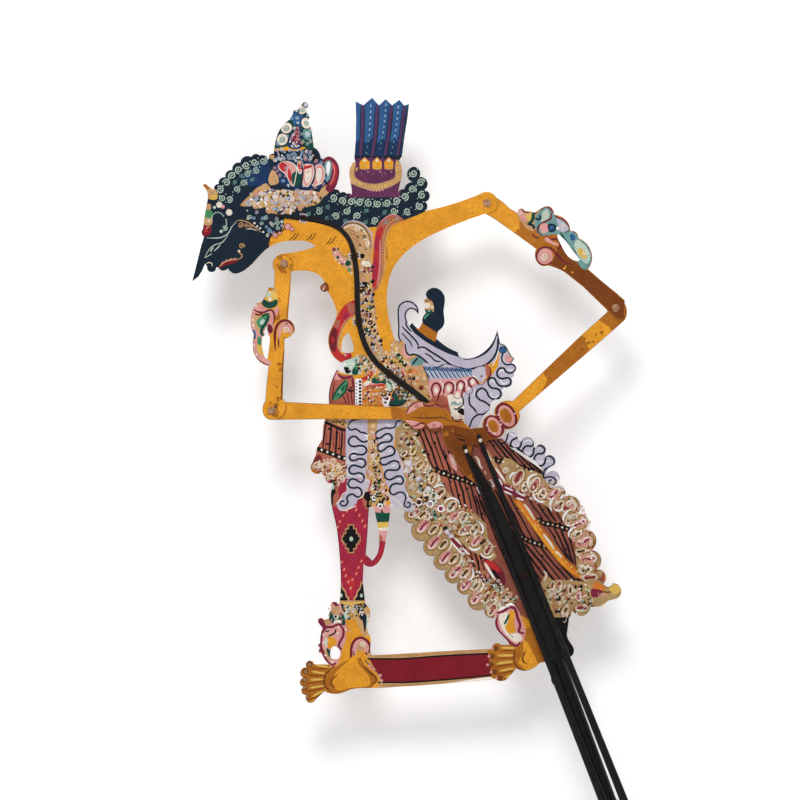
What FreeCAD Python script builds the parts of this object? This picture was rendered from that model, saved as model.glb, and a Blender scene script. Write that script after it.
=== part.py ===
import FreeCAD
import Part
import os
from math import atan2, cos, degrees, hypot, pi, sin, sqrt

V3 = FreeCAD.Vector

# Shadow puppet of painted hide on a horn rod, seen from the front. Sizes are millimetres.
# Drawing coordinates (u right, v up) become x and z; the front of the puppet faces minus y.

# Drawing origin in the part frame: the foot of the main rod stands at x 0, z 0
FOOT_U = 342.0
FOOT_V = -150.0

# Hide
HIDE = 1.2
HALF = HIDE / 2
PLATE_GAP = 0.3

# Pivots, u and v
FRONT_SHOULDER = (70.5, 327.4)
FRONT_ELBOW = (61.5, 217.1)
FRONT_HAND = (207.0, 186.8)
REAR_SHOULDER = (222.75, 372.75)
REAR_ELBOW = (319.0, 294.0)
REAR_HAND = (217.5, 194.8)

# Levels of the front faces of the plates that lie over the body, minus y
STRIP_FACE = 2.2
REAR_FOREARM_FACE = STRIP_FACE + PLATE_GAP + HIDE
FRONT_FOREARM_FACE = REAR_FOREARM_FACE + PLATE_GAP + HIDE
FRONT_UPPER_FACE_TOP = HALF + PLATE_GAP + HIDE
FRONT_UPPER_FACE_LOW = FRONT_FOREARM_FACE + PLATE_GAP + HIDE
REAR_UPPER_FACE_TOP = -(HALF + PLATE_GAP)
REAR_UPPER_FACE_LOW = REAR_FOREARM_FACE + PLATE_GAP + HIDE
BEND_START = 11.0
BEND_END = 46.0

# Rivets
PIN_R = 1.5
RUN = 0.06
HEAD_R = 2.9
HEAD_T = 1.0
HEAD_DOME = 0.4
WASHER_R = 3.4
WASHER_T = 0.9
END_GAP = 0.2

# Hand rods: radius at the tip and foot, minus y of the centre line at tip and foot
ROD_TIP_R = 1.6
ROD_FOOT_R = 3.2
ROD_ABOVE = 3.2
COLLAR_OVER = 0.7
COLLAR_LEN = 5.0
FRONT_ROD_LEN = 302.0
REAR_ROD_LEN = 311.0
FRONT_ROD_TO = (290.5, -27.0)
REAR_ROD_TO = (306.0, -27.0)
FRONT_ROD_Y = (7.2, 10.4)
REAR_ROD_Y = (10.8, 19.0)
FRONT_COLLAR = 184.0
REAR_COLLAR = 168.0
STEM_R = 0.6
STEM_CAP_R = 1.7
STEM_CAP_T = 1.0
STEM_BEAD_R = 1.5
STEM_BEAD_GAP = 0.1
STEM_INTO_BEAD = 0.4

# Main rod: centre line from the split upwards, then half widths there
ROD_LINE = [(275.1, 30.0), (264.0, 60.0), (250.5, 94.0), (236.0, 130.0), (221.5, 160.0), (203.0, 190.0),
            (177.0, 223.5), (149.5, 244.5), (137.0, 256.5), (130.0, 270.0), (126.6, 284.0), (125.3, 308.0),
            (123.2, 333.0), (117.2, 348.5), (104.5, 357.6), (85.0, 361.4), (65.0, 363.4)]
ROD_HALF_W = [5.6, 5.3, 4.8, 4.1, 3.5, 2.9, 2.3, 2.1, 2.0, 2.0, 2.0, 2.0, 1.9, 1.7, 1.5, 1.3, 0.9]
# Half depth of rod and prongs against v
ROD_DEPTH = [(-10.0, 5.6), (30.0, 5.5), (60.0, 4.4), (100.0, 3.2), (150.0, STRIP_FACE), (380.0, STRIP_FACE)]
PIN_FOOT_R = 5.0
PIN_FOOT_LEN = 72.0
HANDLE_R = 5.5
HANDLE_RING_R = 6.4
HANDLE_RING_LEN = 6.0
SPLIT_BELOW = 2.6

# Thread ties round the prongs, and the point of the rod line that each is wound at
THREAD_R = 0.4
TIE_TURNS = 3
TIE_PITCH = 1.35
TIE_CLEAR = 0.3
SLIT_OVER = 0.5
TIE_NAMES = [None, None, "tie_hem", None, "tie_skirt", None, None, "tie_belt", None,
             None, "tie_waist", None, "tie_chest", None, None, "tie_jaw", None]
TIES = {name: i for i, name in enumerate(TIE_NAMES) if name}

# Rooms that cuts reach past the solids they cut
FRONT_ROOM = 9.0
BACK_ROOM = 4.0
FAR = 1000.0
SAME = 0.001
BEND_OVER = 40.0
BEND_REACH = 90.0


def at(p, y=0.0):
    """A drawing point at depth y in the part frame."""
    return V3(p[0] - FOOT_U, y, p[1] - FOOT_V)


class Outline:
    """A closed outline in the drawing plane, built from straight, round and free-hand stretches."""

    def __init__(self, start):
        self.first = start
        self.last = start
        self.edges = []

    def to(self, *points):
        for p in points:
            self.edges.append(Part.LineSegment(at(self.last), at(p)).toShape())
            self.last = p
        return self

    def arc(self, mid, end):
        self.edges.append(Part.Arc(at(self.last), at(mid), at(end)).toShape())
        self.last = end
        return self

    def curve(self, *points):
        line = Part.BSplineCurve()
        line.interpolate([at(self.last)] + [at(p) for p in points])
        self.edges.append(line.toShape())
        self.last = points[-1]
        return self

    def lobes(self, bulge, *ends):
        """Round lobes from point to point, each bulging to the left of its walk by its own share."""
        for end in ends:
            du, dv = end[0] - self.last[0], end[1] - self.last[1]
            mid = ((self.last[0] + end[0]) / 2 - dv * bulge, (self.last[1] + end[1]) / 2 + du * bulge)
            self.arc(mid, end)
        return self

    def face(self):
        if hypot(self.last[0] - self.first[0], self.last[1] - self.first[1]) > SAME:
            self.to(self.first)
        return Part.Face(Part.Wire(self.edges))


def plate(face, y_front, y_back):
    """The drawn face as a plate between two depths."""
    face = face.copy()
    face.translate(V3(0, y_front, 0))
    return face.extrude(V3(0, y_back - y_front, 0))


def peg(p, r, y0, y1):
    return Part.makeCylinder(r, abs(y1 - y0), at(p, min(y0, y1)), V3(0, 1, 0))


def band(origin, toward, stations, back_stations, reach):
    """A sheet across the arm whose depth follows its stations along the arm."""
    du, dv = toward[0] - origin[0], toward[1] - origin[1]
    length = hypot(du, dv)
    eu, ev = du / length, dv / length
    points = []
    for s, y in stations + back_stations[::-1]:
        points.append(V3(eu * s, y, ev * s) + at(origin))
    wire = Part.makePolygon(points + points[:1])
    side = V3(-ev, 0, eu)
    wire.translate(side * -reach)
    return Part.Face(wire).extrude(side * (2 * reach))


def bent_plate(face, pivot, end, face_top, face_low):
    """A limb flat round both pivots, with a gentle bend between them."""
    length = hypot(end[0] - pivot[0], end[1] - pivot[1])
    front = [(-BEND_OVER, -face_top), (BEND_START, -face_top), (BEND_END, -face_low),
             (length + BEND_OVER, -face_low)]
    back = [(s, y + HIDE) for s, y in front]
    thick = plate(face, -FRONT_ROOM, BACK_ROOM)
    return thick.common(band(pivot, end, front, back, BEND_REACH))


def body_outline():
    o = Outline((1.7, 314.0))
    # brow and horn
    o.to((4.5, 325.0), (8.5, 341.0), (10.6, 347.6)).arc((8.8, 350.0), (9.7, 353.0))
    o.to((10.8, 362.0), (13.4, 376.0), (13.2, 380.0)).arc((11.9, 383.2), (9.8, 385.4))
    o.arc((10.6, 386.9), (12.6, 386.2)).to((18.2, 382.2))
    # hair over the brow
    o.lobes(0.28, (21.6, 387.0), (26.6, 392.0), (31.8, 397.4), (37.8, 403.0), (46.0, 407.2), (52.4, 408.2),
            (58.4, 405.0))
    o.to((59.4, 406.4)).arc((60.4, 409.2), (62.8, 409.6))
    # crown
    o.curve((63.6, 416.5), (67.4, 428.0), (75.0, 435.4))
    o.to((77.3, 440.0)).arc((78.0, 442.2), (80.4, 442.3)).to((84.4, 447.3))
    o.arc((87.9, 448.0), (87.4, 444.0)).to((87.3, 440.2)).arc((89.6, 437.6), (87.8, 434.6))
    o.curve((90.6, 428.5), (92.2, 420.0), (92.8, 414.6)).arc((95.6, 412.4), (98.0, 406.6))
    o.to((100.0, 405.4)).curve((104.6, 407.6), (110.2, 403.4), (112.0, 395.5), (108.2, 383.0))
    # hair behind the crown
    o.lobes(0.22, (112.6, 380.2), (117.6, 379.6), (121.2, 378.8))
    # quiver bowl and feathered arrows
    o.curve((120.0, 390.0), (119.6, 397.0), (124.0, 403.6))
    o.to((123.2, 406.4), (124.3, 420.0), (124.6, 436.0), (124.2, 449.0))
    o.to((130.0, 446.0), (136.6, 451.7), (141.7, 446.0), (146.8, 450.6), (151.6, 446.0), (157.0, 450.2),
         (160.6, 445.8), (164.3, 447.0))
    o.to((163.0, 436.0), (160.8, 422.0), (158.9, 407.6), (156.6, 404.6))
    o.curve((158.6, 400.0), (158.2, 390.0), (155.8, 380.2))
    # tail of curls
    o.lobes(0.2, (160.6, 383.0), (167.0, 388.4))
    o.arc((162.8, 394.6), (167.4, 400.0)).arc((172.0, 397.4), (172.2, 392.2))
    o.lobes(0.42, (175.6, 382.6), (176.4, 373.6)).lobes(0.3, (175.4, 366.5))
    # rear shoulder
    o.curve((190.0, 369.9), (205.0, 374.6), (220.0, 380.7))
    o.arc((229.4, 377.4), (227.6, 366.6)).to((222.0, 364.9))
    o.curve((205.0, 359.0), (190.0, 352.8), (175.0, 345.4), (160.0, 334.0), (152.0, 323.0), (148.2, 310.0),
            (147.6, 298.0), (149.6, 284.0), (153.2, 270.8))
    # sheath of the dagger
    o.to((157.6, 268.6)).curve((156.0, 273.0), (156.0, 279.5), (155.6, 288.0), (157.0, 296.4), (163.6, 299.5),
                               (169.6, 296.4), (171.5, 291.2))
    o.to((170.8, 288.4)).curve((168.0, 292.6), (165.0, 293.0), (162.4, 290.4), (162.3, 285.6), (164.6, 280.6))
    o.to((166.6, 282.8), (168.6, 280.4), (171.4, 278.2), (174.4, 283.0))
    # grip of the dagger
    o.curve((174.3, 286.0), (177.0, 290.2)).to((176.0, 292.4), (175.8, 300.4))
    o.to((178.0, 301.4)).curve((177.0, 305.0), (181.0, 308.9), (187.0, 308.0), (191.0, 302.0), (190.2, 291.5),
                               (190.9, 284.0), (186.2, 276.8))
    o.to((184.6, 271.4)).curve((190.0, 266.6), (200.8, 260.8)).to((201.6, 257.6))
    o.curve((208.0, 256.0), (217.5, 259.0), (225.5, 266.2), (230.3, 278.8)).to((232.6, 267.4))
    # scrolls behind the sheath
    o.curve((236.0, 266.2), (239.6, 260.4), (243.4, 256.2)).to((240.8, 252.4))
    o.lobes(0.42, (242.6, 245.6)).lobes(0.3, (240.6, 241.6)).lobes(0.45, (235.0, 234.9))
    o.lobes(0.3, (233.2, 232.6)).lobes(0.42, (229.0, 225.6)).to((225.6, 222.4), (224.4, 217.6), (219.4, 212.4))
    # under the rear hand to the ruffle
    o.to((216.0, 205.0), (221.0, 197.5), (231.0, 196.2), (237.2, 196.6))
    o.lobes(0.55, (245.6, 196.8)).to((248.4, 193.6)).lobes(0.5, (257.8, 190.6)).to((259.2, 188.6))
    o.lobes(0.6, (266.6, 185.4)).to((266.0, 181.6)).lobes(0.6, (272.6, 176.0))
    o.to((268.4, 173.6), (267.0, 168.4)).arc((277.4, 166.8), (274.4, 161.8))
    # lace of the rear skirt, right side
    o.to((273.2, 160.4)).lobes(0.36, (281.0, 152.4)).lobes(0.42, (290.6, 139.6), (295.6, 127.6), (300.6, 112.4), (303.6, 97.6),
                                                           (309.8, 87.0))
    o.curve((314.6, 85.0), (317.4, 87.6)).arc((323.2, 83.4), (318.4, 75.6))
    o.to((313.4, 74.4)).curve((309.0, 71.0), (300.2, 70.2)).arc((298.4, 65.6), (293.0, 62.8)).to((286.8, 66.0))
    # rear heel and sole
    o.to((284.2, 61.0), (282.7, 49.6)).curve((284.6, 44.0), (287.8, 38.6), (286.2, 33.0)).to((280.8, 30.4))
    o.to((262.4, 28.0)).curve((257.0, 23.6), (250.0, 22.0), (244.8, 24.0))
    # rear toes
    o.to((241.8, 20.2), (237.6, 15.8)).arc((233.4, 14.2), (229.0, 15.6)).to((225.0, 17.2))
    # base board, underside
    o.to((190.0, 12.4), (143.0, 9.0))
    # front sole and toes
    o.curve((130.0, 9.0), (121.0, 8.0), (113.5, 5.2), (106.0, 4.8), (101.0, 6.6)).to((94.0, 0.2))
    o.arc((88.0, -1.2), (87.4, 3.8)).lobes(0.45, (85.4, 10.0), (85.2, 16.6), (87.6, 24.4))
    o.arc((89.0, 29.4), (93.0, 26.8)).to((104.4, 26.6))
    # anklet scrolls
    o.curve((100.6, 31.0), (98.8, 34.6)).to((96.4, 36.0), (97.2, 39.0), (95.6, 41.0), (97.6, 42.8))
    o.curve((98.0, 49.0), (99.4, 54.2)).to((96.3, 57.8)).arc((97.0, 61.2), (100.4, 60.2))
    o.to((104.2, 61.0), (104.6, 66.4), (106.6, 68.4)).arc((107.6, 73.6), (111.0, 71.6)).to((112.2, 73.0))
    # front leg, left edge
    o.curve((113.0, 82.0), (112.8, 100.0), (111.6, 116.0), (109.0, 134.0), (106.0, 147.0), (105.6, 154.0),
            (107.6, 163.4))
    # front skirt hem
    o.lobes(0.4, (102.0, 168.0)).lobes(0.3, (99.4, 171.4)).lobes(0.5, (91.6, 177.6))
    o.to((94.4, 184.0), (95.2, 189.0), (99.3, 195.6), (100.0, 206.0), (101.6, 211.0), (104.4, 222.0))
    # hip and sash
    o.curve((104.6, 233.0), (108.0, 243.6), (110.4, 248.0)).to((113.0, 245.4), (117.0, 244.8), (115.4, 248.6))
    o.to((114.6, 252.6)).curve((107.8, 257.4), (104.0, 266.0), (104.4, 275.0), (109.4, 286.0), (110.2, 291.6))
    # chest
    o.to((107.2, 299.6), (103.0, 307.0)).lobes(0.5, (98.6, 311.4)).to((101.0, 313.0))
    o.curve((97.6, 318.0), (92.0, 321.0), (84.0, 322.1), (75.6, 321.4)).arc((63.1, 326.4), (70.0, 334.8))
    o.curve((80.0, 336.1), (94.2, 340.2))
    # throat and jaw
    o.curve((88.0, 343.7), (78.0, 344.5), (68.0, 343.4), (60.0, 340.0))
    o.curve((50.0, 330.8), (40.0, 321.8), (34.0, 319.8), (28.4, 323.8))
    o.arc((24.6, 322.0), (21.2, 324.6)).to((19.6, 324.4)).arc((16.0, 320.9), (12.9, 324.8))
    o.to((11.4, 327.4), (9.4, 322.6), (6.4, 317.6))
    return o.face()


def body_openings():
    """Pierced openings of the body hide, outermost first."""
    leg_bay = Outline((136.0, 33.4)).to((170.0, 35.4), (200.0, 37.2), (226.4, 38.4)).arc((229.4, 42.6), (233.0, 41.4))
    leg_bay.to((239.6, 41.4)).curve((235.6, 47.0), (230.2, 53.0), (230.6, 63.6))
    leg_bay.lobes(0.4, (220.8, 68.6)).lobes(0.45, (210.2, 80.4), (201.4, 88.8), (192.4, 98.2), (184.8, 108.6))
    leg_bay.lobes(0.45, (177.4, 120.0), (168.8, 133.2)).lobes(0.5, (163.6, 143.4)).to((158.0, 144.6))
    leg_bay.to((150.4, 147.0)).curve((149.4, 135.0), (146.6, 118.0), (142.4, 104.6), (136.4, 100.0), (130.2, 102.0))
    leg_bay.to((129.6, 88.0), (131.6, 72.0)).curve((135.2, 66.0), (133.8, 58.0), (134.0, 50.0))
    leg_bay.curve((135.6, 43.0), (135.2, 37.0), (136.0, 33.4))
    sash_slot = Outline((134.2, 144.6)).to((133.0, 124.0), (131.8, 109.0)).arc((134.6, 106.6), (136.4, 104.4))
    sash_slot.curve((139.6, 108.0), (142.0, 120.0), (140.2, 134.0), (137.8, 145.4))
    ribbon = Outline((113.6, 261.4)).curve((113.8, 267.0), (116.2, 273.4), (119.0, 275.6))
    ribbon.curve((121.4, 270.0), (123.0, 261.8)).curve((118.6, 260.2), (113.6, 261.4))
    ruffle = Outline((240.0, 189.6)).to((249.0, 183.0), (258.4, 176.6), (264.6, 172.2), (258.6, 179.6))
    ruffle.to((250.0, 184.8), (243.6, 188.8))
    anklet = Outline((106.6, 31.0)).curve((105.2, 35.6), (108.2, 40.4), (111.8, 38.0), (112.4, 32.6), (106.6, 31.0))
    return [leg_bay.face(), sash_slot.face(), ribbon.face(), ruffle.face(), anklet.face()]


def rod_way(i):
    """Direction of the rod line at one of its points."""
    a, b = ROD_LINE[max(i - 1, 0)], ROD_LINE[min(i + 1, len(ROD_LINE) - 1)]
    length = hypot(b[0] - a[0], b[1] - a[1])
    return (b[0] - a[0]) / length, (b[1] - a[1]) / length


def rod_point(tie):
    """Place, direction, half width and half depth of the prongs at a tie."""
    i = TIES[tie]
    return ROD_LINE[i], rod_way(i), ROD_HALF_W[i], rod_depth(ROD_LINE[i][1])


def rod_depth(v):
    for (v0, d0), (v1, d1) in zip(ROD_DEPTH, ROD_DEPTH[1:]):
        if v <= v1:
            return d0 + (d1 - d0) * (v - v0) / (v1 - v0)
    return ROD_DEPTH[-1][1]


def tie_axes(tie):
    """Half axes of the winding's middle line, an oval that clears the prongs' corners."""
    p, e, half_w, half_d = rod_point(tie)
    swell = sqrt(2)
    return half_w * swell + THREAD_R + TIE_CLEAR, half_d * swell + THREAD_R + TIE_CLEAR


def slits(tie):
    """The two slits in the hide beside the prongs."""
    p, e, half_w, half_d = rod_point(tie)
    a, b = tie_axes(tie)
    half_len = (TIE_TURNS * TIE_PITCH) / 2 + THREAD_R + SLIT_OVER
    half_slit = THREAD_R + SLIT_OVER
    cuts = []
    for side in (-1, 1):
        c = V3(p[0] - e[1] * a * side, 0, p[1] + e[0] * a * side)
        box = Part.makeBox(2 * half_len, 4 * HIDE, 2 * half_slit, V3(-half_len, -2 * HIDE, -half_slit))
        box.rotate(V3(0, 0, 0), V3(0, 1, 0), -degrees(atan2(e[1], e[0])))
        box.translate(at((c.x, c.z)))
        cuts.append(box)
    return cuts


def body_hide():
    shape = plate(body_outline(), -HALF, HALF)
    cuts = [plate(face, -HIDE, HIDE) for face in body_openings()]
    cuts += [cut for tie in TIES for cut in slits(tie)]
    cuts += [peg(FRONT_SHOULDER, PIN_R, -HIDE, HIDE), peg(REAR_SHOULDER, PIN_R, -HIDE, HIDE)]
    return shape.cut(cuts)


def front_upper_arm():
    o = Outline((75.9, 322.0)).to((75.2, 306.0), (73.8, 290.0), (73.6, 285.4))
    o.curve((77.4, 282.4), (78.6, 277.4), (75.4, 272.8), (71.0, 270.8))
    o.to((71.0, 262.0), (70.2, 246.0), (69.7, 226.0)).arc((66.4, 211.0), (55.6, 213.6)).arc((54.6, 218.6), (56.6, 224.0))
    o.to((58.0, 240.0), (59.2, 250.6)).curve((54.0, 252.6), (48.6, 258.8), (47.3, 266.0), (48.0, 274.0))
    o.curve((46.0, 281.0), (46.6, 290.0), (49.6, 297.2)).to((53.6, 298.2), (57.0, 303.4), (58.4, 307.2))
    o.arc((60.4, 309.4), (62.6, 308.0)).to((63.4, 311.0), (63.5, 322.0))
    o.arc((67.2, 333.8), (75.9, 322.0))
    window = Outline((56.4, 256.4)).to((58.4, 255.8), (60.0, 268.0), (60.0, 272.4)).arc((56.6, 273.6), (54.2, 270.4))
    window.curve((54.6, 263.0), (56.4, 256.4))
    shape = bent_plate(o.face().cut(window.face()).Faces[0], FRONT_SHOULDER, FRONT_ELBOW, FRONT_UPPER_FACE_TOP,
                       FRONT_UPPER_FACE_LOW)
    return shape.cut([peg(FRONT_SHOULDER, PIN_R + RUN, -FRONT_ROOM, BACK_ROOM),
                      peg(FRONT_ELBOW, PIN_R, -FRONT_ROOM, BACK_ROOM)])


def front_forearm():
    o = Outline((62.0, 210.2)).arc((54.6, 217.2), (62.0, 224.0)).to((90.0, 222.6), (140.0, 220.6), (158.0, 218.8))
    o.to((162.0, 216.0)).arc((168.4, 223.4), (177.0, 222.6)).curve((186.0, 222.6), (193.0, 217.6), (196.4, 210.4))
    o.to((205.4, 209.2)).curve((208.0, 204.4), (213.6, 200.6), (212.4, 194.0), (211.2, 187.6), (209.8, 181.0))
    o.curve((211.4, 172.0), (215.6, 161.4)).curve((207.0, 168.4), (199.6, 178.0), (196.8, 186.4))
    o.curve((191.6, 192.0), (189.6, 199.0), (188.0, 204.6)).lobes(0.3, (177.0, 207.2), (164.6, 206.4))
    o.to((159.0, 210.4), (100.0, 210.6))
    palm = Outline((198.2, 199.8)).curve((202.6, 198.8), (206.6, 194.6)).curve((202.6, 194.8), (198.2, 199.8))
    cuts = [plate(palm.face(), -FRONT_ROOM, 0.0), peg(FRONT_ELBOW, PIN_R + RUN, -FRONT_ROOM, 0.0),
            peg(FRONT_HAND, STEM_R + RUN, -FRONT_ROOM, 0.0)]
    return plate(o.face(), -FRONT_FOREARM_FACE, -FRONT_FOREARM_FACE + HIDE).cut(cuts)


def rear_upper_arm():
    o = Outline((218.6, 366.6)).arc((216.8, 377.2), (227.0, 379.0)).to((235.0, 373.4), (240.0, 368.6), (246.0, 365.0))
    o.arc((248.2, 368.6), (250.8, 366.9)).to((259.0, 365.6)).curve((263.0, 368.6), (267.2, 370.2), (273.2, 363.6))
    o.curve((279.0, 362.0), (283.8, 357.0), (285.0, 351.6)).arc((289.8, 350.2), (291.2, 346.2))
    o.curve((297.0, 342.4), (301.4, 333.0), (298.2, 323.2)).to((307.0, 315.4), (320.0, 304.9), (325.8, 299.6))
    o.to((325.9, 285.6), (320.0, 285.4), (313.6, 291.4), (295.0, 309.4), (281.0, 320.6)).curve((275.0, 323.6), (268.0, 325.8))
    o.curve((262.0, 326.4), (258.6, 332.4), (259.6, 338.0)).to((245.0, 348.8), (229.0, 360.4))
    window = Outline((275.6, 349.4)).curve((281.6, 344.0), (286.6, 337.4), (292.6, 330.0)).to((290.2, 328.9))
    window.curve((283.4, 332.6), (279.2, 339.0), (275.6, 346.0))
    shape = bent_plate(o.face().cut(window.face()).Faces[0], REAR_SHOULDER, REAR_ELBOW, REAR_UPPER_FACE_TOP,
                       REAR_UPPER_FACE_LOW)
    return shape.cut([peg(REAR_SHOULDER, PIN_R + RUN, -FRONT_ROOM, BACK_ROOM),
                      peg(REAR_ELBOW, PIN_R, -FRONT_ROOM, BACK_ROOM)])


def rear_forearm():
    o = Outline((313.0, 291.2)).arc((316.4, 301.0), (325.0, 298.4)).arc((327.6, 291.6), (325.4, 284.4))
    o.to((300.0, 262.2), (270.0, 236.4), (246.8, 216.4)).curve((246.6, 209.8), (242.6, 204.6), (236.0, 203.2))
    o.curve((233.0, 197.6), (228.0, 195.8), (222.6, 195.0)).to((221.4, 191.8), (214.0, 191.6), (207.6, 195.2))
    o.to((199.6, 196.8)).arc((197.8, 199.2), (200.4, 201.2)).to((207.0, 203.2), (219.6, 204.6))
    o.curve((220.4, 210.6), (224.0, 213.6), (228.8, 213.2)).curve((228.8, 219.0), (233.0, 223.2), (241.8, 224.0))
    o.to((262.0, 243.6), (290.0, 270.4))
    cuts = [peg(REAR_ELBOW, PIN_R + RUN, -FRONT_ROOM, 0.0), peg(REAR_HAND, STEM_R + RUN, -FRONT_ROOM, 0.0)]
    return plate(o.face(), -REAR_FOREARM_FACE, -REAR_FOREARM_FACE + HIDE).cut(cuts)


def rivet(p, y_front, y_back):
    """A bone pin with a low domed head in front and its tail in the washer behind."""
    pin = peg(p, PIN_R, y_front, y_back)
    head = peg(p, HEAD_R, y_front - HEAD_T, y_front)
    dome = Part.makeCone(HEAD_R, HEAD_R - 2 * HEAD_DOME, HEAD_DOME, at(p, y_front - HEAD_T), V3(0, -1, 0))
    return pin.fuse([head, dome]).removeSplitter()


def washer(p, y_front):
    hole = peg(p, PIN_R, y_front - WASHER_T, y_front + 2 * WASHER_T)
    return peg(p, WASHER_R, y_front, y_front + WASHER_T).cut(hole)


def rod_axis(hinge, to, length, ys):
    """Tip and foot of a hand rod on its centre line."""
    du, dv = to[0] - hinge[0], to[1] - hinge[1]
    d = hypot(du, dv)
    e = (du / d, dv / d)
    tip = at((hinge[0] - e[0] * ROD_ABOVE, hinge[1] - e[1] * ROD_ABOVE), -ys[0])
    foot = at((hinge[0] + e[0] * length, hinge[1] + e[1] * length), -ys[1])
    return tip, foot


def hand_rod(hinge, to, length, ys, collar):
    """A slender horn rod, thicker to the foot, with a turned collar and a cross hole for its stem."""
    tip, foot = rod_axis(hinge, to, length, ys)
    axis = foot - tip
    full = axis.Length
    axis = axis / full
    slope = (ROD_FOOT_R - ROD_TIP_R) / full
    rod = Part.makeCone(ROD_TIP_R, ROD_FOOT_R, full, tip, axis)
    c = collar + ROD_ABOVE
    r = ROD_TIP_R + slope * c
    turned = [(r - COLLAR_OVER, c - COLLAR_LEN), (r + COLLAR_OVER, c - COLLAR_LEN / 4),
              (r + COLLAR_OVER, c + COLLAR_LEN / 4), (r - COLLAR_OVER, c + COLLAR_LEN)]
    for (r0, s0), (r1, s1) in zip(turned, turned[1:]):
        if abs(r0 - r1) > SAME:
            rod = rod.fuse(Part.makeCone(r0, r1, s1 - s0, tip + axis * s0, axis))
        else:
            rod = rod.fuse(Part.makeCylinder(r0, s1 - s0, tip + axis * s0, axis))
    rod = rod.fuse(Part.makeSphere(ROD_TIP_R, tip)).removeSplitter()
    return rod.cut(peg(hinge, STEM_R, -ys[0] - 3 * ROD_TIP_R, -ys[0] + 3 * ROD_TIP_R))


def stem(hinge, y_rod, y_plate_back):
    """The waxed thread stem that hangs a rod on a hand: bead in front of the rod, flat knot behind the hand."""
    shaft = peg(hinge, STEM_R, -y_rod - ROD_TIP_R - STEM_INTO_BEAD, -y_plate_back + END_GAP + STEM_CAP_T / 2)
    bead = Part.makeSphere(STEM_BEAD_R, at(hinge, -y_rod - ROD_TIP_R - STEM_BEAD_R - STEM_BEAD_GAP))
    knot = peg(hinge, STEM_CAP_R, -y_plate_back + END_GAP, -y_plate_back + END_GAP + STEM_CAP_T)
    return shaft.fuse([bead, knot]).removeSplitter()


def rod_ribbon():
    """The prongs as seen from the front: a ribbon along the rod line."""
    left, right = [], []
    for i, p in enumerate(ROD_LINE):
        eu, ev = rod_way(i)
        w = ROD_HALF_W[i]
        left.append((p[0] - ev * w, p[1] + eu * w))
        right.append((p[0] + ev * w, p[1] - eu * w))
    o = Outline(left[0]).curve(*left[1:])
    o.arc((ROD_LINE[-1][0] - ROD_HALF_W[-1], ROD_LINE[-1][1]), right[-1])
    o.curve(*right[-2::-1])
    return o.face()


def main_rod():
    """Horn rod: round handle below, split above into two prongs that clamp the hide."""
    ribbon = plate(rod_ribbon(), -FRONT_ROOM, FRONT_ROOM)
    front = [(v, -d) for v, d in ROD_DEPTH]
    back = [(v, d) for v, d in ROD_DEPTH]
    lens = band((0.0, 0.0), (0.0, 1.0), front, back, FAR)
    prongs = ribbon.common(lens)
    top = at(ROD_LINE[0])
    axis = top - at((FOOT_U, FOOT_V))
    full = axis.Length
    axis = axis / full
    foot = at((FOOT_U, FOOT_V))
    pieces = [Part.makeCylinder(PIN_FOOT_R, PIN_FOOT_LEN, foot, axis),
              Part.makeCylinder(HANDLE_RING_R, HANDLE_RING_LEN, foot + axis * PIN_FOOT_LEN, axis),
              Part.makeCylinder(HANDLE_R, full - PIN_FOOT_LEN, foot + axis * PIN_FOOT_LEN, axis)]
    rod = prongs.fuse(pieces).removeSplitter()
    room = Part.makeBox(2 * FAR, HIDE, FAR, V3(-FAR, -HALF, -SPLIT_BELOW))
    room.rotate(V3(0, 0, 0), V3(0, 1, 0), degrees(atan2(axis.x, axis.z)))
    room.translate(top)
    return rod.cut(room)


def tangent_arc(a, way, b):
    """The arc from a, leaving along way, that ends at b."""
    chord = b - a
    span = chord.Length
    chord = chord / span
    side = way - chord * way.dot(chord)
    side = side / side.Length
    sagitta = span / 2 * sqrt((1 - way.dot(chord)) / (1 + way.dot(chord)))
    return Part.Arc(a, (a + b) / 2 + side * sagitta, b).toShape()


def biarc(a, way_a, b, way_b):
    """Two arcs that join a to b, each tangent to its end's way and to each other."""
    v, t = b - a, way_a + way_b
    k = 2 * (1 - way_a.dot(way_b))
    d = (sqrt(v.dot(t) ** 2 + k * v.dot(v)) - v.dot(t)) / k
    joint = (a + way_a * d + b - way_b * d) / 2
    way_joint = (b - way_b * d - a - way_a * d) / (2 * d)
    return [tangent_arc(a, way_a, joint), tangent_arc(joint, way_joint, b)]


def tie(name):
    """One thread wound round both prongs through the slits: a single tube on biarcs of a quarter turn."""
    p, e, half_w, half_d = rod_point(name)
    a, b = tie_axes(name)
    quarters = 4 * TIE_TURNS
    stops = []
    for i in range(quarters + 1):
        t = pi / 2 * i - pi / 2
        across, depth, along = a * cos(t), b * sin(t), (i / quarters - 0.5) * TIE_TURNS * TIE_PITCH
        place = at((p[0] + e[0] * along - e[1] * across, p[1] + e[1] * along + e[0] * across), depth)
        d_across, d_depth, d_along = -a * sin(t), b * cos(t), TIE_PITCH / (2 * pi)
        way = V3(e[0] * d_along - e[1] * d_across, d_depth, e[1] * d_along + e[0] * d_across)
        stops.append((place, way / way.Length))
    first, last = stops[0], stops[-1]
    start, end = first[0] - first[1] * 2 * THREAD_R, last[0] + last[1] * 2 * THREAD_R
    edges = [Part.LineSegment(start, first[0]).toShape()]
    for (pa, way_a), (pb, way_b) in zip(stops, stops[1:]):
        edges += biarc(pa, way_a, pb, way_b)
    edges.append(Part.LineSegment(last[0], end).toShape())
    path = Part.Wire(edges)
    ring = Part.Wire([Part.makeCircle(THREAD_R, start, first[1])])
    return path.makePipeShell([ring], True, False), path


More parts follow.
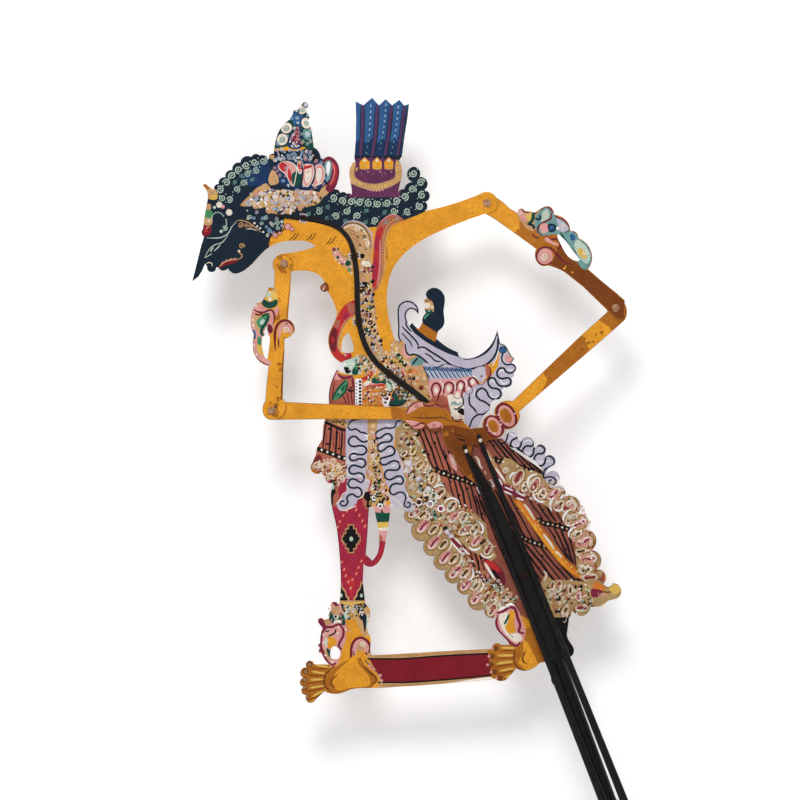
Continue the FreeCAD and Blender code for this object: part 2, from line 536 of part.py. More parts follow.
nodes = {
    "body_hide": body_hide(),
    "main_rod": main_rod(),
    "front_upper_arm": front_upper_arm(),
    "front_forearm": front_forearm(),
    "rear_upper_arm": rear_upper_arm(),
    "rear_forearm": rear_forearm(),
    "front_shoulder_pin": rivet(FRONT_SHOULDER, -FRONT_UPPER_FACE_TOP - END_GAP, HALF + WASHER_T),
    "front_shoulder_washer": washer(FRONT_SHOULDER, HALF),
    "front_elbow_pin": rivet(FRONT_ELBOW, -FRONT_UPPER_FACE_LOW, -FRONT_FOREARM_FACE + HIDE + END_GAP + WASHER_T),
    "front_elbow_washer": washer(FRONT_ELBOW, -FRONT_FOREARM_FACE + HIDE + END_GAP),
    "rear_shoulder_pin": rivet(REAR_SHOULDER, -HALF, -REAR_UPPER_FACE_TOP + HIDE + END_GAP + WASHER_T),
    "rear_shoulder_washer": washer(REAR_SHOULDER, -REAR_UPPER_FACE_TOP + HIDE + END_GAP),
    "rear_elbow_pin": rivet(REAR_ELBOW, -REAR_UPPER_FACE_LOW, -REAR_FOREARM_FACE + HIDE + END_GAP + WASHER_T),
    "rear_elbow_washer": washer(REAR_ELBOW, -REAR_FOREARM_FACE + HIDE + END_GAP),
    "front_arm_rod": hand_rod(FRONT_HAND, FRONT_ROD_TO, FRONT_ROD_LEN, FRONT_ROD_Y, FRONT_COLLAR),
    "rear_arm_rod": hand_rod(REAR_HAND, REAR_ROD_TO, REAR_ROD_LEN, REAR_ROD_Y, REAR_COLLAR),
    "front_hand_stem": stem(FRONT_HAND, FRONT_ROD_Y[0], FRONT_FOREARM_FACE - HIDE),
    "rear_hand_stem": stem(REAR_HAND, REAR_ROD_Y[0], REAR_FOREARM_FACE - HIDE),
}
for name in TIES:
    nodes[name], path = tie(name)
    length = sum(edge.Length for edge in path.Edges)
    points = path.discretize(Number=40 * TIE_TURNS)
    gap = FAR
    for i, p in enumerate(points):
        for q in points[i + 20:]:
            gap = min(gap, p.distanceToPoint(q) - 2 * THREAD_R)
    tube = nodes[name].Volume / (pi * THREAD_R ** 2 * length)
    print("least gap of", name, "to itself:", round(gap, 3), "volume against its length:", round(tube, 4))

os.makedirs("parts", exist_ok=True)
for name, shape in nodes.items():
    if shape.ShapeType == "Compound" and len(shape.Solids) == 1:
        shape = shape.Solids[0]
    print(name, shape.ShapeType, len(shape.Solids), shape.isValid(), round(shape.Volume, 1))
    shape.exportStep("parts/" + name + ".step")
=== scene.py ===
import bmesh
import bpy
import random
from math import atan2, ceil, cos, hypot, pi, radians, sin, tan
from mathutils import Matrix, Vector
from mathutils.geometry import delaunay_2d_cdt


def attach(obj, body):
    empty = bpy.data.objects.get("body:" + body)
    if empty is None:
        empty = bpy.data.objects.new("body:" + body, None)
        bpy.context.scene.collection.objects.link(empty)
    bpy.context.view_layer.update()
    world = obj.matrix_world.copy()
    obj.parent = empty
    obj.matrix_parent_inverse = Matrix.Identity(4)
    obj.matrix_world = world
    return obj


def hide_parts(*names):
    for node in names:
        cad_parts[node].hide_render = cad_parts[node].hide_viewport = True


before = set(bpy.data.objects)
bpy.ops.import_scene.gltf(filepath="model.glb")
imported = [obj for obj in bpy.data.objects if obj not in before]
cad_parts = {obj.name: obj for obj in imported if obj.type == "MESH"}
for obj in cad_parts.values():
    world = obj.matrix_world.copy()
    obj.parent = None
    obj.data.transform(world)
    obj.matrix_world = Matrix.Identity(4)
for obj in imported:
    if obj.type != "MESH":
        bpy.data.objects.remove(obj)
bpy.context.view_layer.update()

# Studio: a pale floor that curves up into a wall just behind the puppet, one broad soft lamp above and
# in front of it and an even pale sky. The wall takes the puppet's soft shadow.
MM = 0.001
VIEW_WIDTH = 0.600
CAMERA_AWAY = 3.4
SENSOR = 36.0
VIEW_X, VIEW_Z = -0.1845, 0.375
WALL_Y = 0.062
FLOOR_Z = -0.0022
COVE = 0.05
ROOM = 2.6


def ink(r, g, b):
    """A paint colour, mixed from its three parts of 255, as the linear colour that the shader takes."""
    return tuple((c / 12.92 if c <= 0.04045 else ((c + 0.055) / 1.055) ** 2.4)
                 for c in (r / 255, g / 255, b / 255)) + (1.0,)


def new_material(name):
    """A material by name, with its nodes, its links and its main shader."""
    m = bpy.data.materials.new(name)
    m.use_nodes = True
    return m, m.node_tree.nodes, m.node_tree.links, m.node_tree.nodes["Principled BSDF"]


def wall_and_floor():
    """The pale paper that runs from the floor up the wall in one curve."""
    steps = 12
    profile = [(-ROOM, FLOOR_Z)]
    for i in range(steps + 1):
        a = pi / 2 * i / steps
        profile.append((WALL_Y - COVE + COVE * sin(a), FLOOR_Z + COVE - COVE * cos(a)))
    profile.append((WALL_Y, ROOM))
    verts, faces = [], []
    for y, z in profile:
        verts += [(-ROOM, y, z), (ROOM, y, z)]
    for i in range(len(profile) - 1):
        faces.append((2 * i, 2 * i + 1, 2 * i + 3, 2 * i + 2))
    me = bpy.data.meshes.new("pale_paper")
    me.from_pydata(verts, [], faces)
    o = bpy.data.objects.new("pale_paper", me)
    bpy.context.collection.objects.link(o)
    m, nodes, links, bsdf = new_material("pale_paper")
    bsdf.inputs["Base Color"].default_value = (0.93, 0.93, 0.93, 1)
    bsdf.inputs["Roughness"].default_value = 0.9
    bsdf.inputs["Specular IOR Level"].default_value = 0.0
    glow = nodes.new("ShaderNodeEmission")
    glow.inputs["Strength"].default_value = 0.2
    paths = nodes.new("ShaderNodeLightPath")
    add = nodes.new("ShaderNodeAddShader")
    seen = nodes.new("ShaderNodeMixShader")
    through = nodes.new("ShaderNodeMixShader")
    clear = nodes.new("ShaderNodeBsdfTransparent")
    side = nodes.new("ShaderNodeNewGeometry")
    links.new(bsdf.outputs[0], add.inputs[0])
    links.new(glow.outputs[0], add.inputs[1])
    links.new(paths.outputs["Is Camera Ray"], seen.inputs[0])
    links.new(bsdf.outputs[0], seen.inputs[1])
    links.new(add.outputs[0], seen.inputs[2])
    links.new(side.outputs["Backfacing"], through.inputs[0])
    links.new(seen.outputs[0], through.inputs[1])
    links.new(clear.outputs[0], through.inputs[2])
    links.new(through.outputs[0], nodes["Material Output"].inputs["Surface"])
    me.materials.append(m)


def lamp(name, place, target, size, power):
    """One soft lamp at its place, turned to its target."""
    data = bpy.data.lights.new(name, "AREA")
    data.shape = "DISK"
    data.size = size
    data.energy = power
    o = bpy.data.objects.new(name, data)
    o.location = place
    o.rotation_euler = (Vector(target) - Vector(place)).to_track_quat("-Z", "Y").to_euler()
    bpy.context.collection.objects.link(o)


wall_and_floor()
lamp("key_lamp", (-0.5, -2.0, 1.75), (VIEW_X, 0, VIEW_Z), 0.9, 33.0)
lamp("fill_lamp", (1.3, -2.2, 0.6), (VIEW_X, 0, VIEW_Z), 1.6, 5.0)
lamp("back_lamp", (0.3, 1.9, 1.6), (VIEW_X, 0, VIEW_Z), 1.2, 14.0)
world = bpy.data.worlds.new("pale_sky")
bpy.context.scene.world = world
world.use_nodes = True
world.node_tree.nodes["Background"].inputs["Color"].default_value = (1, 1, 1, 1)
world.node_tree.nodes["Background"].inputs["Strength"].default_value = 0.32
sky_paths = world.node_tree.nodes.new("ShaderNodeLightPath")
sky_seen = world.node_tree.nodes.new("ShaderNodeMapRange")
sky_seen.inputs["To Min"].default_value = 0.32
sky_seen.inputs["To Max"].default_value = 1.0
world.node_tree.links.new(sky_paths.outputs["Is Camera Ray"], sky_seen.inputs["Value"])
world.node_tree.links.new(sky_seen.outputs[0], world.node_tree.nodes["Background"].inputs["Strength"])

camera = bpy.data.cameras.new("camera")
camera.sensor_width = SENSOR
camera.lens = SENSOR * CAMERA_AWAY / VIEW_WIDTH
camera_at = bpy.data.objects.new("camera", camera)
camera_at.location = (VIEW_X, -CAMERA_AWAY, VIEW_Z)
camera_at.rotation_euler = (pi / 2, 0, 0)
bpy.context.collection.objects.link(camera_at)
bpy.context.scene.camera = camera_at
bpy.context.scene.view_settings.view_transform = "Standard"

# Paints: pigment bound with hide glue and brushed on the scraped hide, each a little uneven, worn thin and
# dusty. Gold is bronze powder in the same glue. One shared group gives every paint its brush marks, specks
# and grain.


def uneven_paint_group():
    """Brush marks, specks and grain of a coat of glue paint, as one shared shader group."""
    g = bpy.data.node_groups.new("uneven_paint", "ShaderNodeTree")
    for name, kind, value in (("Colour", "NodeSocketColor", (1, 1, 1, 1)),
            ("Worn colour", "NodeSocketColor", (1, 1, 1, 1)), ("Patch scale", "NodeSocketFloat", 60.0),
            ("Patchiness", "NodeSocketFloat", 0.5), ("Speck scale", "NodeSocketFloat", 900.0),
            ("Specks", "NodeSocketFloat", 0.3)):
        s = g.interface.new_socket(name, in_out="INPUT", socket_type=kind)
        s.default_value = value
    for name, kind in (("Colour", "NodeSocketColor"), ("Roughness", "NodeSocketFloat"),
            ("Height", "NodeSocketFloat")):
        g.interface.new_socket(name, in_out="OUTPUT", socket_type=kind)
    n, l = g.nodes, g.links
    inp, out = n.new("NodeGroupInput"), n.new("NodeGroupOutput")
    co = n.new("ShaderNodeTexCoord")
    patches = n.new("ShaderNodeTexNoise")
    patches.inputs["Detail"].default_value = 4.0
    patches.inputs["Roughness"].default_value = 0.6
    specks = n.new("ShaderNodeTexNoise")
    specks.inputs["Detail"].default_value = 2.0
    grain = n.new("ShaderNodeTexNoise")
    grain.inputs["Scale"].default_value = 2600.0
    grain.inputs["Detail"].default_value = 3.0
    for t in (patches, specks, grain):
        l.new(co.outputs["Object"], t.inputs["Vector"])
    l.new(inp.outputs["Patch scale"], patches.inputs["Scale"])
    l.new(inp.outputs["Speck scale"], specks.inputs["Scale"])
    wide = n.new("ShaderNodeMapRange")
    wide.inputs["From Min"].default_value = 0.42
    wide.inputs["From Max"].default_value = 0.72
    l.new(patches.outputs["Fac"], wide.inputs["Value"])
    fine = n.new("ShaderNodeMapRange")
    fine.inputs["From Min"].default_value = 0.5
    fine.inputs["From Max"].default_value = 0.62
    l.new(specks.outputs["Fac"], fine.inputs["Value"])
    a = n.new("ShaderNodeMath")
    a.operation = "MULTIPLY"
    l.new(wide.outputs[0], a.inputs[0])
    l.new(inp.outputs["Patchiness"], a.inputs[1])
    b = n.new("ShaderNodeMath")
    b.operation = "MULTIPLY"
    l.new(fine.outputs[0], b.inputs[0])
    l.new(inp.outputs["Specks"], b.inputs[1])
    c = n.new("ShaderNodeMath")
    c.operation = "MAXIMUM"
    l.new(a.outputs[0], c.inputs[0])
    l.new(b.outputs[0], c.inputs[1])
    mix = n.new("ShaderNodeMix")
    mix.data_type = "RGBA"
    l.new(c.outputs[0], mix.inputs["Factor"])
    l.new(inp.outputs["Colour"], mix.inputs["A"])
    l.new(inp.outputs["Worn colour"], mix.inputs["B"])
    l.new(mix.outputs["Result"], out.inputs["Colour"])
    rough = n.new("ShaderNodeMapRange")
    rough.inputs["To Min"].default_value = 0.42
    rough.inputs["To Max"].default_value = 0.68
    l.new(patches.outputs["Fac"], rough.inputs["Value"])
    l.new(rough.outputs[0], out.inputs["Roughness"])
    high = n.new("ShaderNodeMath")
    high.operation = "ADD"
    l.new(grain.outputs["Fac"], high.inputs[0])
    l.new(specks.outputs["Fac"], high.inputs[1])
    l.new(high.outputs[0], out.inputs["Height"])
    return g


uneven_paint = uneven_paint_group()
# name: colour, colour where it is worn or thick, patchiness, specks, metal
PAINTS = {
    "gold": (ink(228, 158, 44), ink(172, 102, 24), 0.55, 0.5, 0.15),
    "bronze": (ink(178, 110, 32), ink(108, 58, 14), 0.6, 0.5, 0.25),
    "black": (ink(12, 9, 12), ink(32, 22, 24), 0.5, 0.2, 0.0),
    "navy": (ink(13, 28, 44), ink(26, 44, 58), 0.5, 0.3, 0.0),
    "deep_green": (ink(16, 74, 60), ink(10, 40, 36), 0.6, 0.4, 0.0),
    "leaf_green": (ink(70, 140, 96), ink(30, 90, 70), 0.5, 0.3, 0.0),
    "curl_green": (ink(190, 208, 192), ink(120, 150, 140), 0.6, 0.5, 0.0),
    "cream": (ink(232, 222, 208), ink(190, 172, 150), 0.5, 0.4, 0.0),
    "white": (ink(238, 236, 236), ink(206, 200, 204), 0.5, 0.3, 0.0),
    "lilac": (ink(190, 182, 196), ink(150, 144, 166), 0.6, 0.4, 0.0),
    "blue": (ink(48, 92, 140), ink(30, 60, 102), 0.7, 0.3, 0.0),
    "pale_blue": (ink(150, 182, 210), ink(90, 126, 170), 0.6, 0.3, 0.0),
    "purple": (ink(74, 56, 98), ink(44, 36, 68), 0.6, 0.3, 0.0),
    "plum": (ink(100, 46, 82), ink(64, 30, 60), 0.6, 0.4, 0.0),
    "deep_blue": (ink(22, 50, 90), ink(18, 36, 66), 0.6, 0.3, 0.0),
    "maroon": (ink(122, 34, 58), ink(80, 20, 40), 0.6, 0.4, 0.0),
    "crimson": (ink(162, 38, 62), ink(124, 24, 46), 0.6, 0.4, 0.0),
    "base_red": (ink(126, 24, 38), ink(98, 14, 28), 0.6, 0.4, 0.0),
    "red": (ink(186, 44, 46), ink(130, 26, 34), 0.5, 0.3, 0.0),
    "terracotta": (ink(176, 100, 78), ink(136, 66, 54), 0.6, 0.5, 0.0),
    "pink": (ink(216, 156, 150), ink(184, 108, 108), 0.6, 0.4, 0.0),
    "tan": (ink(200, 158, 110), ink(146, 100, 62), 0.6, 0.5, 0.1),
    "teal": (ink(112, 156, 152), ink(62, 104, 104), 0.6, 0.4, 0.0),
    "yellow": (ink(216, 180, 88), ink(178, 132, 50), 0.5, 0.4, 0.1),
    "raw_hide": (ink(214, 190, 150), ink(150, 116, 76), 0.7, 0.4, 0.0),
}
paint_material = {}


def mix_paint(name):
    """The material of one paint of the list."""
    if name in paint_material:
        return paint_material[name]
    colour, worn, patchy, specks, metal = PAINTS[name]
    m, nodes, links, bsdf = new_material("paint_" + name)
    g = nodes.new("ShaderNodeGroup")
    g.node_tree = uneven_paint
    g.inputs["Colour"].default_value = colour
    g.inputs["Worn colour"].default_value = worn
    g.inputs["Patchiness"].default_value = patchy
    g.inputs["Specks"].default_value = specks
    bump = nodes.new("ShaderNodeBump")
    bump.inputs["Strength"].default_value = 0.25
    bump.inputs["Distance"].default_value = 0.0002
    links.new(g.outputs["Colour"], bsdf.inputs["Base Color"])
    links.new(g.outputs["Roughness"], bsdf.inputs["Roughness"])
    links.new(g.outputs["Height"], bump.inputs["Height"])
    links.new(bump.outputs[0], bsdf.inputs["Normal"])
    bsdf.inputs["Metallic"].default_value = metal
    bsdf.inputs["Specular IOR Level"].default_value = 0.12
    paint_material[name] = m
    return m


# Drawing: every hide is cut and painted from one flat drawing, in millimetres, u to the right and v up.
# The drawing's lines become outlines of paint on the sheet, and an outline with no paint is pierced through.
FOOT_U, FOOT_V = 342.0, -150.0
FACET = 0.9


MOST_STEPS = 12


def xy(way):
    """Points of the drawing, in millimetres, from words such as 12.5,80 for each point."""
    return [tuple(map(float, point.split(","))) for point in way.split()]


def smooth(points, closed=False, facet=FACET):
    """A free-hand line through the points."""
    n = len(points)
    if n < 3:
        return list(points)
    line = []
    for i in range(n if closed else n - 1):
        p1, p2 = points[i], points[(i + 1) % n]
        p0 = points[i - 1] if closed or i > 0 else p1
        p3 = points[(i + 2) % n] if closed or i + 2 < n else p2
        steps = max(1, min(MOST_STEPS, ceil(hypot(p2[0] - p1[0], p2[1] - p1[1]) / facet)))
        for k in range(steps):
            t = k / steps
            line.append(tuple(
                0.5 * (2 * p1[j] + (p2[j] - p0[j]) * t
                       + (2 * p0[j] - 5 * p1[j] + 4 * p2[j] - p3[j]) * t * t
                       + (3 * p1[j] - p0[j] - 3 * p2[j] + p3[j]) * t ** 3)
                for j in (0, 1)))
    if not closed:
        line.append(tuple(points[-1]))
    return line


THIN_END, TAPER = 0.35, 5.0


def brush(points, width, thin=THIN_END, curved=True):
    """The outline of one brush stroke along the points, thinner to its ends."""
    line = smooth(points) if curved else list(points)
    run = [0.0]
    for a, b in zip(line, line[1:]):
        run.append(run[-1] + hypot(b[0] - a[0], b[1] - a[1]))
    left, right = [], []
    for i, p in enumerate(line):
        a, b = line[max(i - 1, 0)], line[min(i + 1, len(line) - 1)]
        d = hypot(b[0] - a[0], b[1] - a[1]) or 1.0
        nu, nv = -(b[1] - a[1]) / d, (b[0] - a[0]) / d
        t = run[i] / (run[-1] or 1.0)
        w = width / 2 * (thin + (1 - thin) * min(1.0, TAPER * min(t, 1 - t)))
        left.append((p[0] + nu * w, p[1] + nv * w))
        right.append((p[0] - nu * w, p[1] - nv * w))
    return left + right[::-1]


FEWEST_SIDES, MOST_SIDES = 8, 28


def disc(c, ru, rv=None, turn=0.0, sides=None):
    """A round or oval spot of paint."""
    rv = rv or ru
    sides = sides or max(FEWEST_SIDES, min(MOST_SIDES, int(6 + 3 * max(ru, rv))))
    t = radians(turn)
    return [(c[0] + ru * cos(a) * cos(t) - rv * sin(a) * sin(t),
             c[1] + ru * cos(a) * sin(t) + rv * sin(a) * cos(t))
            for a in (2 * pi * i / sides for i in range(sides))]


LEAST_AREA = 0.02


class Sheet:
    """A hide and its painting, from the bottom coat up."""

    def __init__(self, node, coat):
        self.node = node
        self.coat = coat
        self.areas = []
        self.edge = None

    def add(self, paint, outline, inside=None):
        """One painted field. Without a paint it is an opening."""
        s = sum(a[0] * b[1] - b[0] * a[1] for a, b in zip(outline, outline[1:] + outline[:1]))
        if abs(s) < LEAST_AREA:
            return None
        self.areas.append((paint, outline if s > 0 else outline[::-1], inside))
        return len(self.areas)

    def patch(self, paint, *points, inside=None, curved=True):
        """A field with a free-hand or a straight-edged outline."""
        return self.add(paint, smooth(points, True) if curved else list(points), inside)

    def line(self, paint, width, *points, inside=None, thin=THIN_END, curved=True):
        """A brush stroke."""
        return self.add(paint, brush(points, width, thin, curved), inside)

    def dot(self, paint, c, ru, rv=None, turn=0.0, inside=None, sides=None):
        """A round or oval spot."""
        return self.add(paint, disc(c, ru, rv, turn, sides), inside)

    def ringed(self, c, *coats):
        """Round spots on one another, each a paint and its radius."""
        for paint, r in coats:
            self.dot(paint, c, r)

    def pierce(self, *outlines):
        """Openings through the hide."""
        for o in outlines:
            self.add(None, o)


def along(points, step, start=0.0, curved=True):
    """Places and directions at even steps along a line through the points."""
    line = smooth(points) if curved else list(points)
    out, ahead = [], start
    for a, b in zip(line, line[1:]):
        d = hypot(b[0] - a[0], b[1] - a[1])
        while ahead <= d and d > 0:
            t = ahead / d
            out.append(((a[0] + (b[0] - a[0]) * t, a[1] + (b[1] - a[1]) * t),
                        atan2(b[1] - a[1], b[0] - a[0])))
            ahead += step
        ahead -= d
    return out


FRONT_FACING = -0.5


def sheet_edge(node):
    """The cut edge of a hide as closed loops of drawing points, read from the frame's own solid."""
    me = bpy.data.objects[node].data
    key = lambda v: (round(v.co.x * 1e5), round(v.co.z * 1e5))
    me.calc_loop_triangles()
    count = {}
    for t in me.loop_triangles:
        if t.normal.y < FRONT_FACING:
            k = [key(me.vertices[i]) for i in t.vertices]
            for a, b in ((0, 1), (1, 2), (2, 0)):
                if k[a] != k[b]:
                    count[(k[a], k[b])] = count.get((k[a], k[b]), 0) + 1
    step = {}
    for (a, b), n in count.items():
        if (b, a) not in count:
            step.setdefault(a, []).append(b)
    loops = []
    while step:
        a = next(iter(step))
        loop = [a]
        while True:
            nxt = step[loop[-1]].pop()
            if not step[loop[-1]]:
                del step[loop[-1]]
            if nxt == a:
                break
            loop.append(nxt)
            if nxt not in step:
                break
        loops.append([(x / 100 + FOOT_U, z / 100 + FOOT_V) for x, z in loop])
    return loops


def area_of(loop):
    """The area within a loop, positive when it runs to the left."""
    return sum(a[0] * b[1] - b[0] * a[1] for a, b in zip(loop, loop[1:] + loop[:1])) / 2


def lay_sheet(sheet, name, body, front_y, thick, creases=()):
    """Turns the drawing into the solid hide: painted front, the same painting on the back, raw cut edges."""
    loops = sorted(sheet_edge(sheet.node), key=lambda p: -abs(area_of(p)))
    areas = [("sheet", loops[0], None)] + [("hole", p, None) for p in loops[1:]] + sheet.areas
    shift = len(loops)
    verts, faces = [], []
    for paint, outline, inside in areas:
        s = area_of(outline)
        base = len(verts)
        verts += [Vector(p) for p in (outline if s > 0 else outline[::-1])]
        faces.append(list(range(base, base + len(outline))))
    edges = []
    for a, b in creases:
        edges.append((len(verts), len(verts) + 1))
        verts += [Vector(a), Vector(b)]
    co, _, tris, _, _, origin = delaunay_2d_cdt(verts, edges, faces, 1, 1e-4)
    names = sorted({sheet.coat} | {a[0] for a in sheet.areas if a[0]})
    slots = {n: i for i, n in enumerate(names + ["raw_hide"])}
    kept = []
    for tri, ids in zip(tris, origin):
        if 0 not in ids:
            continue
        have, top = set(ids), None
        paint = sheet.coat
        for i in sorted(have, reverse=True):
            kind, _, inside = areas[i]
            if i < shift:
                if kind == "hole":
                    paint = None
                continue
            if inside is None or inside - 1 + shift in have:
                paint = kind
                break
        if paint is not None and not any(areas[i][0] == "hole" for i in have):
            kept.append((tri, paint))
    used = sorted({i for tri, _ in kept for i in tri})
    place = {v: k for k, v in enumerate(used)}
    n = len(used)
    points = []
    for back in (False, True):
        for v in used:
            u, w = co[v]
            y = front_y(u, w)
            points.append(((u - FOOT_U) * MM, (y + (thick if back else 0.0)) * MM, (w - FOOT_V) * MM))
    polys, slot = [], []
    border = {}
    for tri, paint in kept:
        t = [place[i] for i in tri]
        polys.append(t)
        slot.append(slots[paint])
        polys.append([i + n for i in reversed(t)])
        slot.append(slots[paint])
        for a, b in zip(t, t[1:] + t[:1]):
            border[(a, b)] = True
    for a, b in border:
        if (b, a) not in border:
            polys.append([b, a, a + n, b + n])
            slot.append(slots["raw_hide"])
    me = bpy.data.meshes.new(name)
    me.from_pydata(points, [], polys)
    me.polygons.foreach_set("material_index", slot)
    for paint in names + ["raw_hide"]:
        me.materials.append(mix_paint(paint))
    me.update()
    o = bpy.data.objects.new(name, me)
    bpy.context.collection.objects.link(o)
    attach(o, body)
    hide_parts(sheet.node)
    print(name, "areas", len(sheet.areas), "faces", len(polys))
    return o


body = Sheet("body_hide", "gold")

# Raised paint: thick strokes of paint stand a little proud of the sheet, the same on both faces. Curls, dots
# and petals are stamped on points; the mesh of points carries each stamp's size, turn and hand.


def node_tree(name, floats):
    """A geometry tree with named inputs, and its nodes, links, input and output."""
    t = bpy.data.node_groups.new(name, "GeometryNodeTree")
    t.interface.new_socket("Geometry", in_out="INPUT", socket_type="NodeSocketGeometry")
    t.interface.new_socket("Geometry", in_out="OUTPUT", socket_type="NodeSocketGeometry")
    for label, value in floats:
        s = t.interface.new_socket(label, in_out="INPUT", socket_type="NodeSocketFloat")
        s.default_value = value
    s = t.interface.new_socket("Paint", in_out="INPUT", socket_type="NodeSocketMaterial")
    return t, t.nodes, t.links, t.nodes.new("NodeGroupInput"), t.nodes.new("NodeGroupOutput")


def both_faces(t, nodes, links, inp, geo):
    """Moves raised paint out to the front face, copies it to the back face and gives it its paint."""
    front = nodes.new("GeometryNodeTransform")
    back = nodes.new("GeometryNodeTransform")
    flip = nodes.new("GeometryNodeFlipFaces")
    join = nodes.new("GeometryNodeJoinGeometry")
    real = nodes.new("GeometryNodeRealizeInstances")
    paint = nodes.new("GeometryNodeSetMaterial")
    neg = nodes.new("ShaderNodeMath")
    neg.operation = "MULTIPLY"
    neg.inputs[1].default_value = -1.0
    shift = nodes.new("ShaderNodeCombineXYZ")
    links.new(inp.outputs["Half thickness"], neg.inputs[0])
    links.new(neg.outputs[0], shift.inputs["Y"])
    links.new(shift.outputs[0], front.inputs["Translation"])
    links.new(geo, real.inputs[0])
    links.new(real.outputs[0], front.inputs["Geometry"])
    back.inputs["Scale"].default_value = (1, -1, 1)
    links.new(front.outputs[0], back.inputs["Geometry"])
    links.new(back.outputs[0], flip.inputs["Mesh"])
    links.new(front.outputs[0], join.inputs[0])
    links.new(flip.outputs[0], join.inputs[0])
    real2 = nodes.new("GeometryNodeRealizeInstances")
    links.new(join.outputs[0], real2.inputs[0])
    links.new(real2.outputs[0], paint.inputs["Geometry"])
    links.new(inp.outputs["Paint"], paint.inputs["Material"])
    return paint.outputs[0]


def stamp_tree(kind):
    """A stamp on every point: a curl, a dot or a petal, one unit across, sized and turned by its point."""
    t, nodes, links, inp, out = node_tree("stamp_" + kind, (("Half thickness", 0.6 * MM), ("Line", 0.2),
                                                           ("Turns", 1.6), ("Height", 0.1)))
    if kind == "curl":
        spiral = nodes.new("GeometryNodeCurveSpiral")
        spiral.inputs["Resolution"].default_value = 10
        spiral.inputs["Start Radius"].default_value = 0.16
        spiral.inputs["End Radius"].default_value = 1.0
        spiral.inputs["Height"].default_value = 0.0
        links.new(inp.outputs["Turns"], spiral.inputs["Rotations"])
        ring = nodes.new("GeometryNodeCurvePrimitiveCircle")
        ring.inputs["Resolution"].default_value = 5
        links.new(inp.outputs["Line"], ring.inputs["Radius"])
        sweep = nodes.new("GeometryNodeCurveToMesh")
        sweep.inputs["Fill Caps"].default_value = True
        links.new(spiral.outputs[0], sweep.inputs["Curve"])
        links.new(ring.outputs[0], sweep.inputs["Profile Curve"])
        shape = sweep.outputs[0]
    else:
        ball = nodes.new("GeometryNodeMeshIcoSphere")
        ball.inputs["Radius"].default_value = 1.0
        ball.inputs["Subdivisions"].default_value = 2
        shape = ball.outputs["Mesh"]
    flat = nodes.new("GeometryNodeTransform")
    thin = nodes.new("ShaderNodeCombineXYZ")
    thin.inputs["X"].default_value = 1.0
    thin.inputs["Y"].default_value = 1.0 if kind != "petal" else 0.45
    links.new(inp.outputs["Height"], thin.inputs["Z"])
    links.new(thin.outputs[0], flat.inputs["Scale"])
    links.new(shape, flat.inputs["Geometry"])
    size = nodes.new("GeometryNodeInputNamedAttribute")
    size.data_type = "FLOAT"
    size.inputs["Name"].default_value = "size"
    turn = nodes.new("GeometryNodeInputNamedAttribute")
    turn.data_type = "FLOAT_VECTOR"
    turn.inputs["Name"].default_value = "turn"
    as_turn = nodes.new("FunctionNodeEulerToRotation")
    links.new(turn.outputs["Attribute"], as_turn.inputs[0])
    put = nodes.new("GeometryNodeInstanceOnPoints")
    links.new(inp.outputs["Geometry"], put.inputs["Points"])
    links.new(flat.outputs[0], put.inputs["Instance"])
    links.new(as_turn.outputs[0], put.inputs["Rotation"])
    links.new(size.outputs["Attribute"], put.inputs["Scale"])
    links.new(both_faces(t, nodes, links, inp, put.outputs[0]), out.inputs[0])
    return t


def line_tree():
    """A round-edged line of paint along every edge chain."""
    t, nodes, links, inp, out = node_tree("paint_line", (("Half thickness", 0.6 * MM), ("Width", 1.0 * MM),
                                                        ("Height", 0.3)))
    curve = nodes.new("GeometryNodeMeshToCurve")
    links.new(inp.outputs["Geometry"], curve.inputs[0])
    wide = nodes.new("GeometryNodeInputNamedAttribute")
    wide.data_type = "FLOAT"
    wide.inputs["Name"].default_value = "size"
    fat = nodes.new("GeometryNodeSetCurveRadius")
    links.new(curve.outputs[0], fat.inputs["Curve"])
    links.new(wide.outputs["Attribute"], fat.inputs["Radius"])
    ring = nodes.new("GeometryNodeCurvePrimitiveCircle")
    ring.inputs["Resolution"].default_value = 6
    half = nodes.new("ShaderNodeMath")
    half.operation = "MULTIPLY"
    half.inputs[1].default_value = 0.5
    links.new(inp.outputs["Width"], half.inputs[0])
    links.new(half.outputs[0], ring.inputs["Radius"])
    sweep = nodes.new("GeometryNodeCurveToMesh")
    sweep.inputs["Fill Caps"].default_value = True
    if "Scale" in sweep.inputs:
        radius = nodes.new("GeometryNodeInputRadius")
        links.new(radius.outputs[0], sweep.inputs["Scale"])
    links.new(fat.outputs[0], sweep.inputs["Curve"])
    links.new(ring.outputs[0], sweep.inputs["Profile Curve"])
    flat = nodes.new("GeometryNodeTransform")
    thin = nodes.new("ShaderNodeCombineXYZ")
    thin.inputs["X"].default_value = 1.0
    thin.inputs["Z"].default_value = 1.0
    links.new(inp.outputs["Height"], thin.inputs["Y"])
    links.new(thin.outputs[0], flat.inputs["Scale"])
    links.new(sweep.outputs[0], flat.inputs["Geometry"])
    links.new(both_faces(t, nodes, links, inp, flat.outputs[0]), out.inputs[0])
    return t


TREES = {"curl": stamp_tree("curl"), "dot": stamp_tree("dot"), "petal": stamp_tree("petal"),
    "line": line_tree()}


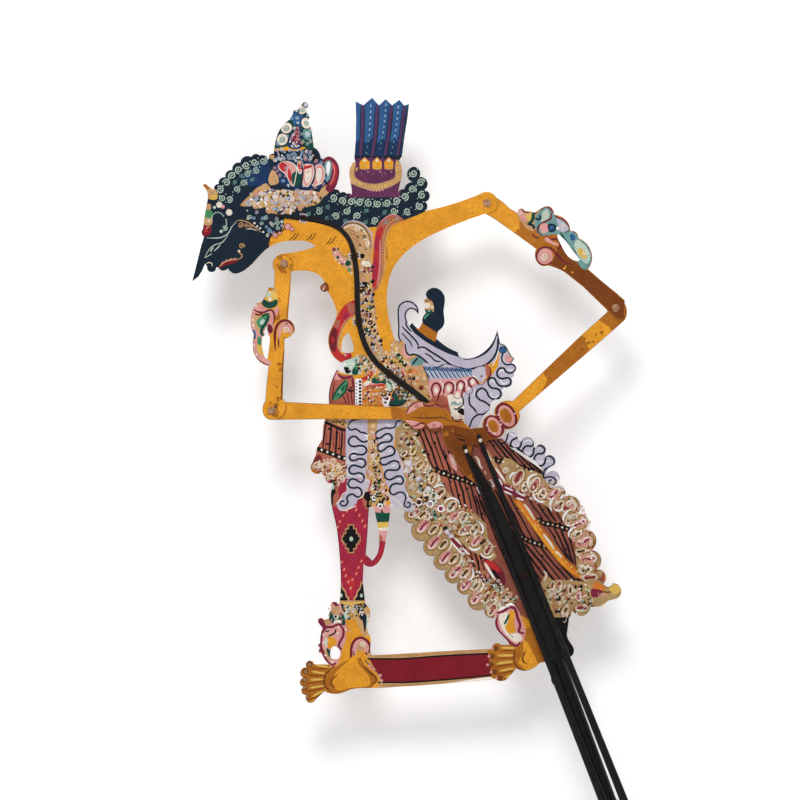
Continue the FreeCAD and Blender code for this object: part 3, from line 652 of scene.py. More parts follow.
def raised(name, kind, paint, body_name, points, edges=None, size=None, turn=None, middle=None, **inputs):
    """Raised paint of one kind on one body, as a plain mesh."""
    me = bpy.data.meshes.new(name)
    me.from_pydata([((u - FOOT_U) * MM, 0.0, (v - FOOT_V) * MM) for u, v in points], edges or [], [])
    me.attributes.new("size", "FLOAT", "POINT").data.foreach_set("value", size)
    if turn:
        me.attributes.new("turn", "FLOAT_VECTOR", "POINT").data.foreach_set("vector",
            [c for t in turn for c in t])
    o = bpy.data.objects.new(name, me)
    bpy.context.collection.objects.link(o)
    tree = TREES[kind]
    mod = o.modifiers.new(kind, "NODES")
    mod.node_group = tree
    for item in tree.interface.items_tree:
        if item.item_type == "SOCKET" and item.in_out == "INPUT":
            if item.name == "Paint":
                mod[item.identifier] = mix_paint(paint)
            elif item.name.lower().replace(" ", "_") in inputs:
                mod[item.identifier] = float(inputs[item.name.lower().replace(" ", "_")])
    bpy.context.view_layer.update()
    done = bpy.data.meshes.new_from_object(o.evaluated_get(bpy.context.evaluated_depsgraph_get()))
    o.modifiers.clear()
    o.data = done
    if middle:
        for v in done.vertices:
            v.co.y += middle(v.co.x / MM + FOOT_U, v.co.z / MM + FOOT_V) * MM
    done.name = name
    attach(o, body_name)
    print(name, "faces", len(done.polygons))
    return o


def spin(angle, hand=1):
    """The turn of a stamp in the drawing plane; hand -1 lays it face down, so that it winds the other way."""
    return (pi / 2, angle, pi) if hand < 0 else (pi / 2, -angle, 0.0)


class Stamps:
    """Stamps of one kind and paint, gathered while the drawing is made."""
    book = {}

    @classmethod
    def add(cls, group, kind, paint, c, r, angle=0.0, hand=1):
        """One more stamp for a group."""
        cls.book.setdefault((group, kind, paint), []).append((c, r * MM, spin(radians(angle), hand)))


class Lines:
    """Raised brush lines, kept by group and paint until their meshes are made."""

    book = {}

    @classmethod
    def add(cls, group, paint, width, points, curved=True, thin=0.4):
        """One more line for a group, thinner to its ends."""
        line = smooth(points) if curved else list(points)
        n = len(line)
        cls.book.setdefault((group, paint), []).append(
            [(p, width * (thin + (1 - thin) * min(1.0, 4 * min(i, n - 1 - i) / n)))
             for i, p in enumerate(line)])


# Head: cut in profile from the one hide, face and hair black, hair in rows of cut curls, a scrolled crown
# with a bun behind it. The face is a plain refined type: slanted almond eye, fine pointed nose, closed
# lips.
body.patch("navy", *xy("-3,308 22,318 34,317 60,337 59,344 61.5,349.5 68.5,351.5 70.5,356 70.5,361 "
    "80,360.5 92,359 104,356.5 113,351.5 122,353 140,355 152,357 160,359.6 170,363.4 177,366.6 182,368 "
    "182,404 158,404 156,380.5 121,378.8 121,382 112,384 112,412 60,412 0,412"), curved=False)
for a, b in (((74, 344.6), (79.5, 350.6)), ((77, 344.8), (81.5, 350.6)), ((87, 344.6), (92, 350.2)),
             ((90, 344.6), (94.5, 350.6)), ((101.5, 341.4), (106, 347)), ((104, 341.4), (109.5, 348))):
    body.line("black", 0.7, a, ((a[0] + b[0]) / 2 + 0.6, (a[1] + b[1]) / 2 - 0.4), b)
body.line("black", 1.4, *xy("70.5,361.6 82,360.4 94,358.6 106,355.4 115,350.4 119,344"))
body.line("black", 1.0, *xy("60.5,341 59.5,345.5 63,350 69.5,352 71.5,357"))
for c, r in (((64, 348.4), 1.6), ((67.4, 350.0), 1.2), ((73.4, 355), 2.2), ((76.6, 353.2), 1.5)):
    body.ringed(c, ("base_red", r + 0.5), ("pink", r))
body.patch("deep_blue", *xy("39,390 43,396 50,401.5 58,404 61.5,399 60,388 53,386 45,386"))
body.patch("deep_blue", *xy("41,389 45,392 54,393 59,391 58,386.5 50,385.5 44,385.5"))
# brow, eye and lips
for paint, width, way in (
        ("curl_green", 0.9, "12.4,346.6 17,346.4 22,346.6 26.4,348.2 29.4,351 31.4,355 34.6,358"),
        ("curl_green", 0.8, "11,331.6 13,335.6 15.8,339.4 19.2,341.6 23.4,342.8 26.4,345.6 28.6,349"),
        ("curl_green", 0.7, "11,331.6 14,333.2 16.8,335"),
        ("curl_green", 1.1, "15.4,336 16.6,338.4 17.8,339.4"),
        ("curl_green", 1.0, "18,336.6 20.4,338.8 23,341.6"),
        ("cream", 0.8, "12.2,327 14.2,328.2 16.6,327.2 16.4,325.2")):
    Lines.add("head", paint, width, xy(way))
body.line("base_red", 2.4, *xy("21.8,323.8 25,326.6 31,328.4 36,329.6"))
body.line("tan", 1.2, *xy("22,325 25.4,328.2 31,330.2 36.8,330.6"))
for c in xy("24.4,328 27.2,329.6 30.4,330.6 33.8,331"):
    Stamps.add("head", "petal", "pink", c, 1.1, 40)
Lines.add("head", "tan", 1.0, xy("36.6,330.6 38.6,332 38.8,334 36.8,335.6 36,337.6"))
Stamps.add("head", "dot", "cream", (36.8, 336.6), 1.0)
Stamps.add("head", "curl", "tan", (38.8, 340.4), 2.3, 200)
# temple scrolls
for c, r, a in (((38.2, 356.6), 2.3, 60), ((42.2, 355.6), 1.8, 200), ((45.4, 355.2), 1.5, 60)):
    Stamps.add("head", "curl", "tan", c, r, a)
Lines.add("head", "tan", 0.9, xy("33.6,357.8 36,359.6 40,359.4 44.6,357.6 49,354.4 53.6,350.6"))
Lines.add("head", "cream", 0.6, xy("42,353.2 46.6,353.2 50.4,351.8"))
# brow ornament
for paint, way in (("base_red", "9,347 10.6,357 15.6,356 15.6,349.6 12,348"),
        ("tan", "10.6,356.4 11,362.4 16.4,361 16,356.4"),
        ("leaf_green", "11,362.4 11.8,368 16.4,366.6 16.6,361.6"),
        ("tan", "12.4,368 13,372 15.6,371.4 15.4,367.8"),
        ("tan", "12.8,376 13.2,380 9.4,385.2 11.4,387 19,383 21,379 18,376"),
        ("bronze", "9,385 10.6,387.4 14.4,385 13,382.6"),
        ("yellow", "15.4,375.4 16,378.2 20.4,378.6 20,375.6")):
    body.patch(paint, *xy(way))
Lines.add("head", "pink", 1.0, xy("11.4,351 12.6,354 14.6,355"))
Stamps.add("head", "dot", "red", (12.4, 352.2), 1.2)
Stamps.add("head", "dot", "cream", (14, 359.2), 0.9)
for c, r, p in (((22, 371.4), 2.4, "cream"), ((24.6, 370), 1.6, "pink"), ((29.4, 365.6), 2.5, "cream"),
        ((28.8, 367), 1.4, "pink"), ((23.4, 351.4), 1.3, "curl_green"), ((18.4, 369.4), 1.2, "curl_green")):
    Stamps.add("head", "dot", p, c, r)
for c, a in along(xy("16.4,360 17,363.6 20,365.8 23.6,364.8 25.8,362"), 1.7):
    Stamps.add("head", "dot", "curl_green", c, 0.55)
for c, a in along(xy("25.4,352.6 27.4,356 27,360"), 1.6):
    Stamps.add("head", "petal", "curl_green", c, 0.9, 90)
Stamps.add("head", "curl", "curl_green", (26.4, 353.6), 2.2, 120, -1)
# scattered pearls behind the eye
for c, r in (((45, 362.4), 1.9), ((57.2, 361.6), 1.7), ((53.6, 357.2), 1.5), ((48.4, 357.6), 0.9),
        ((50.4, 355.2), 0.8), ((52.6, 353.8), 0.8), ((55, 351), 0.8), ((43, 367), 0.6), ((62, 356), 1.6),
        ((65.6, 358.2), 2.0), ((66.2, 354), 1.8), ((69, 358.6), 1.2)):
    Stamps.add("head", "curl" if r > 1.4 else "dot", "cream" if r < 1.2 else "curl_green", c, r, 37 * r * 10)
for u, v, r in ((60, 352, 1.9), (58.4, 348.4, 1.5), (54.4, 361, 1.6), (62.6, 350.4, 1.5), (65, 361.4, 1.6),
        (48, 361.6, 1.3), (61, 357.6, 1.4), (57.4, 354.6, 1.2), (68.8, 355.6, 1.3), (50, 366, 1.5),
        (43.6, 361, 1.2)):
    Stamps.add("head", "curl", ("pale_blue", "cream", "lilac")[int(u) % 3], (u, v), r, u * 23)
# cut curls of the front hair and of the tail behind the neck
for row, r, paint, hand in ((xy("22.4,382.6 27.4,388 31.6,393.2 36.6,397.6 42.2,401 48.4,403.4 55,404.2"),
        3.0, "curl_green", -1),
        (xy("29.6,375.6 35,383 40.2,387.6 43.4,394.4 50,397 24.4,376.6"), 2.7, "curl_green", 1),
        (xy("33.4,388.4 38.4,393 46.4,390"), 1.7, "teal", 1), (xy("107.5,376.6 114,374.4 121,373.4 "
        "127.4,373 134,372.6 140.8,372.2 147.8,373 154.6,374.4 161,377.4 166.8,382.8 173.2,388 174,378.6 "
        "172.4,370.4 167.6,395"), 3.1, "curl_green", 1), (xy("96.6,366.4 109.4,362.6 125.6,363 139,359.6 "
        "163,366.4 153,366.8 117.4,366.6"), 2.9, "curl_green", -1), (xy("88.8,364.6 103,369.6 132,366.6 "
        "146,365.4 103,361 117,359.4 131.6,358.6 147,358.8 155,361"), 1.8, "teal", 1)):
    for i, c in enumerate(row):
        Stamps.add("hair", "curl", paint, c, r, 90 + 50 * i, hand)
        Stamps.add("hair", "dot", paint, (c[0] + r * 0.9, c[1] + r * 1.0), r * 0.16)
        Stamps.add("hair", "dot", paint, (c[0] - r * 1.05, c[1] - r * 0.8), r * 0.14)

# Crown band and bun: scrolls carved close together in gold, white and pink over the black hair, a tall bun
# wrapped in petals, and the red curl of the bun's end standing off behind.


def inside_of(p, outline):
    """Whether a drawing point is inside an outline."""
    hit = False
    for a, b in zip(outline, outline[1:] + outline[:1]):
        if (a[1] > p[1]) != (b[1] > p[1]) and p[0] < (b[0] - a[0]) * (p[1] - a[1]) / (b[1] - a[1]) + a[0]:
            hit = not hit
    return hit


ROW_STEP, JITTER = 0.87, 0.25
GAP_SHARE, GAP_SIDES = 0.42, 7
CURL_SHARE, PETAL_SHARE, DOT_SHARE = 0.5, 0.75, 0.9


def carve(outline, pitch, paints, seed, group, dark="black"):
    """Fills an outline with small carved scrolls and pearls over dark gaps, set by hand-like jitter."""
    rnd = random.Random(seed)
    u0, u1 = min(p[0] for p in outline), max(p[0] for p in outline)
    v0, v1 = min(p[1] for p in outline), max(p[1] for p in outline)
    for i in range(int((v1 - v0) / pitch) + 1):
        for j in range(int((u1 - u0) / pitch) + 2):
            c = (u0 + (j + 0.5 * (i % 2)) * pitch + rnd.uniform(-JITTER, JITTER) * pitch,
                 v0 + i * pitch * ROW_STEP + rnd.uniform(-JITTER, JITTER) * pitch)
            paint, form, a = rnd.choice(paints), rnd.random(), rnd.uniform(0, 360)
            if not inside_of(c, outline):
                continue
            if rnd.random() < GAP_SHARE:
                body.dot(dark, (c[0] + 0.3 * pitch, c[1] - 0.3 * pitch), pitch * rnd.uniform(0.34, 0.62),
                    sides=GAP_SIDES)
            if form < CURL_SHARE:
                Stamps.add(group, "curl", paint, c, pitch * 0.44, a, rnd.choice((1, -1)))
            elif form < PETAL_SHARE:
                Stamps.add(group, "petal", paint, c, pitch * 0.42, a)
            elif form < DOT_SHARE:
                Stamps.add(group, "dot", paint, c, pitch * 0.26)
            else:
                body.pierce(disc(c, pitch * 0.2, sides=GAP_SIDES))


band = xy("38,371 44,377 50,384 58,386.5 62,383 76,382 92,382 99,379 99,375.6 91,371 82,367.6 74,365 "
    "64,364.6 57,369 48,370")
for paint, way in (("tan", "38,371.4 42,376 45,378 44.6,371.6 41,370.6"),
        ("tan", "53,379.6 52.4,384 55,387 58.4,386.6 57.6,380"),
        ("tan", "97,379.6 99,384 104.6,386.6 104,380.6 100,377.4"),
        ("yellow", "91.6,371 92.6,375.4 97.6,376.8 96.4,372.6"),
        ("pink", "60,366 60.6,370 66,371 71,369 75,366.4 70,365 64,364.8")):
    body.patch(paint, *xy(way))
body.add("tan", smooth(band, True))
carve(band, 2.9, ("cream", "lilac", "cream", "pink", "yellow", "lilac", "terracotta"), 5, "crown", "navy")
carve(band, 4.6, ("white", "lilac", "cream", "pale_blue"), 6, "crown", "tan")
# bun, lower petals
for paint, way in (
        ("deep_blue", "60,401 62,406 92,412 99,405.4 104,399 103,391 98,384 84,383.4 72,385 62,392"),
        ("navy", "60,397 62,409 78,411 92.6,414.6 98,406.6 94,404 83,404.6 70,404.4 62,400"),
        ("tan", "59.6,387 59,392 62,397.6 65.8,393 66.4,388 62,386")):
    body.patch(paint, *xy(way))
for pts in (xy("66,401 70,404 76,403 80,399 79,391 77.6,385.6 75,388 72,394 67,398"),
        xy("81,404 84,403.6 84.4,398 82.4,394.6 80.6,399"),
        xy("85.4,401.4 92,401 92.6,393 89,385.8 85.6,386 84,392"),
        xy("93.6,400 98,402 101,396 99.6,389 95,386 91.6,386.4 94,393")):
    body.patch("pink", *pts)
    Lines.add("crown", "cream", 0.8, list(pts) + [pts[0]])
body.patch("cream", *xy("87,400 90.6,399.6 91,393 88.4,387.6 86.4,390"))
body.patch("cream", *xy("95,398 98.4,398.6 99,393 96.6,388.4 95,390"))
for pts in (xy("66.4,401.6 70,403 73,400.4 72,396.6 69,397"), xy("74,399 76,394 75.6,387.4 73.4,392"),
        xy("80.6,402.6 84.4,400.6 89,400.8 94,402.6 89,398.6 82,398.4")):
    body.patch("red", *pts)
body.patch("deep_green", *xy("76.6,388 76.4,394 80,396.6 83,393.6 82.6,387.4 79,385.6"))
Lines.add("crown", "navy", 1.4, xy("83.6,404 84.6,396 83.6,388 82.4,384"))
Lines.add("crown", "navy", 1.2, xy("92.4,403 93.8,396 92.4,388.6 89,384.4"))
carve(xy("63,403 64.6,414.6 76,415.6 91.6,414 98,406.6 90,404.6 82,405 70,405.6"), 3.3,
    ("pale_blue", "lilac", "pale_blue", "white"), 8, "crown")
for u, v, r in ((63.6, 404.6, 1.6), (66.6, 406.4, 1.6), (70, 406.6, 1.5), (74, 406.4, 1.6),
        (78, 406.6, 1.5), (82, 407, 1.4), (86.4, 405.6, 1.6), (90, 405, 1.5), (94.6, 404.6, 1.6),
        (98.4, 403, 1.4), (63.4, 399, 1.2), (65.4, 396.4, 1.2), (67.6, 393.4, 1.3), (70, 389.6, 1.4),
        (73.6, 386, 1.2), (85, 386, 1.2), (94, 384.6, 1.3), (100, 386.6, 1.3), (102.4, 391, 1.3),
        (103, 396, 1.3), (92.6, 396, 1.0), (83.4, 400, 1.0), (79.6, 404.6, 1.2), (71.6, 393, 1.0),
        (88.4, 396, 1.5), (96.6, 393.4, 1.5), (88.8, 391, 1.2), (72, 399, 1.4), (96.8, 387.6, 1.1)):
    Stamps.add("crown", "curl", ("lilac", "white", "pink", "pale_blue")[int(u * 7 + v) % 4], (u, v), r,
        u * 31)
for u, v, r in ((66, 417, 1.6), (69, 413.6, 1.4), (76, 436, 1.4), (90.6, 419, 1.6), (91, 428, 1.3),
        (80.6, 436.6, 1.4), (81, 433, 1.1), (73, 423, 1.1), (84.6, 419, 1.4), (83.6, 424.6, 1.0),
        (88, 417, 1.3), (78, 424, 1.2)):
    Stamps.add("crown", "curl", ("pale_blue", "cream", "curl_green")[int(u * 5 + v) % 3], (u, v), r, u * 31)
# bun, upper lobes and tip
for paint, way in (("deep_green", "63,414 67,428 75,437 78,443 88,449 90,437 92,420 93,413 78,416"),
        ("blue", "76,438 79,441 84,441 84.6,432 80,430 78,432"),
        ("deep_blue", "73,416 75.4,426 79.4,431.6 83.4,428 84.6,416 79,413"),
        ("maroon", "77,417 78.6,427 80.4,429 81.6,423 80.6,416")):
    body.patch(paint, *xy(way))
for c, ru, rv, turn, paint in (((69.2, 420.4), 4.6, 4.0, 60, "cream"), ((72.4, 429), 4.3, 4.0, 30, "cream"),
        ((87.8, 424.6), 4.6, 3.2, 95, "teal"), ((87, 432.6), 4.2, 3.4, 110, "cream"),
        ((84.4, 442.6), 3.6, 3.0, 50, "cream"), ((87, 446.6), 2.0, 1.7, 40, "lilac"),
        ((80, 442), 1.7, 1.4, 20, "teal"), ((88.4, 438.4), 1.5, 1.3, 0, "teal")):
    body.add("navy", disc(c, ru + 0.8, rv + 0.8, turn))
    body.add(paint, disc(c, ru, rv, turn))
    Stamps.add("crown", "curl", "teal" if paint == "cream" else "white", c, min(ru, rv) * 0.62, turn, 1)
carve(xy("74.6,416 75.6,425 79,431 82.6,428 84,416 79,413"), 3.0, ("lilac", "pink", "white"), 3, "crown")
body.ringed((61.6, 407.2), ("navy", 2.4), ("tan", 1.8))
# red curl behind the bun
for paint, way in (("maroon",
        "99,403 103,408.4 108.6,406 112.6,398 111,388 105.6,381 101.6,383.4 104.6,390 106,398 103.6,402.4"),
        ("red", "105.4,401 108.2,402.6 110.4,397 108.8,389 105.6,385 106.8,392 107.6,397"),
        ("teal", "100.6,399 101.6,403.6 105,404.6 106.4,399.6 105.4,392 102.4,388.4 102.6,393.6"),
        ("white", "102,400 103.4,403.8 105.2,402.6 104.8,397 103.6,392.6 102.8,395")):
    body.patch(paint, *xy(way))
Lines.add("crown", "pink", 0.8, xy("104.6,386 107.2,391 108.4,397 106.6,403.4"))

# Quiver: a round lacquered bowl with a cut gold rim, holding a fan of blue arrow feathers. Each feather is
# pleated, with a row of light stitches down its rib.
feather_top = xy("124.2,449.4 130,446 136.6,452 141.7,446 146.8,451 151.6,446 157,450.6 160.6,445.6 "
    "164.6,447.4")
body.patch("blue", *feather_top, *xy("161,422 158.8,404 123.2,404 124.4,422"), curved=False)
for low_edge, deep in (((124, 424), 9), ((124, 416), 3)):
    body.patch("deep_blue", *[(124 + 37.4 * i / deep, 419 - 4 * (low_edge[1] == 416)
        + (2.2 if i % 2 else -1.6)) for i in range(deep + 1)], (159.6, 404), (123.4, 404), curved=False)
for top, low, w in ((129.4, 127.2, 2.6), (140.6, 136, 2.8), (151, 145.4, 2.8), (160.8, 154.4, 2.4)):
    body.line("purple", w, (top, 446.6), ((top + low) / 2 + 0.8, 426), (low, 403), thin=0.7)
    body.line("plum", w * 0.3, (top + 0.6, 445), ((top + low) / 2 + 1.4, 425), (low + 0.6, 403), thin=0.6)
    body.line("navy", 0.8, (top + w * 0.55, 446.6), ((top + low) / 2 + 0.8 + w * 0.55, 426),
        (low + w * 0.55, 403))
    body.line("navy", 0.6, (top - w * 0.55, 446.6), ((top + low) / 2 + 0.8 - w * 0.55, 426),
        (low - w * 0.55, 403))
for k in (7, 8):
    v = 421 - 1.9 * k
    body.line("navy", 1.2 + 0.1 * k, (123.6, v), (141, v - 0.4), (160.6, v), thin=1.0)
body.line("navy", 1.6, *xy("163.6,446 161.2,425 159,405"))
for a, b in (((135.6, 447.4), (132, 407.6)), ((147, 448), (142, 411)), ((156.4, 446.4), (150.4, 407.6))):
    for i in range(9):
        t = (i + 0.4) / 9
        c = (a[0] + (b[0] - a[0]) * t + sin(pi * t) * 0.9, a[1] + (b[1] - a[1]) * t)
        Stamps.add("quiver", "petal", "pale_blue" if i < 6 else "teal", c, 1.35 - 0.06 * i, 86)
        Stamps.add("quiver", "dot", "navy", (c[0], c[1] - 2.3), 0.5)
body.patch("plum", *xy("118.8,378 119.4,398 124.6,406 156.8,405 158.8,398 157.4,378.6 148,377.2 130,377"))
body.patch("tan", *xy("119.2,400 119.4,390 122.6,386.6 130,383.6 139,382.2 148,384 155,387.4 158.6,391 "
    "158.8,400 155.4,405 153.8,401 153.8,393 150,390 140,387.2 130,388.4 124,392.4 123.6,398 124.2,403"))
for c, a in along(xy("122,402.6 122.2,391.6 130,386.2 139.4,384.6 149,386.6 156,391 156.4,403"), 2.5):
    Stamps.add("quiver", "petal", "yellow", (c[0] + cos(a - pi / 2) * -0.4, c[1] + sin(a - pi / 2) * -0.4),
        1.2, a * 57.3 + 90)
    Stamps.add("quiver", "dot", "terracotta", (c[0] - cos(a - pi / 2) * 1.3, c[1] - sin(a - pi / 2) * 1.3),
        0.5)
for c, a in along(xy("133.6,383 139,381.8 146,382.8"), 2.2):
    Stamps.add("quiver", "dot", "pink", c, 0.75)
for c0, c1 in xy("127.2,134.8 136.8,143.8 145.8,152.4"):
    m = (c0 + c1) / 2
    body.patch("gold", (c0, 398.2), (c0, 403.6), (m, 407.2), (c1, 403.6), (c1, 398.2), curved=False)
    body.line("tan", 0.8, (c0 + 0.3, 398.6), (m, 398), (c1 - 0.3, 398.6))
    Stamps.add("quiver", "dot", "cream", (m, 404.6), 1.1)
    for du in (-2.6, -0.8, 1.0, 2.8):
        Stamps.add("quiver", "petal", "yellow", (m + du, 400.8), 1.1, 90)
    Stamps.add("quiver", "dot", "pink", (c1 - 1.4, 396.2), 0.55)
for c, a in (((125, 398), 0), ((155, 398), 0)):
    Stamps.add("quiver", "petal", "yellow", c, 1.6, 90)
for u, v, n in ((128.4, 396.4, 2), (137.2, 395.4, 1), (144, 396, 2), (146.4, 396.8, 2)):
    Lines.add("quiver", "pink", 0.5, [(u, v), (u + 0.2, v - 1.7 * n)])
for p in (xy("125.4,404 128,405.4 127.6,409"), xy("135,402.4 136,405.6 135,409"),
        xy("144.4,402 145,406 144.2,409")):
    Lines.add("quiver", "purple", 0.8, list(p))

# Neck and chest: bare gold skin, a rayed collar, a red folded cloth from the rear shoulder and a strip of
# knotted ornament down the front, hung with a breast jewel.
body.patch("tan",
    *xy("114,351.4 117,356.4 123,358.6 130,356.8 134.6,351 136.6,343 136.4,336 131,330 124,338 118,347"))
Lines.add("chest", "lilac", 1.1, xy("113.6,354.4 117,358 123.4,359.2 130,357 135,351.6 137,345 137,339"))
Lines.add("chest", "navy", 0.8, xy("116,355.6 122.4,357.8 129,355.6 133.4,350.4 135.4,344 135.4,338.6"))
for c, a in along(xy("116.4,354.6 122,356.2 128,354.4 132,349.4"), 2.0):
    Stamps.add("chest", "dot", "cream", c, 0.75)
for c, r, a in (((125.6, 354), 2.4, 40), ((133.2, 342), 2.3, 200), ((130.4, 347.6), 1.7, 90)):
    Stamps.add("chest", "curl", "navy" if r < 2 else "cream", c, r, a)
for pts in (xy("117.4,353 121.6,352 124.6,350"), xy("118.6,350.4 123,349 127,345"),
        xy("121.4,347 125.4,344.4 128.4,341")):
    Lines.add("chest", "terracotta", 0.8, list(pts))
for c in xy("126,347.4 129,352.4 127.6,341 131.6,337.6 129,337"):
    body.dot("deep_green", c, 0.9)
Lines.add("chest", "cream", 0.9, xy("129.6,345 131.6,346 133.6,344.4 134,341 132.6,339.4"))
# folded cloth from the shoulder
for paint, way in (("terracotta", "139.4,352 142,358 147,362 152,363.8 157,362.6 160,360.2 155,357.4 "
        "151,355 147.6,350 146,344 145.4,334 145,322 142.4,312 139,307 134,307.4 135.6,315 137,330 138,342"),
        ("red", "139.4,350 142.6,354.6 145,354 143.4,347 142,338 141.6,326 140.4,314 138,309 136.4,314 "
        "137.4,326 138.4,340"), ("crimson", "138.6,345 141.4,349 142.2,344 141,337.6 138.6,338"),
        ("crimson", "137.4,329 140,330.4 140.6,322 139,314 137,318")):
    body.patch(paint, *xy(way))
for paint, width, way in (("pink", 1.0, "142.4,345 142.6,334 142.2,322 140,311"),
        ("pink", 1.2, "137.2,352 136.6,346 137.2,340"),
        ("pink", 0.9, "143,358.4 147.6,362.4 152.4,364 157.4,362.4"),
        ("tan", 1.1, "157.4,359.4 152.4,356.8 148.6,352 147,346 146.6,336 146,324 143,312")):
    Lines.add("chest", paint, width, xy(way))
for c, a in along(xy("156,361 150.4,358.4 146.8,352.6 145,345 144.6,334 144.2,322 141.4,311"), 2.1):
    Stamps.add("chest", "dot", "yellow" if c[1] > 345 else "tan", c, 0.62)
for c, a in along(xy("151.6,355.4 149.2,351 148.4,345 148.2,336 147.4,326 145.6,316"), 2.4):
    body.line("bronze", 0.6, c, (c[0] + 1.4, c[1] + 0.9), curved=False)
body.line("bronze", 1.0, *xy("147.2,340 147.8,334 147,329"))
# breast jewel
body.patch("tan", *xy("106,336 107.6,339.6 111,339.4 113.4,336 116.4,333.6 120.8,333.4 122,328 121.4,318.6 "
    "118.6,322 114,326 109.6,330"))
body.patch("pink", *xy("107.4,334 110.6,337 113,333 117,330.6 116,327 111.6,330"))
for c, p, r in (((108, 338), "maroon", 1.4), ((111, 338.2), "deep_green", 0.9),
        ((110.8, 332), "deep_green", 1.2), ((118.4, 327.6), "deep_green", 2.2),
        ((119.4, 322.4), "leaf_green", 1.3), ((114.2, 327), "maroon", 0.9)):
    body.ringed(c, (p, r))
Lines.add("chest", "bronze", 0.7, xy("112.4,335.6 114.4,333.6 116,332.6 119,332.8"))
for c in xy("108.6,335.4 113.6,330.6 116.2,328.6 120.4,330.4 120.8,325 121.2,320 109.4,330.4 111.6,327.6"):
    Stamps.add("chest", "dot", "cream", c, 0.7)
# strip of knots beside the rod, from collar to waist
body.patch("tan", *xy("128,338 135.6,337 136.6,326 136.4,312 138,302 139.6,292 140,281 143,269 148,257 "
    "138,254 131,262 127.6,272 126.4,290 126.4,316"), curved=False)
carve(xy("127.6,337 135,336 136,322 137.4,302 139,288 140,277 146.6,258 138,255 130,266 127.4,290"), 2.9,
    ("cream", "yellow", "cream", "pink", "tan", "lilac"), 21, "chest", "black")
for i, (c, a) in enumerate(along(xy("130.6,333 132.6,322 131.6,310 133.4,298 133.6,286 135.6,274 141,262"),
        5.6)):
    dark = ("black", "deep_green", "wine")[i % 3]
    k = 1.4 if i % 2 else -1.2
    body.patch(dark, (c[0] + k - 1.9, c[1] - 1.4), (c[0] + k - 1.6, c[1] + 1.2),
        (c[0] + k + 0.4, c[1] + 1.8), (c[0] + k + 1.7, c[1] + 0.6), (c[0] + k + 0.9, c[1] - 1.6))
for paint, way in (("cream", "129,329 134.6,328.6 134.6,325 129.6,325.4"),
        ("maroon", "131,324.4 135,324.2 134.4,320.4 132,321"),
        ("tan", "129,320 134.8,319.6 134.6,314 129.4,314.6"),
        ("black", "127,313 134.6,312.6 131.6,307 128,305")):
    body.patch(paint, *xy(way))

# Arms: four strips of the same hide, painted gold on both faces and worn brown at the joints. The rear
# upper arm's half towards the elbow is painted ochre and brown as painted shade. The upper arms are set
# forward in a straight bend, so that the forearms pass in front of the body; each carries a cut arm ornament.
ARM_THICK = 1.2
BEND_FROM, BEND_TO = 11.0, 46.0
FRONT_SHOULDER, FRONT_ELBOW = (70.5, 327.4), (61.5, 217.1)
REAR_SHOULDER, REAR_ELBOW = (222.75, 372.75), (319.0, 294.0)


def bend(top, end, near, far):
    """The depth of an upper arm's front face over the drawing, and the two creases of its bend."""
    d = hypot(end[0] - top[0], end[1] - top[1])
    du, dv = (end[0] - top[0]) / d, (end[1] - top[1]) / d

    def depth(u, v):
        s = (u - top[0]) * du + (v - top[1]) * dv
        return near + (far - near) * min(1.0, max(0.0, (s - BEND_FROM) / (BEND_TO - BEND_FROM)))

    creases = [tuple((top[0] + du * s - dv * k, top[1] + dv * s + du * k) for k in (-40.0, 40.0)) for s
        in (BEND_FROM, BEND_TO)]
    return depth, creases


RIM_BIT = 5


def rim(sheet, paint, width, *marks):
    """A painted border along the sheet's own cut edge, by the shorter way from mark to mark."""
    if sheet.edge is None:
        sheet.edge = sheet_edge(sheet.node)
    gap = lambda p, q: hypot(p[0] - q[0], p[1] - q[1])
    length = lambda way: sum(gap(p, q) for p, q in zip(way, way[1:]))
    path = []
    for a, b in zip(marks, marks[1:]):
        loop = min(sheet.edge, key=lambda l: min(gap(p, a) for p in l))
        n = len(loop)
        i, j = (min(range(n), key=lambda k: gap(loop[k], m)) for m in (a, b))
        ways = [[loop[(i + k) % n] for k in range((j - i) % n + 1)],
            [loop[(i - k) % n] for k in range((i - j) % n + 1)]]
        path += min(ways, key=length)
    for i in range(0, len(path) - 1, RIM_BIT):
        if len(path[i:i + RIM_BIT + 1]) > 1:
            sheet.line(paint, 2 * width, *path[i:i + RIM_BIT + 1], thin=1.0, curved=False)


BLOT_SPREAD, BLOT_SIDES = 3, 6


def mottle(sheet, paint, area, n, size, seed):
    """Worn brown blots of the old glue paint, each an uneven patch, over one part of a sheet."""
    rnd = random.Random(seed)
    for _ in range(n):
        c = area[rnd.randrange(len(area))]
        c = (c[0] + rnd.uniform(-BLOT_SPREAD, BLOT_SPREAD), c[1] + rnd.uniform(-BLOT_SPREAD, BLOT_SPREAD))
        r = size * rnd.uniform(0.5, 1.2)
        sheet.patch(paint, *[(c[0] + r * rnd.uniform(0.5, 1.1) * cos(a), c[1]
            + r * rnd.uniform(0.5, 1.1) * sin(a)) for a
            in (2 * pi * k / BLOT_SIDES for k in range(BLOT_SIDES))])


PAINTS["ochre"] = (ink(176, 108, 30), ink(140, 76, 20), 0.6, 0.6, 0.1)
PAINTS["brown"] = (ink(126, 66, 20), ink(90, 44, 14), 0.6, 0.5, 0.1)
PAINTS["umber"] = (ink(112, 66, 34), ink(76, 40, 22), 0.6, 0.5, 0.1)
PAINTS["wine"] = (ink(112, 32, 42), ink(76, 18, 30), 0.5, 0.4, 0.0)

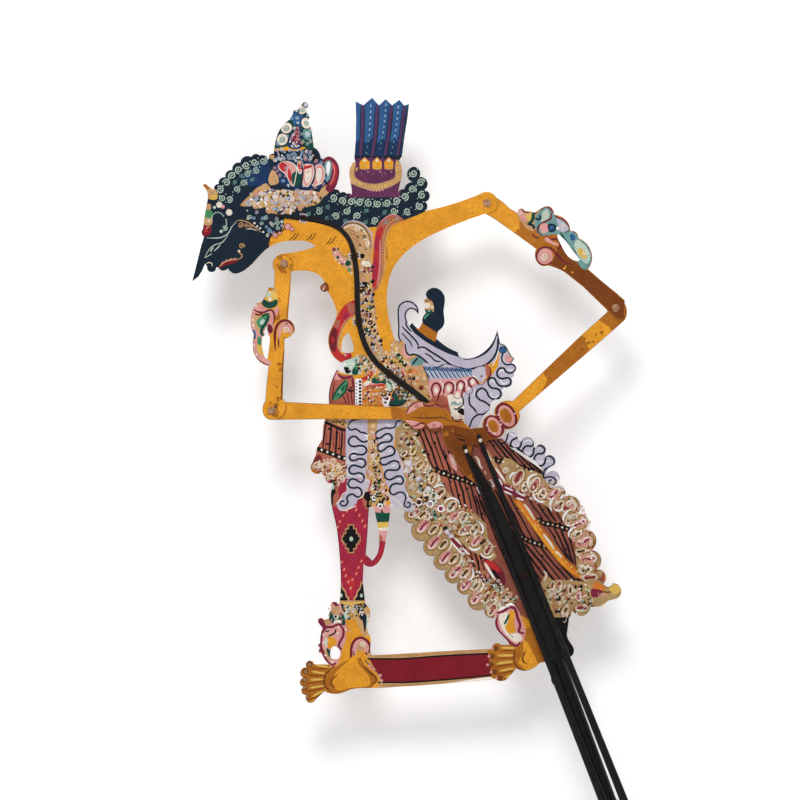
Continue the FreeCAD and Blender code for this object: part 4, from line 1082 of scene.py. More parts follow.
front_upper = Sheet("front_upper_arm", "gold")
for paint, area, n, size, seed in (("ochre", "66,331 70,324 74,320 75,328", 10, 2.6, 1),
        ("bronze", "68,327 72,324 74,331 70,332", 8, 1.8, 2),
        ("bronze", "60,220 64,216 66,224 60,213", 12, 2.0, 3),
        ("umber", "62,218 59,214 66,222", 5, 1.1, 4),
        ("ochre", "66,300 68,285 66,250 64,236", 9, 1.8, 5)):
    mottle(front_upper, paint, xy(area), n, size, seed)
front_upper.line("bronze", 1.8, *xy("76,318 74.4,300 72.6,286"), thin=0.6)
# painted shade: an umber line down the arm's right edge stands for the shadow along that edge
front_upper.line("umber", 1.2, *xy("70.4,262 69.6,244 68.6,226"), thin=0.6)
for paint, way in (("tan", "57,309.6 63,309.6 64.6,306 56,305"),
        ("bronze", "57.6,309.8 62,310.4 63,307.6 58.6,307"),
        ("yellow", "56.4,306.4 64,306 65,300 54.6,299.6"),
        ("curl_green", "57,305.6 60.4,306 60.6,302.4 57,302.6"),
        ("deep_green", "53.6,298.6 55.6,300.4 60,298.4 64.4,300.4 66.2,298.4 64.4,295 60,293.6 55.6,295")):
    front_upper.patch(paint, *xy(way))
Stamps.add("front_upper", "dot", "white", (60.2, 300.4), 1.2)
for paint, way in (("pink", "45.6,297 51,297.6 58,293.4 62.6,292.6 66.6,295 66,289.6 63.4,287 63,279 "
        "60,274 52,270 46.6,273 45.4,283"), ("tan", "49,289.6 60,289.6 58.6,282 54,276.6 49,279"),
        ("leaf_green", "50,284 54,287.4 58.4,289.4 57.4,282 53,278.6"),
        ("curl_green", "52.4,282.6 54.6,285.6 56.4,284 54.8,281.4")):
    front_upper.patch(paint, *xy(way))
front_upper.line("deep_green", 2.4, *xy("59.4,288.6 57.6,283.6 54.6,279 53.8,275 56.2,272.4"), thin=0.6)
front_upper.line("deep_green", 1.6, *xy("53.6,287 56.6,289 60,289.4"))
for paint, way in (("white", "56.4,278 58.6,281 58.8,276 58.2,272.8 56,274.6"),
        ("wine", "58.6,281.6 61.4,280.6 62.4,277 60.6,274.6 58.2,277"),
        ("blue", "46.6,276.6 49,277 49.6,271.6 47,270.6"),
        ("pink", "46.8,270 51,269 52.6,262 57.6,256 60.6,254 60,250.6 54,251 48,258.6 46.6,265"),
        ("yellow", "50.6,268.4 53.4,268 56.6,259.4 53.4,258.8 50.4,262.6"),
        ("leaf_green", "51,272 53.4,272 53.6,266.6 51,266.8")):
    front_upper.patch(paint, *xy(way))
for pts, w in ((xy("47.4,293.4 50.6,291.2 55,290.6 60,292.4 62.6,291 63.6,285.6 62.4,281.6"), 1.3),
        (xy("48.4,290 51,288.8 55,289.6"), 1.1), (xy("46.6,294.8 45.9,287 45.9,280 47,276"), 0.8),
        (xy("47,270.4 46.7,264 48,259 51.6,254.8 56,252.2 60,251.2"), 1.1),
        (((57.8, 281.4), (56.2, 277.4)), 0.9), (xy("64.2,262 63.8,270 64.2,277 66.6,282.4 71,284.6 "
        "75.6,283 78.4,279 77.6,273.8 73,271.2 70.6,271.8"), 1.7), (xy("66.6,264 66.6,271 67,277"), 1.0),
        (((66.8, 293), (66.6, 289.6)), 1.0)):
    front_upper.line("wine", w * 1.15, *pts)
front_upper.patch("pink", *xy("65.8,276 68,281.4 71.4,283.4 75.2,281.8 77,278.2 76.2,274.8 73.6,276 "
    "72.6,279 69.4,278 68,274 67,270"))
Stamps.add("front_upper", "dot", "wine", (72.6, 282), 0.7)
Stamps.add("front_upper", "curl", "cream", (72.6, 277.4), 2.6, 200, -1)
for c in xy("49.6,295.6 47.4,285 48,281 48.2,266 50,259"):
    Stamps.add("front_upper", "dot", "cream", c, 0.9)

rear_upper = Sheet("rear_upper_arm", "gold")
# painted shade: the half of the arm towards the elbow is painted ochre, and brown within that, for the shade where
# it bends back
rear_upper.patch("ochre", *xy("247,372 262,360 300,345 340,330 340,270 300,280 252,336 247,350"),
    curved=False)
rear_upper.patch("brown", *xy("278,345 290,336 340,320 340,260 300,280 268,320 274,334"), curved=False)
for paint, area, n, size, seed in (("ochre", "250,352 254,346 246,350 252,358", 10, 2.6, 6),
        ("brown", "276,330 270,326 280,334 272,336", 12, 2.4, 7),
        ("umber", "300,308 312,300 320,296 318,288", 8, 1.8, 8),
        ("gold", "282,326 286,322", 3, 1.6, 9)):
    mottle(rear_upper, paint, xy(area), n, size, seed)
for paint, way in (("tan", "214,372 217,380 223,382.6 229,379.6 231,372 227,366.6 219,366"),
        ("pink", "217.6,372.6 219.6,378 224,379.4 228,376 228.4,371 224.6,368 220,368.6"),
        ("tan", "244,368 247.4,369.6 251,365.4 256,366 262,363 258,352 252,354 246,362"),
        ("pink", "245,366 247.6,368.4 250.6,364 252.6,359 249,360"),
        ("yellow", "251.6,363 256,365 257.6,360 254,358.6"), ("teal", "259,362 263.4,368.4 268,370.4 "
        "272,367.6 275,362.6 282,359 285.6,353 281,348.6 272,349 263,348 259,353"),
        ("curl_green", "262.4,360 264.4,366 268,368 269.6,363 266,358.6"),
        ("lilac", "274.6,361 280,358 283.6,354 281.4,350.4 277,351 276,356"), ("teal",
        "283,352 287,351.8 292,346.8 298.6,341 302.4,333 300,324 294,323.4 288,332 281.4,341 278,349"),
        ("curl_green", "290.6,345 296.6,340 300,333 297.6,327 292.6,331 288,340"),
        ("yellow", "292,339 296,336 297.4,331 293.6,331.6 290.4,336"),
        ("blue", "285,349 288,348.6 288.6,345 285.6,344.6")):
    rear_upper.patch(paint, *xy(way))
for pts, w, p in ((xy("253,356.6 256.6,359.6 257.8,364.8 260.4,366.2"), 2.6, "deep_green"),
        (xy("252.8,357 257,355.8 258,352.6"), 2.0, "navy"),
        (xy("258.6,361 262.4,360.4 262.4,364"), 1.6, "navy"),
        (xy("277.6,351 280.6,345.4 284.6,339.6 289.6,334.4"), 1.8, "deep_green"),
        (xy("262.6,367 267.6,369.8 271.4,367 274.6,362.4 280.6,359.4 284.8,353.4 281,350"), 1.3, "maroon"),
        (xy("270.6,366.4 270.4,361 266,358.6 261.4,355 260.8,351 264.6,347.8"), 1.5, "wine"),
        (xy("285,352 290.4,349.4 296,343.4 300.8,335.6 300.8,328 297,323.4"), 1.0, "maroon"),
        (xy("245,368.4 247.4,369.8 251,365.8 257,366.2"), 0.9, "wine"),
        (xy("266,349 270,345.4 275,345.4 278,341.6 276.6,338.6 273.6,339.6"), 1.5, "wine"),
        (xy("256.4,350 258.4,347 262,346.4"), 1.2, "wine")):
    rear_upper.line(p, w, *pts)
for paint, way in (("pink", "262.4,355.8 266.4,357.4 269.6,355 268,351 264,350"),
        ("navy", "268,356 271,357.2 274.4,355.4 273.4,351.4 269.4,351"),
        ("blue", "269.4,355.2 272.6,355.4 272.4,352.6 269.8,352.4"),
        ("pink", "267.6,347 272,343.6 276.4,341.8 274.6,340.8 270,342.4 266,344.6")):
    rear_upper.patch(paint, *xy(way))
Stamps.add("rear_upper", "dot", "white", (275.6, 353.6), 1.2)
for c, r, a in (((247.6, 365.4), 1.6, 30), ((266.2, 364.2), 2.0, 120), ((280, 355.6), 1.8, 300),
        ((296, 335.6), 2.2, 60)):
    Stamps.add("rear_upper", "curl", "cream", c, r, a)
# the curl at the arm's lower edge
rear_upper.patch("pink", *xy("259.8,332 262,337.4 266.4,338.6 271,336 271.6,330.4 268,327.2 263,327.6"))
rear_upper.patch("tan", *xy("264.8,333 267,335 269.6,332.4 268.4,330 265.6,330.6"))
rear_upper.line("wine", 1.6, *xy("271.4,327.8 265.8,325.8 261.2,328 259.6,332.4 262,337.8 267,339.4 "
    "272,337.6 276,332.6 281,328 287,326.6"))
Stamps.add("rear_upper", "curl", "cream", (265.6, 332.4), 3.0, 40)

front_fore = Sheet("front_forearm", "gold")
mottle(front_fore, "bronze", xy("61,218 64,214 58,216 66,220"), 9, 2.0, 11)
front_fore.line("ochre", 2.2, *xy("66,209.6 110,208.6 160,206"), thin=0.8)
front_fore.patch("ochre", *xy("150,226 164,225 240,225 240,150 160,150 152,204"), curved=False)
mottle(front_fore, "bronze", xy("168,214 180,212 190,208 176,216 200,206 206,200"), 18, 2.4, 12)
front_fore.patch("brown", *xy("190,206 198,206 206,204 214,202 219,196 219,150 190,150 186,190"),
    curved=False)
mottle(front_fore, "bronze", xy("194,200 204,196 210,186 208,176 212,168"), 14, 2.0, 13)
mottle(front_fore, "umber", xy("200,188 204,180 199,183"), 6, 1.6, 14)
front_fore.line("umber", 2.0, *xy("198.6,199.6 202,197 206.4,194.4"), thin=0.8)
for paint, width, way in (("umber", 1.0, "204,186 208.6,176 213,165"),
        ("umber", 1.0, "195.6,186.4 200,180 205,170"),
        ("umber", 1.2, "166,212 178,211.4 190,211.8 196,208")):
    front_fore.line(paint, width, *xy(way))
# bracelet
for paint, way in (("pink", "161.6,214.6 164.6,220.6 170,224.6 176,225 176,221 172,219.6 166,216"),
        ("terracotta", "177,224.6 184,226.4 191,225 196.6,221 197,215 191,217.6 184,219.6 177,220.6"),
        ("pink", "161,209.4 170,209 176,206.4 184,209 189.6,206.4 187,202.4 178,202.4 166,203.4")):
    front_fore.patch(paint, *xy(way))
for pts, w in ((xy("162,214 164.4,219.6 169,223.2 175,224.2 182,224 186.6,221 193,218.8 196.4,213.6 "
        "198,209.6 204,208.6"), 1.6), (xy("175,224.6 175.8,221 180,220.4 184,221.6"), 1.2),
        (xy("183,226 188,225.4 194.6,221.4 196.4,217"), 1.2),
        (xy("164.4,205.6 169,205.6 173.6,207.8 177.4,206 180,203.4 186,203.8 189.4,206.6"), 1.2),
        (((190, 216.4), (192.6, 213)), 0.8)):
    front_fore.line("wine", w, *pts)
for c, r, a in (((170, 220.6), 1.7, 40), ((188, 221.6), 1.9, 200), ((183, 206), 1.6, 20)):
    Stamps.add("front_fore", "curl", "terracotta", c, r, a)

rear_fore = Sheet("rear_forearm", "ochre")
rear_fore.patch("gold", *xy("226,206 232,222 240,232 262,250 268,240 250,206"), curved=False)
rear_fore.patch("gold", *xy("290,288 302,288 314,280 318,272 300,262 292,276"), curved=False)
for paint, area, n, size, seed in (("bronze", "272,250 280,256 288,264 284,254 276,246 294,270", 20, 2.4, 15),
        ("bronze", "306,276 312,282 302,270 318,290", 9, 1.8, 16),
        ("gold", "256,238 260,234 252,230 262,242", 8, 2.2, 17),
        ("umber", "296,264 302,262", 3, 1.2, 18)):
    mottle(rear_fore, paint, xy(area), n, size, seed)
rear_fore.line("umber", 1.1, *xy("248,216 272,236 300,259 322,282"), thin=0.7)
rear_fore.patch("brown", *xy("190,212 208,206 218,207 224,208 232,200 226,194 216,188 190,186"), curved=False)
mottle(rear_fore, "umber", xy("212,200 220,196 206,200"), 7, 1.8, 19)
for c, ru, rv, turn in (((237.4, 213), 10.8, 7.3, 118), ((228, 205.2), 9.8, 6.7, 118)):
    rear_fore.add("wine", disc(c, ru, rv, turn))
    rear_fore.add("pink", disc(c, ru - 2.3, rv - 1.9, turn))
    rear_fore.add("ochre", disc((c[0] - 0.6, c[1] + 0.2), ru - 4.6, rv - 3.3, turn))
    rear_fore.add("bronze", disc((c[0] - 1.2, c[1] + 0.6), ru - 6.8, rv - 5.0, turn))
    for k in range(7):
        a = radians(turn + 52 * k)
        Stamps.add("rear_fore", "dot", "cream" if k % 2 else "tan",
            (c[0] + (ru - 3.8) * cos(a) * 0.92, c[1] + (rv - 2.1) * sin(a) * 1.1), 0.65)

# a fine dark line along the cut edges of the arms
for arm in (front_upper, rear_upper, front_fore, rear_fore):
    arm.edge = sheet_edge(arm.node)
    for loop in arm.edge[:1]:
        for i in range(0, len(loop), 4):
            bit = [loop[(i + k) % len(loop)] for k in range(5)]
            arm.line("bronze", 0.9, *bit, thin=1.0, curved=False)
front_depth, front_creases = bend(FRONT_SHOULDER, FRONT_ELBOW, -2.1, -6.7)
rear_depth, rear_creases = bend(REAR_SHOULDER, REAR_ELBOW, 0.9, -5.2)
lay_sheet(front_upper, "front_upper_arm_painted", "front_upper_arm", front_depth, ARM_THICK, front_creases)
lay_sheet(rear_upper, "rear_upper_arm_painted", "rear_upper_arm", rear_depth, ARM_THICK, rear_creases)
lay_sheet(front_fore, "front_forearm_painted", "front_forearm", lambda u, v: -5.2, ARM_THICK)
lay_sheet(rear_fore, "rear_forearm_painted", "rear_forearm", lambda u, v: -3.7, ARM_THICK)
GROUP_BODY = {"front_upper": ("front_upper_arm", lambda u, v: front_depth(u, v) + ARM_THICK / 2),
    "rear_upper": ("rear_upper_arm", lambda u, v: rear_depth(u, v) + ARM_THICK / 2),
    "front_fore": ("front_forearm", lambda u, v: -4.6), "rear_fore": ("rear_forearm", lambda u, v: -3.1)}

# Rods, rivets and bindings: black buffalo-horn rods scraped to a taper, bone rivets turned over hide washers,
# cotton thread that holds the hands to their rods and waxed brown thread that binds the body to the main rod.


def fibre_group():
    """Fibres of horn, bone, hide and thread, as one shared shader group."""
    g = bpy.data.node_groups.new("drawn_fibres", "ShaderNodeTree")
    for name, kind, value in (("Colour", "NodeSocketColor", (1, 1, 1, 1)),
            ("Fibre colour", "NodeSocketColor", (0, 0, 0, 1)), ("Along", "NodeSocketVector", (1, 1, 1)),
            ("Scale", "NodeSocketFloat", 200.0), ("Rough low", "NodeSocketFloat", 0.3),
            ("Rough high", "NodeSocketFloat", 0.5)):
        g.interface.new_socket(name, in_out="INPUT", socket_type=kind).default_value = value
    for name, kind in (("Colour", "NodeSocketColor"), ("Roughness", "NodeSocketFloat"),
            ("Height", "NodeSocketFloat")):
        g.interface.new_socket(name, in_out="OUTPUT", socket_type=kind)
    n, l = g.nodes, g.links
    inp, out = n.new("NodeGroupInput"), n.new("NodeGroupOutput")
    co = n.new("ShaderNodeTexCoord")
    stretch = n.new("ShaderNodeVectorMath")
    stretch.operation = "MULTIPLY"
    l.new(co.outputs["Object"], stretch.inputs[0])
    l.new(inp.outputs["Along"], stretch.inputs[1])
    noise = n.new("ShaderNodeTexNoise")
    noise.inputs["Detail"].default_value = 5.0
    l.new(stretch.outputs[0], noise.inputs["Vector"])
    l.new(inp.outputs["Scale"], noise.inputs["Scale"])
    mask = n.new("ShaderNodeMapRange")
    mask.inputs["From Min"].default_value = 0.4
    mask.inputs["From Max"].default_value = 0.66
    l.new(noise.outputs["Fac"], mask.inputs["Value"])
    mix = n.new("ShaderNodeMix")
    mix.data_type = "RGBA"
    l.new(mask.outputs[0], mix.inputs["Factor"])
    l.new(inp.outputs["Colour"], mix.inputs["A"])
    l.new(inp.outputs["Fibre colour"], mix.inputs["B"])
    l.new(mix.outputs["Result"], out.inputs["Colour"])
    rough = n.new("ShaderNodeMapRange")
    l.new(noise.outputs["Fac"], rough.inputs["Value"])
    l.new(inp.outputs["Rough low"], rough.inputs["To Min"])
    l.new(inp.outputs["Rough high"], rough.inputs["To Max"])
    l.new(rough.outputs[0], out.inputs["Roughness"])
    l.new(noise.outputs["Fac"], out.inputs["Height"])
    return g


fibres = fibre_group()


def fibre_material(name, colour, fibre, stretch, scale, rough, bump_by=0.2, distance=0.0001, coat=0.0):
    """A fibrous finish in two tones, drawn out along one direction."""
    m, nodes, links, bsdf = new_material(name)
    g = nodes.new("ShaderNodeGroup")
    g.node_tree = fibres
    for label, value in (("Colour", colour), ("Fibre colour", fibre), ("Along", stretch), ("Scale", scale),
                         ("Rough low", rough[0]), ("Rough high", rough[1])):
        g.inputs[label].default_value = value
    bump = nodes.new("ShaderNodeBump")
    bump.inputs["Strength"].default_value = bump_by
    bump.inputs["Distance"].default_value = distance
    links.new(g.outputs["Colour"], bsdf.inputs["Base Color"])
    links.new(g.outputs["Roughness"], bsdf.inputs["Roughness"])
    links.new(g.outputs["Height"], bump.inputs["Height"])
    links.new(bump.outputs[0], bsdf.inputs["Normal"])
    bsdf.inputs["Coat Weight"].default_value = coat
    bsdf.inputs["Specular IOR Level"].default_value = 0.2
    return m


horn = fibre_material("black_horn", ink(4, 4, 5), ink(20, 15, 14), (1.0, 1.0, 0.06), 900.0, (0.36, 0.56))
bone = fibre_material("bone", ink(178, 138, 104), ink(126, 84, 60), (1.0, 1.0, 1.0), 700.0, (0.35, 0.55))
washer_hide = fibre_material("washer_hide", ink(156, 112, 66), ink(104, 68, 38), (1.0, 1.0, 1.0), 500.0,
    (0.55, 0.8))
white_cotton = fibre_material("white_cotton", ink(226, 218, 204), ink(186, 174, 156), (1.0, 1.0, 1.0),
    2400.0, (0.8, 0.95), 0.6, 0.0002)
brown_thread = fibre_material("brown_thread", ink(58, 36, 26), ink(34, 20, 16), (1.0, 1.0, 1.0), 2400.0,
    (0.6, 0.85), 0.6, 0.0002)
for finish, nodes_of in ((horn, ("main_rod", "front_arm_rod", "rear_arm_rod")),
        (bone, ("front_shoulder_pin", "front_elbow_pin", "rear_shoulder_pin", "rear_elbow_pin")),
        (washer_hide,
        ("front_shoulder_washer", "front_elbow_washer", "rear_shoulder_washer", "rear_elbow_washer")),
        (white_cotton, ("front_hand_stem", "rear_hand_stem")),
        (brown_thread, ("tie_jaw", "tie_chest", "tie_waist", "tie_belt", "tie_skirt", "tie_hem"))):
    for node in nodes_of:
        o = bpy.data.objects[node]
        o.data.materials.clear()
        o.data.materials.append(finish)

# Waist: a crimson ribbon looped out on the front side, knots of cord over the hips, and the belt with its
# chained border, a round dark jewel under the rod and a fan of tan leaf work behind it.
PAINTS["orange"] = (ink(216, 124, 48), ink(176, 84, 34), 0.6, 0.5, 0.1)


ribbon = body.patch("red", *xy("126,300 116,296 109,285 103,274 102,264 106,256 113,252 120.4,254.6 "
    "121,259 118,261.6 114.6,259.4 111.6,263 111.2,270 114,280 121,288 125.6,290"))
for paint, way in (("crimson", "117,291.6 119.6,288 116,285 114,286.6"),
        ("wine", "104,278 110,278 109.6,264 108,261 104,266"),
        ("red", "107,273 108.4,270 107,267.6 105.8,270.4"),
        ("terracotta", "118,297 123,297 124,291 120,289.6 118.6,293"),
        ("terracotta", "109,285 112.6,284 111,278.6 108.6,280")):
    body.patch(paint, *xy(way), inside=ribbon)
body.line("tan", 1.8, *xy("125.6,290.4 120,286.4 114.8,280.6 111.8,272 111.6,264 114,260.4"))
body.line("terracotta", 1.0, *xy("124,289.6 118.4,285 113.4,278 110.6,270 110.8,263"))
rim(body, "bronze", 0.8, *xy("110,286 104,273 104,264 112,254"))
body.ringed((118, 258.4), ("wine", 2.9), ("red", 2.3))
Stamps.add("waist", "dot", "pink", (116.4, 258.8), 1.1)
body.patch("brown", *xy("97,314 103,312.4 104,307 99,305"))
Stamps.add("waist", "curl", "pink", (100.8, 310), 1.5, 30)
Stamps.add("waist", "dot", "cream", (100, 308), 0.7)
# knot over the front hip
for paint, way in (("curl_green", "113.6,253 119.6,255.6 126,257 129,250 127.6,244.6 117,244.6 114,248.6"),
        ("black", "115.4,249.4 118.4,249.6 121,247 118.6,244.8 115.6,246.4"),
        ("deep_green", "121.4,246 123,249.6 125.8,249 126,244.6 123,243.6")):
    body.patch(paint, *xy(way))
body.line("black", 1.9, *xy("124.4,255.6 125.6,251.4 128,246.4"))
body.patch("leaf_green", *xy("123.6,251 125,252 125.6,248.6 124,248"))
for c, r, p in (((120.4, 248.6), 1.5, "cream"), ((116, 251.6), 1.2, "white"), ((122, 252.6), 1.3, "cream"),
        ((128.6, 255), 1.0, "tan"), ((131.4, 252.4), 1.2, "cream")):
    Stamps.add("waist", "curl" if r > 1.25 else "dot", p, c, r, 40)
body.patch("tan", *xy("128,260 133,257 140,249 138,245.6 130,250 126.6,256"))
for c in xy("129,257 131.6,254.4 134.4,252.6 136.6,249.6 133,249.6"):
    body.dot("yellow", c, 1.2, 0.8, 40)
    Stamps.add("waist", "dot", "cream", (c[0] + 1.2, c[1] - 0.6), 0.6)
# belt lobe with a leaf
lobe = body.patch("terracotta",
    *xy("108.6,247.4 113,244 121,243.4 123.6,239 125,221 101,221 102.6,232 105,240.6"))
body.patch("pink", *xy("108.6,247.6 112,245 114.6,241.4 110.6,240 107,242.6"), inside=lobe)
body.line("maroon", 2.0, *xy("110.6,245 114.4,241.6 119,242 122.4,243.6"))
body.patch("leaf_green",
    *xy("106.6,225.4 109,231 112,235.6 117,240.4 118.4,236.4 116.4,231 112.6,227 109,225"))
for pts in (xy("107,225.6 109.6,231.6 113,236 117.4,240"),
        xy("118.4,238.6 117.2,233 114.6,229 110.6,225.6"), xy("110,228 113.6,232 116.4,236.4")):
    body.line("deep_green", 1.5, *pts)
Stamps.add("waist", "curl", "curl_green", (112.4, 231.4), 1.5, 30)
for a, b in (((114.6, 229), (117.4, 222)), ((117.6, 231), (119.6, 222)), ((120.6, 233), (121.8, 222)),
        ((123.2, 236), (123.6, 222)), ((108.4, 239), (106.2, 223))):
    body.line("wine", 1.1, a, ((a[0] + b[0]) / 2, (a[1] + b[1]) / 2), b)
body.line("black", 1.6, *xy("118,233.4 120.4,231.6 123,232.2"))
body.dot("black", (120.6, 234), 1.0)
body.line("wine", 1.4, *xy("121.6,242 122.4,236 122.6,232.6"))
rim(body, "wine", 0.9, *xy("109,247.6 104.6,238 103.4,228 104.6,222.6"))
# chained border and mottled panel
body.patch("white", *xy("123.8,241 129.6,241 129.8,220 123.8,220"), curved=False)
for i in range(8):
    body.dot("black", (127.6, 238.8 - 2.5 * i), 1.15, 1.0)
    body.dot("black", (124.8, 237.6 - 2.5 * i), 0.55)
    Stamps.add("waist", "dot", "white", (125.8, 237.8 - 2.5 * i), 0.7)
panel = body.patch("orange", *xy("129,241 149,241 149,220 129,220"), curved=False)
mottle_of = random.Random(21)
for i in range(26):
    c = (mottle_of.uniform(130, 145), mottle_of.uniform(221, 233))
    body.dot(("yellow", "red", "terracotta", "brown")[i % 4], c, mottle_of.uniform(0.5, 1.1), None, 0,
        inside=panel)
for c in xy("132,226 135.6,230 138.4,226 142,228.6 134.6,222.6 139.6,222 143.4,223.6 131,231"):
    Stamps.add("waist", "curl", "yellow", c, 1.4, c[0] * 40)
body.line("pink", 2.6, *xy("129,233 133,236.6 138,237.6 144,238.2 148.6,239.2"), inside=panel)
body.line("red", 1.9, *xy("131.6,234.4 136,235.4 141,235.8 147,237"))
body.patch("cream", *xy("129.6,236.8 133,239.6 137,240.4 135.4,237.6 131.6,235.6"))
body.line("red", 2.6, *xy("128.4,241 132.6,241.6 136.4,245 138.6,248.4"))
body.line("pink", 1.2, *xy("128.4,244 132,245 135.6,248.4 138,250.4"))
body.patch("deep_green", *xy("136,238.6 138,242.4 143,244 150,242.4 149.4,237 144,237.6 139.6,237.2"))
body.patch("tan", *xy("140,240 141,244.6 146,245.6 146.6,241.6 143.4,239.4"))
for c, r, p in (((143.2, 242.4), 1.9, "cream"), ((139.4, 247.6), 1.3, "cream"),
        ((147.6, 247), 1.2, "curl_green"), ((151.6, 233.2), 1.8, "tan"), ((153.4, 238.4), 1.5, "cream")):
    Stamps.add("waist", "curl", p, c, r, c[1] * 30)
body.patch("curl_green", *xy("147.6,240 153,239.6 156,236 153,232.6 149.6,230 147.6,233"))
body.line("deep_green", 1.6, *xy("148.4,238.6 151.4,236.4 151.8,232.4 149.6,230.8"))
body.patch("white", *xy("144.6,232 148.6,233 150,226 149.6,220 145.6,220 144,226"))
for v in (231, 228.4, 225.8, 223.2):
    body.dot("black", (146.4, v), 1.1, 0.9)
body.line("black", 1.1, *xy("141.4,231.6 143.6,230 145.6,226.6"))
# jewel
for paint, way in (("tan", "157,220 159,226 163,236 170,234 171,226 168,219.6 160,218.6"),
        ("navy", "149.4,220.6 150.4,225.6 152.4,231 157,235.6 163.6,235.4 165,229.6 162,223.4 157,220.4"),
        ("deep_green", "150.6,221.6 151.6,226 154,231.4 158,234.4 162.6,233.8 163.6,229 161,224 156,221.6"),
        ("curl_green", "165,232 169.6,229 169,225 164.6,226.6")):
    body.patch(paint, *xy(way))
for c, r in (((164.4, 222.2), 1.6), ((167.4, 227.4), 1.5), ((161.6, 220.6), 1.0)):
    Stamps.add("waist", "curl", "white", c, r, 60)
# leaf work behind the rod
fan = body.patch("tan",
    *xy("152,270 160,267 167,258 172,252 176.6,250 180.6,240 182,226 170,225 160,238 148,251 150,262"))
body.patch("crimson", *xy("147,251 152,249 157,247.4 162,243.4 157.6,241.6 152,245"), inside=fan)
for paint, width, way in (("pink", 1.1, "148,252.4 153,250.4 158,248.6 162,245.6"),
        ("yellow", 2.0, "153,266.6 156,259 160,251 164.6,247.4"),
        ("black", 2.4, "157,259.4 158.8,254.6 161.8,249.4"),
        ("leaf_green", 0.9, "155.4,261 157,256.4 159.4,251.4")):
    body.line(paint, width, *xy(way))
body.patch("pink", *xy("159,263 161.4,267 163.6,262 165.6,257 162.4,256.4 160,259"))
for paint, width, way in (("orange", 1.6, "161,247 164.6,244.6 168,247.4 171.4,244"),
        ("brown", 0.9, "166,241.6 166,236.6 168.6,232.6"),
        ("brown", 1.0, "176.4,247 178.8,240 179.6,231.6 177,228")):
    body.line(paint, width, *xy(way))
for c, p, r in (((173.4, 234.2), "brown", 2.0), ((173.2, 233.6), "wine", 1.2), ((166.8, 241), "wine", 0.8),
        ((179.4, 227.6), "brown", 0.9), ((170.6, 239.4), "orange", 1.2)):
    body.dot(p, c, r)
for k in range(6):
    Stamps.add("waist", "petal", "tan", (173.4 + 2.9 * cos(pi / 3 * k), 234.2 + 2.9 * sin(pi / 3 * k)), 1.3,
        60 * k)
for c, r, p in (((155, 264), 1.3, "cream"), ((159.6, 262.4), 1.2, "pink"), ((153.4, 254.6), 1.5, "yellow"),
        ((164.6, 252.4), 1.4, "cream"), ((169, 249.4), 1.5, "pink"), ((165, 246), 1.5, "orange"),
        ((172.6, 246), 1.5, "tan"), ((176, 241), 1.4, "cream"), ((170.4, 241.6), 1.4, "cream"),
        ((177.6, 234.6), 1.1, "cream"), ((168.8, 237), 1.0, "cream"), ((163.6, 238.6), 1.2, "tan"),
        ((176.4, 229.4), 1.2, "yellow")):
    Stamps.add("waist", "curl", p, c, r, c[0] * 50 + c[1] * 20)
body.patch("teal", *xy("165,253 169.6,257.6 174.6,256 176,252 171,251 167.6,250.4"))
body.line("black", 1.2, *xy("166.4,251 168.6,254 171.4,257"))
for c in xy("151.4,266 152,261 150.6,256.6 149.4,252.6"):
    Stamps.add("waist", "dot", "cream", c, 0.75)

# Dagger: its boat-shaped sheath is lilac with fine dark grain lines and a black upper edge, the hilt black
# with a carved tan grip over a gold collar. Blue fringe and red looped scrolls hang below it.
body.patch("lilac", *xy("154,302 172,302 174,288 168,285 180,274 202,261 214,258 224,264 229,274 229.6,281 "
    "234,281 233,263 228.4,254.4 222,250.4 214,248.4 207.6,247 198,251 191,252.4 185.4,248.6 180,250.6 "
    "174.6,255.6 168,259.4 163.4,258 161.6,262.4 161,267 155,274 155.6,284"), curved=False)
body.patch("navy", *xy("163.4,285 167.6,286 171,280.4 178,275 187,269.6 195,265 204,261 201.4,257.2 "
    "193,260 184,264.4 176,269.2 168,275.4 164.8,280"), curved=False)
for pts, w in ((xy("159,280 163,276 168,271 170.6,267.4 171.4,263.8"), 1.3),
        (xy("158.8,275.4 161.8,272 165,268.6 166.8,265"), 1.0),
        (xy("170.4,263.6 175,264.6 181,261 189,256 196,251.2 203,248.8 209,247.6"), 1.5),
        (xy("176,260 180,258 184,254.4 188,253.8"), 1.2), (xy("161.4,267 162.2,261.4 164.4,258.8 168,259.2 "
        "172,257.8 176,254.8 180,250.8 185,249.2 190,251.2 195,251.8"), 1.4),
        (xy("202,249.6 208,247.8 214,249 221,251 226,254.8 229.6,260.4 231,267 231.2,277"), 1.6),
        (xy("200,258 207,256.2 214,256.8 221,260 226,265 229,271"), 1.3),
        (xy("161.6,283 163,279.6 166,276.4"), 1.2)):
    body.line("navy", w, *pts, thin=0.7)
rim(body, "navy", 1.15,
    *xy("160,267 156.4,273 156.8,282 156,291 163,299 170,295 171.4,289 168,290 162.6,289 164,283"))
rim(body, "navy", 0.9, *xy("205,256.4 214,257 226,264.6 230.4,278 232.6,268"))
body.patch("ochre", *xy("169.6,278.4 173.6,285 186.6,277.6 185.4,270.4 183.4,268.6 177,272.6"), curved=False)
body.line("bronze", 1.1, *xy("183.6,277 184.4,273.4 183,270"))
hilt = body.patch("navy", *xy("173,283.4 185,275.6 193,279 193,312 174,313 172,288"), curved=False)
body.patch("tan", *xy("174.6,292 174.6,300.6 180.6,299.8 182.6,296 182.8,291.6 180,290.6"), inside=hilt)
body.patch("cream", *xy("176,295.4 176.6,297.6 179.6,297.4 179.6,294.6 177.4,293.6"), inside=hilt)
body.line("brown", 1.0, *xy("175,300 178.6,299.2 180.8,300"), inside=hilt)
body.patch("deep_green", *xy("175,292.4 181,292.6 181.6,290 177.6,289.4"), inside=hilt)
body.line("leaf_green", 1.6, *xy("175.6,285.6 177.2,288.2 179.6,289.4"))
